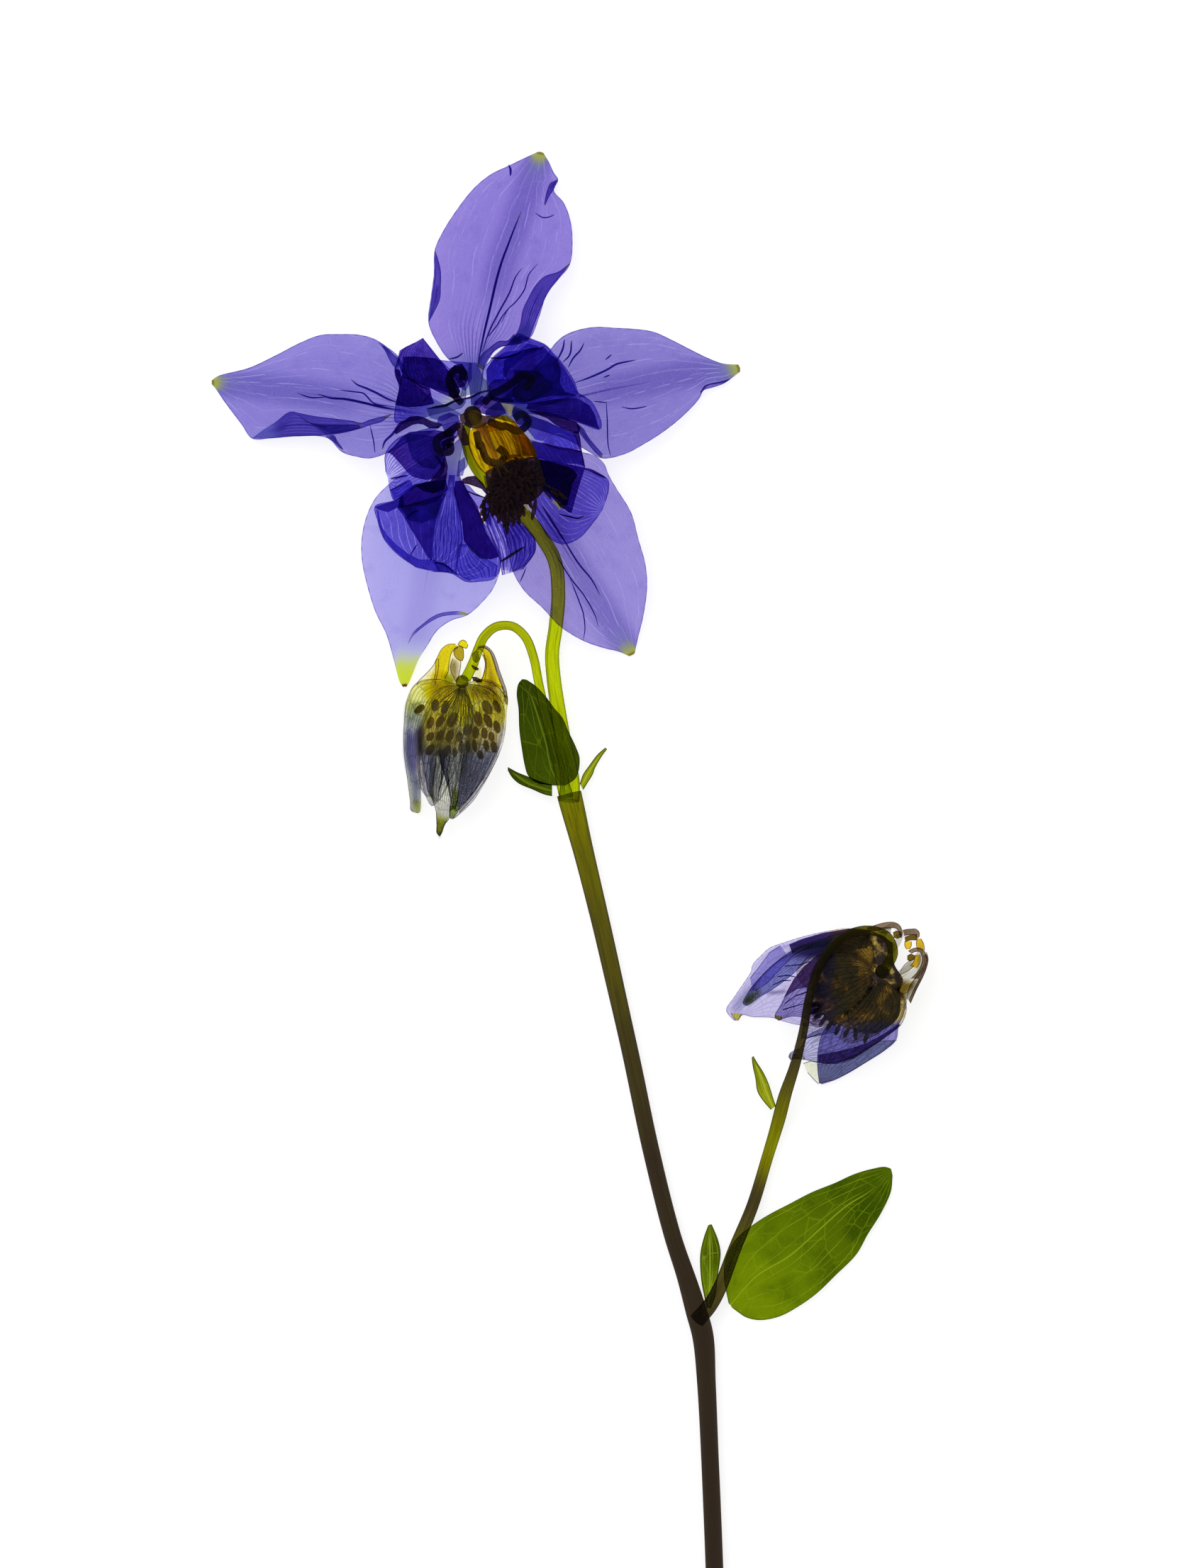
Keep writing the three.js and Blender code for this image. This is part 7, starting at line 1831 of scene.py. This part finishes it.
half_patches = {
    "half_sepal_1": [
        (DUN + SOFT, [[21.2, -9.4], [20.0, -10.6], [18.6, -12.2], [17.2, -14.2]],
         [[21.4, -11.8], [20.6, -12.8], [20.0, -13.8], [19.4, -15.0]]),
        (BLUE + SOFT, [[29.0, -4.9], [27.0, -5.4], [25.2, -5.9], [23.4, -6.5], [22.2, -7.2],
                       [21.2, -8.3]],
         [[29.0, -6.0], [27.0, -6.6], [25.4, -6.9], [24.2, -7.2], [23.0, -7.8], [22.2, -8.3]]),
        (BLUE + HARD, [[23.8, -6.5], [22.6, -7.3], [21.4, -8.9], [20.4, -10.2]],
         [[24.6, -7.6], [23.2, -8.6], [21.8, -10.0], [20.7, -11.6]]),
        (LEMON + HARD, [[18.2, -14.15], [18.5, -14.6], [18.75, -15.0]],
         [[19.5, -14.2], [19.35, -14.6], [19.1, -15.0]]),
        (PURPLE + HARD, [[34.0, -4.8], [31.6, -4.6], [28.6, -5.1], [26.2, -5.8], [24.8, -6.4]],
         [[33.6, -6.8], [31.6, -7.0], [28.8, -6.7], [26.6, -7.0], [25.2, -7.5]]),
        (PURPLE + SOFT, [[34.0, -5.2], [31.2, -5.0], [28.6, -5.4], [25.8, -6.2], [23.4, -7.2]],
         [[34.0, -8.2], [31.0, -8.6], [28.6, -8.4], [26.2, -8.4], [24.2, -9.0]])],
    "half_sepal_2": [
        (BLUE + HARD, [[28.2, -6.0], [25.6, -6.8], [23.2, -8.4], [21.3, -10.2], [20.2, -11.6]],
         [[27.0, -6.5], [25.3, -7.5], [24.0, -8.8], [22.4, -10.6], [21.0, -11.6]]),
        (DUN + SOFT, [[21.4, -10.6], [20.0, -11.6], [18.9, -12.8]],
         [[22.2, -11.6], [21.4, -12.8], [20.2, -13.8]]),
        (DUN + SOFT, [[20.6, -11.3], [19.6, -12.1], [19.0, -13.0]],
         [[21.2, -12.4], [20.7, -13.1], [20.0, -13.6]]),
        (NIGHT + HARD, [[27.2, -8.1], [26.0, -8.5], [24.2, -8.7]],
         [[27.2, -8.2], [26.0, -8.65], [24.2, -8.8]]),
        (NIGHT + HARD, [[25.4, -9.9], [24.4, -9.7], [23.4, -9.9]],
         [[25.4, -10.0], [24.4, -9.85], [23.4, -10.0]]),
        (NIGHT + HARD, [[24.9, -10.3], [24.0, -10.3], [22.9, -10.8]],
         [[24.9, -10.4], [24.0, -10.45], [22.9, -10.9]]),
        (NIGHT + SOFT, [[24.8, -11.0], [23.4, -11.2], [22.0, -11.2]],
         [[24.8, -12.0], [23.4, -12.2], [22.0, -12.4]])],
    "half_sepal_3": [
        (NIGHT + SOFT, [[29.4, -12.6], [28.6, -14.0], [28.4, -15.2]],
         [[26.6, -12.2], [26.4, -13.4], [27.0, -14.8]]),
        (PURPLE + HARD, [[28.6, -7.0], [27.4, -7.9], [26.3, -8.8], [25.2, -10.2], [24.5, -11.5],
                         [24.1, -12.3]],
         [[29.6, -7.6], [28.4, -8.6], [27.4, -10.2], [26.8, -11.1], [25.6, -11.3], [24.4, -12.1]]),
        (NIGHT + HARD, [[26.6, -11.6], [25.4, -12.0], [24.2, -12.9]],
         [[26.6, -11.75], [25.4, -12.15], [24.2, -13.05]]),
        (NIGHT + HARD, [[26.4, -12.9], [25.2, -13.2], [24.0, -13.6]],
         [[26.4, -13.0], [25.2, -13.35], [24.0, -13.75]]),
        (LEMON + HARD, [[23.1, -14.3], [23.1, -14.6], [23.4, -14.8]],
         [[23.9, -14.4], [23.9, -14.7], [23.6, -14.9]])],
    "half_sepal_4": [
        (0, [[26.3, -15.2], [27.6, -14.9], [28.8, -14.6], [30.0, -14.4]],
         [[26.1, -17.0], [27.2, -16.8], [28.6, -16.5], [30.0, -16.2]]),
        (PURPLE + HARD, [[28.0, -18.8], [30.0, -18.4], [31.6, -18.0], [33.4, -17.4], [35.2, -16.4],
                         [37.0, -15.2]],
         [[28.0, -19.7], [30.0, -19.7], [31.8, -19.2], [33.4, -18.2], [34.9, -17.2],
          [37.2, -15.4]]),
        (LEMON + HARD, [[24.9, -18.7], [24.8, -19.0], [24.9, -19.3]],
         [[26.2, -18.8], [26.6, -19.2], [26.4, -19.4]]),
        (NIGHT + HARD, [[28.4, -16.2], [27.4, -16.6], [26.6, -16.9]],
         [[28.4, -16.3], [27.4, -16.75], [26.6, -17.0]])],
    "half_sepal_5": [
        (BLUE + HARD, [[28.0, -19.9], [30.2, -19.7], [32.4, -18.8], [34.8, -17.3], [37.0, -17.2]],
         [[28.2, -22.1], [30.0, -21.7], [33.4, -19.8], [35.4, -18.5], [36.8, -17.3]]),
        (LEMON + HARD, [[28.0, -19.6], [27.3, -19.5], [26.4, -19.8]],
         [[28.15, -22.2], [27.6, -21.7], [26.9, -20.9]])],
}
for name, (finish, shape) in half_sepals.items():
    host = blade(rows=100, columns=44, cup=0.0, rough=0.05, **shape)
    shells = [film(*host)]
    for place, (code, left, right) in enumerate(half_patches[name]):
        patch = strip(left, right, [0], rows=30, fold=code, straight=code % 1 < 0.5)
        shells.append(film(*lie_on(patch, host, PATCH_GAP + PATCH_STEP * place), half=PATCH_HALF))
    piece("film_" + name, shells, finish, "half_sepal_violet", name)

# %% [markdown]
# Each petal of the half-open bud is a short blade and a hooked spur. The spurs are
# pale tubes; their brown rims, knobs and golden bends are patches laid over them.

# %% Petals of the half-open bud
HALF_PATCH_LEVEL = 3.6
half_petals = {
    "half_petal_1": (dict(
        left=[[34.2, -8.6], [31.2, -6.8], [27.6, -7.2], [25.6, -9.2]],
        right=[[34.0, -9.2], [31.0, -10.6], [27.6, -11.8], [25.8, -10.4]],
        rib=[[34.1, -8.9], [30.4, -8.8], [25.6, -9.8]], lift=[2.5, 1.8, 1.75, 1.8]),
        [[34.1, -8.9, 2.5], [34.6, -7.0, 2.4], [35.2, -5.8, 2.3], [35.6, -4.9, 2.0],
         [36.4, -4.3, 1.9], [37.1, -4.7, 2.0], [37.1, -5.4, 2.1]]),
    "half_petal_2": (dict(
        left=[[34.0, -8.9], [31.0, -7.4], [28.2, -8.0], [27.0, -9.8]],
        right=[[33.9, -9.5], [31.0, -11.0], [28.4, -11.6], [27.1, -10.4]],
        rib=[[33.9, -9.2], [30.4, -9.2], [27.0, -10.1]], lift=[4.5, 4.6, 4.6, 4.4]),
        [[33.9, -9.2, 4.5], [34.8, -8.1, 4.5], [36.0, -7.2, 4.4], [36.9, -6.1, 4.2],
         [37.4, -5.2, 4.0], [38.4, -4.9, 3.9], [39.0, -5.3, 3.9], [38.5, -5.8, 4.0]]),
    "half_petal_3": (dict(
        left=[[33.9, -9.8], [31.0, -11.6], [29.2, -13.2], [29.0, -14.4]],
        right=[[34.2, -10.2], [33.4, -12.6], [31.8, -14.6], [29.9, -15.3]],
        rib=[[34.0, -10.0], [32.2, -12.2], [29.3, -14.9]], lift=[4.5, 4.6, 4.6, 4.4]),
        [[34.0, -10.0, 4.2], [35.6, -10.2, 3.7], [37.4, -9.6, 3.5], [38.8, -8.3, 3.4],
         [39.5, -7.1, 3.3], [39.4, -6.1, 3.2], [38.8, -5.9, 3.3], [38.4, -6.4, 3.3]]),
    "half_petal_4": (dict(
        left=[[34.7, -10.5], [33.9, -13.0], [33.1, -15.3], [31.9, -16.8]],
        right=[[35.2, -10.6], [36.3, -13.0], [35.4, -15.8], [33.2, -17.2]],
        rib=[[34.95, -10.6], [35.1, -13.2], [32.5, -17.1]], lift=[4.5, 4.6, 4.5, 4.2]),
        [[34.95, -10.6, 4.5], [36.2, -10.9, 4.5], [37.6, -10.3, 4.5], [39.0, -9.2, 4.4],
         [39.5, -8.0, 4.3], [39.2, -7.3, 4.3], [38.6, -7.6, 4.3]]),
    "half_petal_5": (dict(
        left=[[34.4, -10.6], [32.6, -13.4], [31.0, -15.6], [30.4, -17.0]],
        right=[[35.2, -10.9], [36.2, -13.6], [34.8, -16.4], [31.8, -17.6]],
        rib=[[34.8, -10.7], [34.2, -13.8], [31.0, -17.4]], lift=[2.2, 1.8, 1.75, 1.8]),
        [[34.8, -10.7, 2.2], [36.4, -11.8, 2.1], [38.0, -12.2, 1.9], [39.1, -10.6, 1.8],
         [39.6, -8.8, 1.8], [39.5, -7.6, 1.8], [39.2, -7.0, 1.8]]),
}
half_spurs = {
    "half_petal_1": [
        (MAUVE + HARD, [[33.4, -4.5], [34.6, -4.1], [35.6, -3.85], [36.6, -3.85], [37.2, -4.2],
                        [37.5, -5.0], [37.4, -5.6]],
         [[33.8, -4.9], [34.8, -4.8], [35.8, -4.6], [36.5, -4.5], [36.9, -4.7], [37.1, -5.1],
          [37.2, -5.6]]),
        (OCHRE + HARD, [[36.4, -5.0], [36.8, -4.8], [37.3, -4.9]],
         [[36.5, -5.6], [37.0, -5.7], [37.4, -5.4]]),
        (CLEAR + HARD, [[34.8, -4.5], [35.6, -4.4], [36.2, -4.5]],
         [[34.8, -5.0], [35.6, -5.1], [36.2, -5.0]])],
    "half_petal_2": [
        (MAUVE + HARD, [[37.5, -4.7], [38.3, -4.6], [39.0, -4.6], [39.4, -5.0], [39.4, -5.5]],
         [[37.7, -5.4], [38.3, -5.3], [38.9, -5.3], [39.0, -5.5], [39.1, -5.7]]),
        (OCHRE + HARD, [[37.7, -5.5], [38.3, -5.3], [39.1, -5.2]],
         [[37.8, -6.1], [38.4, -5.9], [39.1, -5.9]]),
        (GOLD + HARD, [[37.7, -6.0], [37.7, -6.5], [37.9, -6.9]],
         [[38.5, -6.0], [38.5, -6.5], [38.3, -6.9]])],
    "half_petal_3": [
        (GOLD + HARD, [[39.1, -5.7], [39.0, -6.3], [39.1, -6.9]],
         [[39.6, -5.7], [39.9, -6.3], [40.0, -7.0]]),
        (MAUVE + HARD, [[38.1, -7.1], [38.6, -6.8], [39.3, -6.7], [39.9, -7.0], [40.2, -7.8],
                        [40.0, -8.9], [39.3, -10.2]],
         [[38.5, -7.4], [38.9, -7.2], [39.4, -7.2], [39.6, -7.6], [39.6, -8.4], [39.3, -9.2],
          [38.4, -10.2]]),
        (GOLD + HARD, [[38.9, -7.5], [38.7, -8.2], [38.3, -8.8]],
         [[39.5, -7.5], [39.5, -8.3], [39.1, -9.0]]),
        (CLEAR + HARD, [[38.3, -8.1], [37.7, -8.6], [37.2, -9.3]],
         [[38.8, -8.8], [38.0, -9.4], [37.0, -9.9]]),
        (OCHRE + HARD, [[38.0, -7.6], [38.4, -7.4], [38.9, -7.6]],
         [[38.0, -8.1], [38.4, -8.25], [38.8, -8.0]])],
    "half_petal_4": [
        (CLEAR + HARD, [[40.2, -7.2], [40.4, -8.0], [40.2, -9.0], [39.8, -10.0], [39.0, -11.6],
                        [38.4, -13.0]],
         [[39.8, -7.6], [39.9, -8.4], [39.5, -9.3], [38.8, -10.2], [38.2, -11.2], [37.9, -12.4]]),
        (MAUVE + HARD, [[40.25, -7.4], [40.4, -8.0], [40.2, -9.0], [39.8, -10.0], [39.0, -11.6],
                        [38.4, -13.0]],
         [[40.0, -7.6], [40.15, -8.2], [39.9, -9.1], [39.4, -10.1], [38.7, -11.4], [38.2, -12.6]])],
    "half_petal_5": [
        (OCHRE + SOFT, [[36.4, -9.6], [38.0, -10.0], [39.6, -9.8]],
         [[36.0, -12.6], [37.6, -13.0], [38.6, -12.0]])],
}
for name, (shape, route) in half_petals.items():
    host = blade(rows=60, columns=28, cup=0.0, rough=0.04, **shape)
    shells = [film(*host, half=THIN),
              tube(route, [0.3, 0.45, 0.42, 0.36, 0.32, 0.38], count=56, sides=12, flat=0.6,
                   fold=CLEAR + SOFT)]
    for place, (code, left, right) in enumerate(half_spurs[name]):
        patch = strip(left, right, [HALF_PATCH_LEVEL + SPUR_PATCH_STEP * place], rows=30, fold=code)
        shells.append(film(*patch, half=SPUR_PATCH_HALF))
    piece("film_" + name, shells, half_gold, "half_petal_violet", name)

# %% [markdown]
# The anthers of this bud have grown together to one dark ball. Beads fill it, a rough
# film behind them darkens it, and a row of longer beads makes its spiky fringe.

# %% The ball of anthers
ball = np.array([30.8, -12.0, 3.05])
ball_rng = np.random.default_rng(5)
count = 90
share, turn = sunflower(count)
level = np.where(np.arange(count) % 2, 0.5, -0.5) * np.sqrt(1.1 - share**2)
centres = ball + np.stack([3.3 * share * np.cos(turn), 3.2 * share * np.sin(turn), level], axis=-1)
outward = np.stack([np.cos(turn), np.sin(turn), 0 * turn], axis=-1)
outward = outward + ball_rng.normal(0, 0.25, outward.shape) * [1, 1, 0.2]
ball_shells = [
    beads(centres, outward, (0.6, 0.34, 0.26), sides=10, rings=6),
    fan([[35.4, -5.4], [33.5, -4.8], [31.4, -5.4], [29.6, -6.6], [28.6, -8.2], [27.8, -10.0],
         [27.7, -12.0], [28.1, -13.8]],
        [[36.4, -6.2], [36.6, -8.6], [37.6, -10.4], [37.2, -11.6], [37.3, -12.8], [37.0, -14.6],
         [34.2, -16.4], [31.4, -15.8], [29.2, -15.0]], 3.05, rough=0.2),
    tube([[33.9, -9.9, 3.05], [33.0, -10.6, 3.05], [31.6, -11.5, 3.05]], [0.35, 0.5, 0.6],
         count=16, sides=10),
    beads([[27.6, -12.4, 3.4], [27.3, -13.1, 3.4], [27.5, -13.9, 3.4], [27.9, -14.5, 3.4],
           [28.5, -15.0, 3.4], [29.3, -15.4, 3.4], [30.2, -15.9, 3.4], [31.2, -16.2, 3.4],
           [32.2, -16.4, 3.4], [33.4, -16.8, 3.4]],
          [[-1, 0.1, 0], [-1, -0.2, 0], [-1, -0.5, 0], [-1, -0.7, 0], [-0.6, -1, 0], [-0.6, -1, 0],
           [-0.4, -1, 0], [-0.5, -1, 0], [0, -1, 0], [-0.3, -1, 0]], (0.75, 0.26, 0.2), sides=12, rings=8),
]
piece("half_anthers", ball_shells, anther_half, "anther_brown", "half_stamens")

# %% [markdown]
# ## Light table, lamp and air
# The floor is a white sheet that glows a little, as a light table does, so that the films
# show their colour by light that passes them. One large soft lamp from the side and a
# pale sky give the stems and folds their form.

# %% Floor, lamp and world
floor_mesh = bpy.data.meshes.new("light_table")
FLOOR_HALF = 6.0
FLOOR_LEVEL = -0.00003
FLOOR_GLOW = 0.76
LAMP_WATTS = 0.7
SKY_STRENGTH = 0.27
floor_corners = [(x * FLOOR_HALF, y * FLOOR_HALF, FLOOR_LEVEL)
                 for x, y in ((-1, -1), (1, -1), (1, 1), (-1, 1))]
floor_mesh.from_pydata(floor_corners, [], [(0, 1, 2, 3)])
floor = bpy.data.objects.new("light_table", floor_mesh)
bpy.context.collection.objects.link(floor)
paper = Finish("light_table_white")
sheet_skin = paper.add("ShaderNodeBsdfPrincipled", None, {
    "Base Color": (0.8, 0.8, 0.8, 1), "Roughness": 0.9, "Specular IOR Level": 0.0,
    "Emission Color": (1.0, 1.0, 1.0, 1), "Emission Strength": FLOOR_GLOW})
floor_mesh.materials.append(paper.wear(sheet_skin))

lamp = bpy.data.objects.new("soft_lamp", bpy.data.lights.new("soft_lamp", "AREA"))
lamp.data.shape = "DISK"
lamp.data.size = 0.5
lamp.data.energy = LAMP_WATTS
lamp.location = (-0.22, 0.30, 0.55)
lamp.rotation_euler = (np.radians(-28.6), np.radians(-20.0), 0)
bpy.context.collection.objects.link(lamp)

world = bpy.data.worlds.new("pale_air")
world.use_nodes = True
world.node_tree.nodes["Background"].inputs["Color"].default_value = (1, 1, 1, 1)
world.node_tree.nodes["Background"].inputs["Strength"].default_value = SKY_STRENGTH
bpy.context.scene.world = world
bpy.context.scene.view_settings.view_transform = "Standard"
bpy.context.scene.view_settings.look = "None"
bpy.context.scene.cycles.transparent_max_bounces = 96
print("all pieces together have", sum(triangles.values()), "triangles")
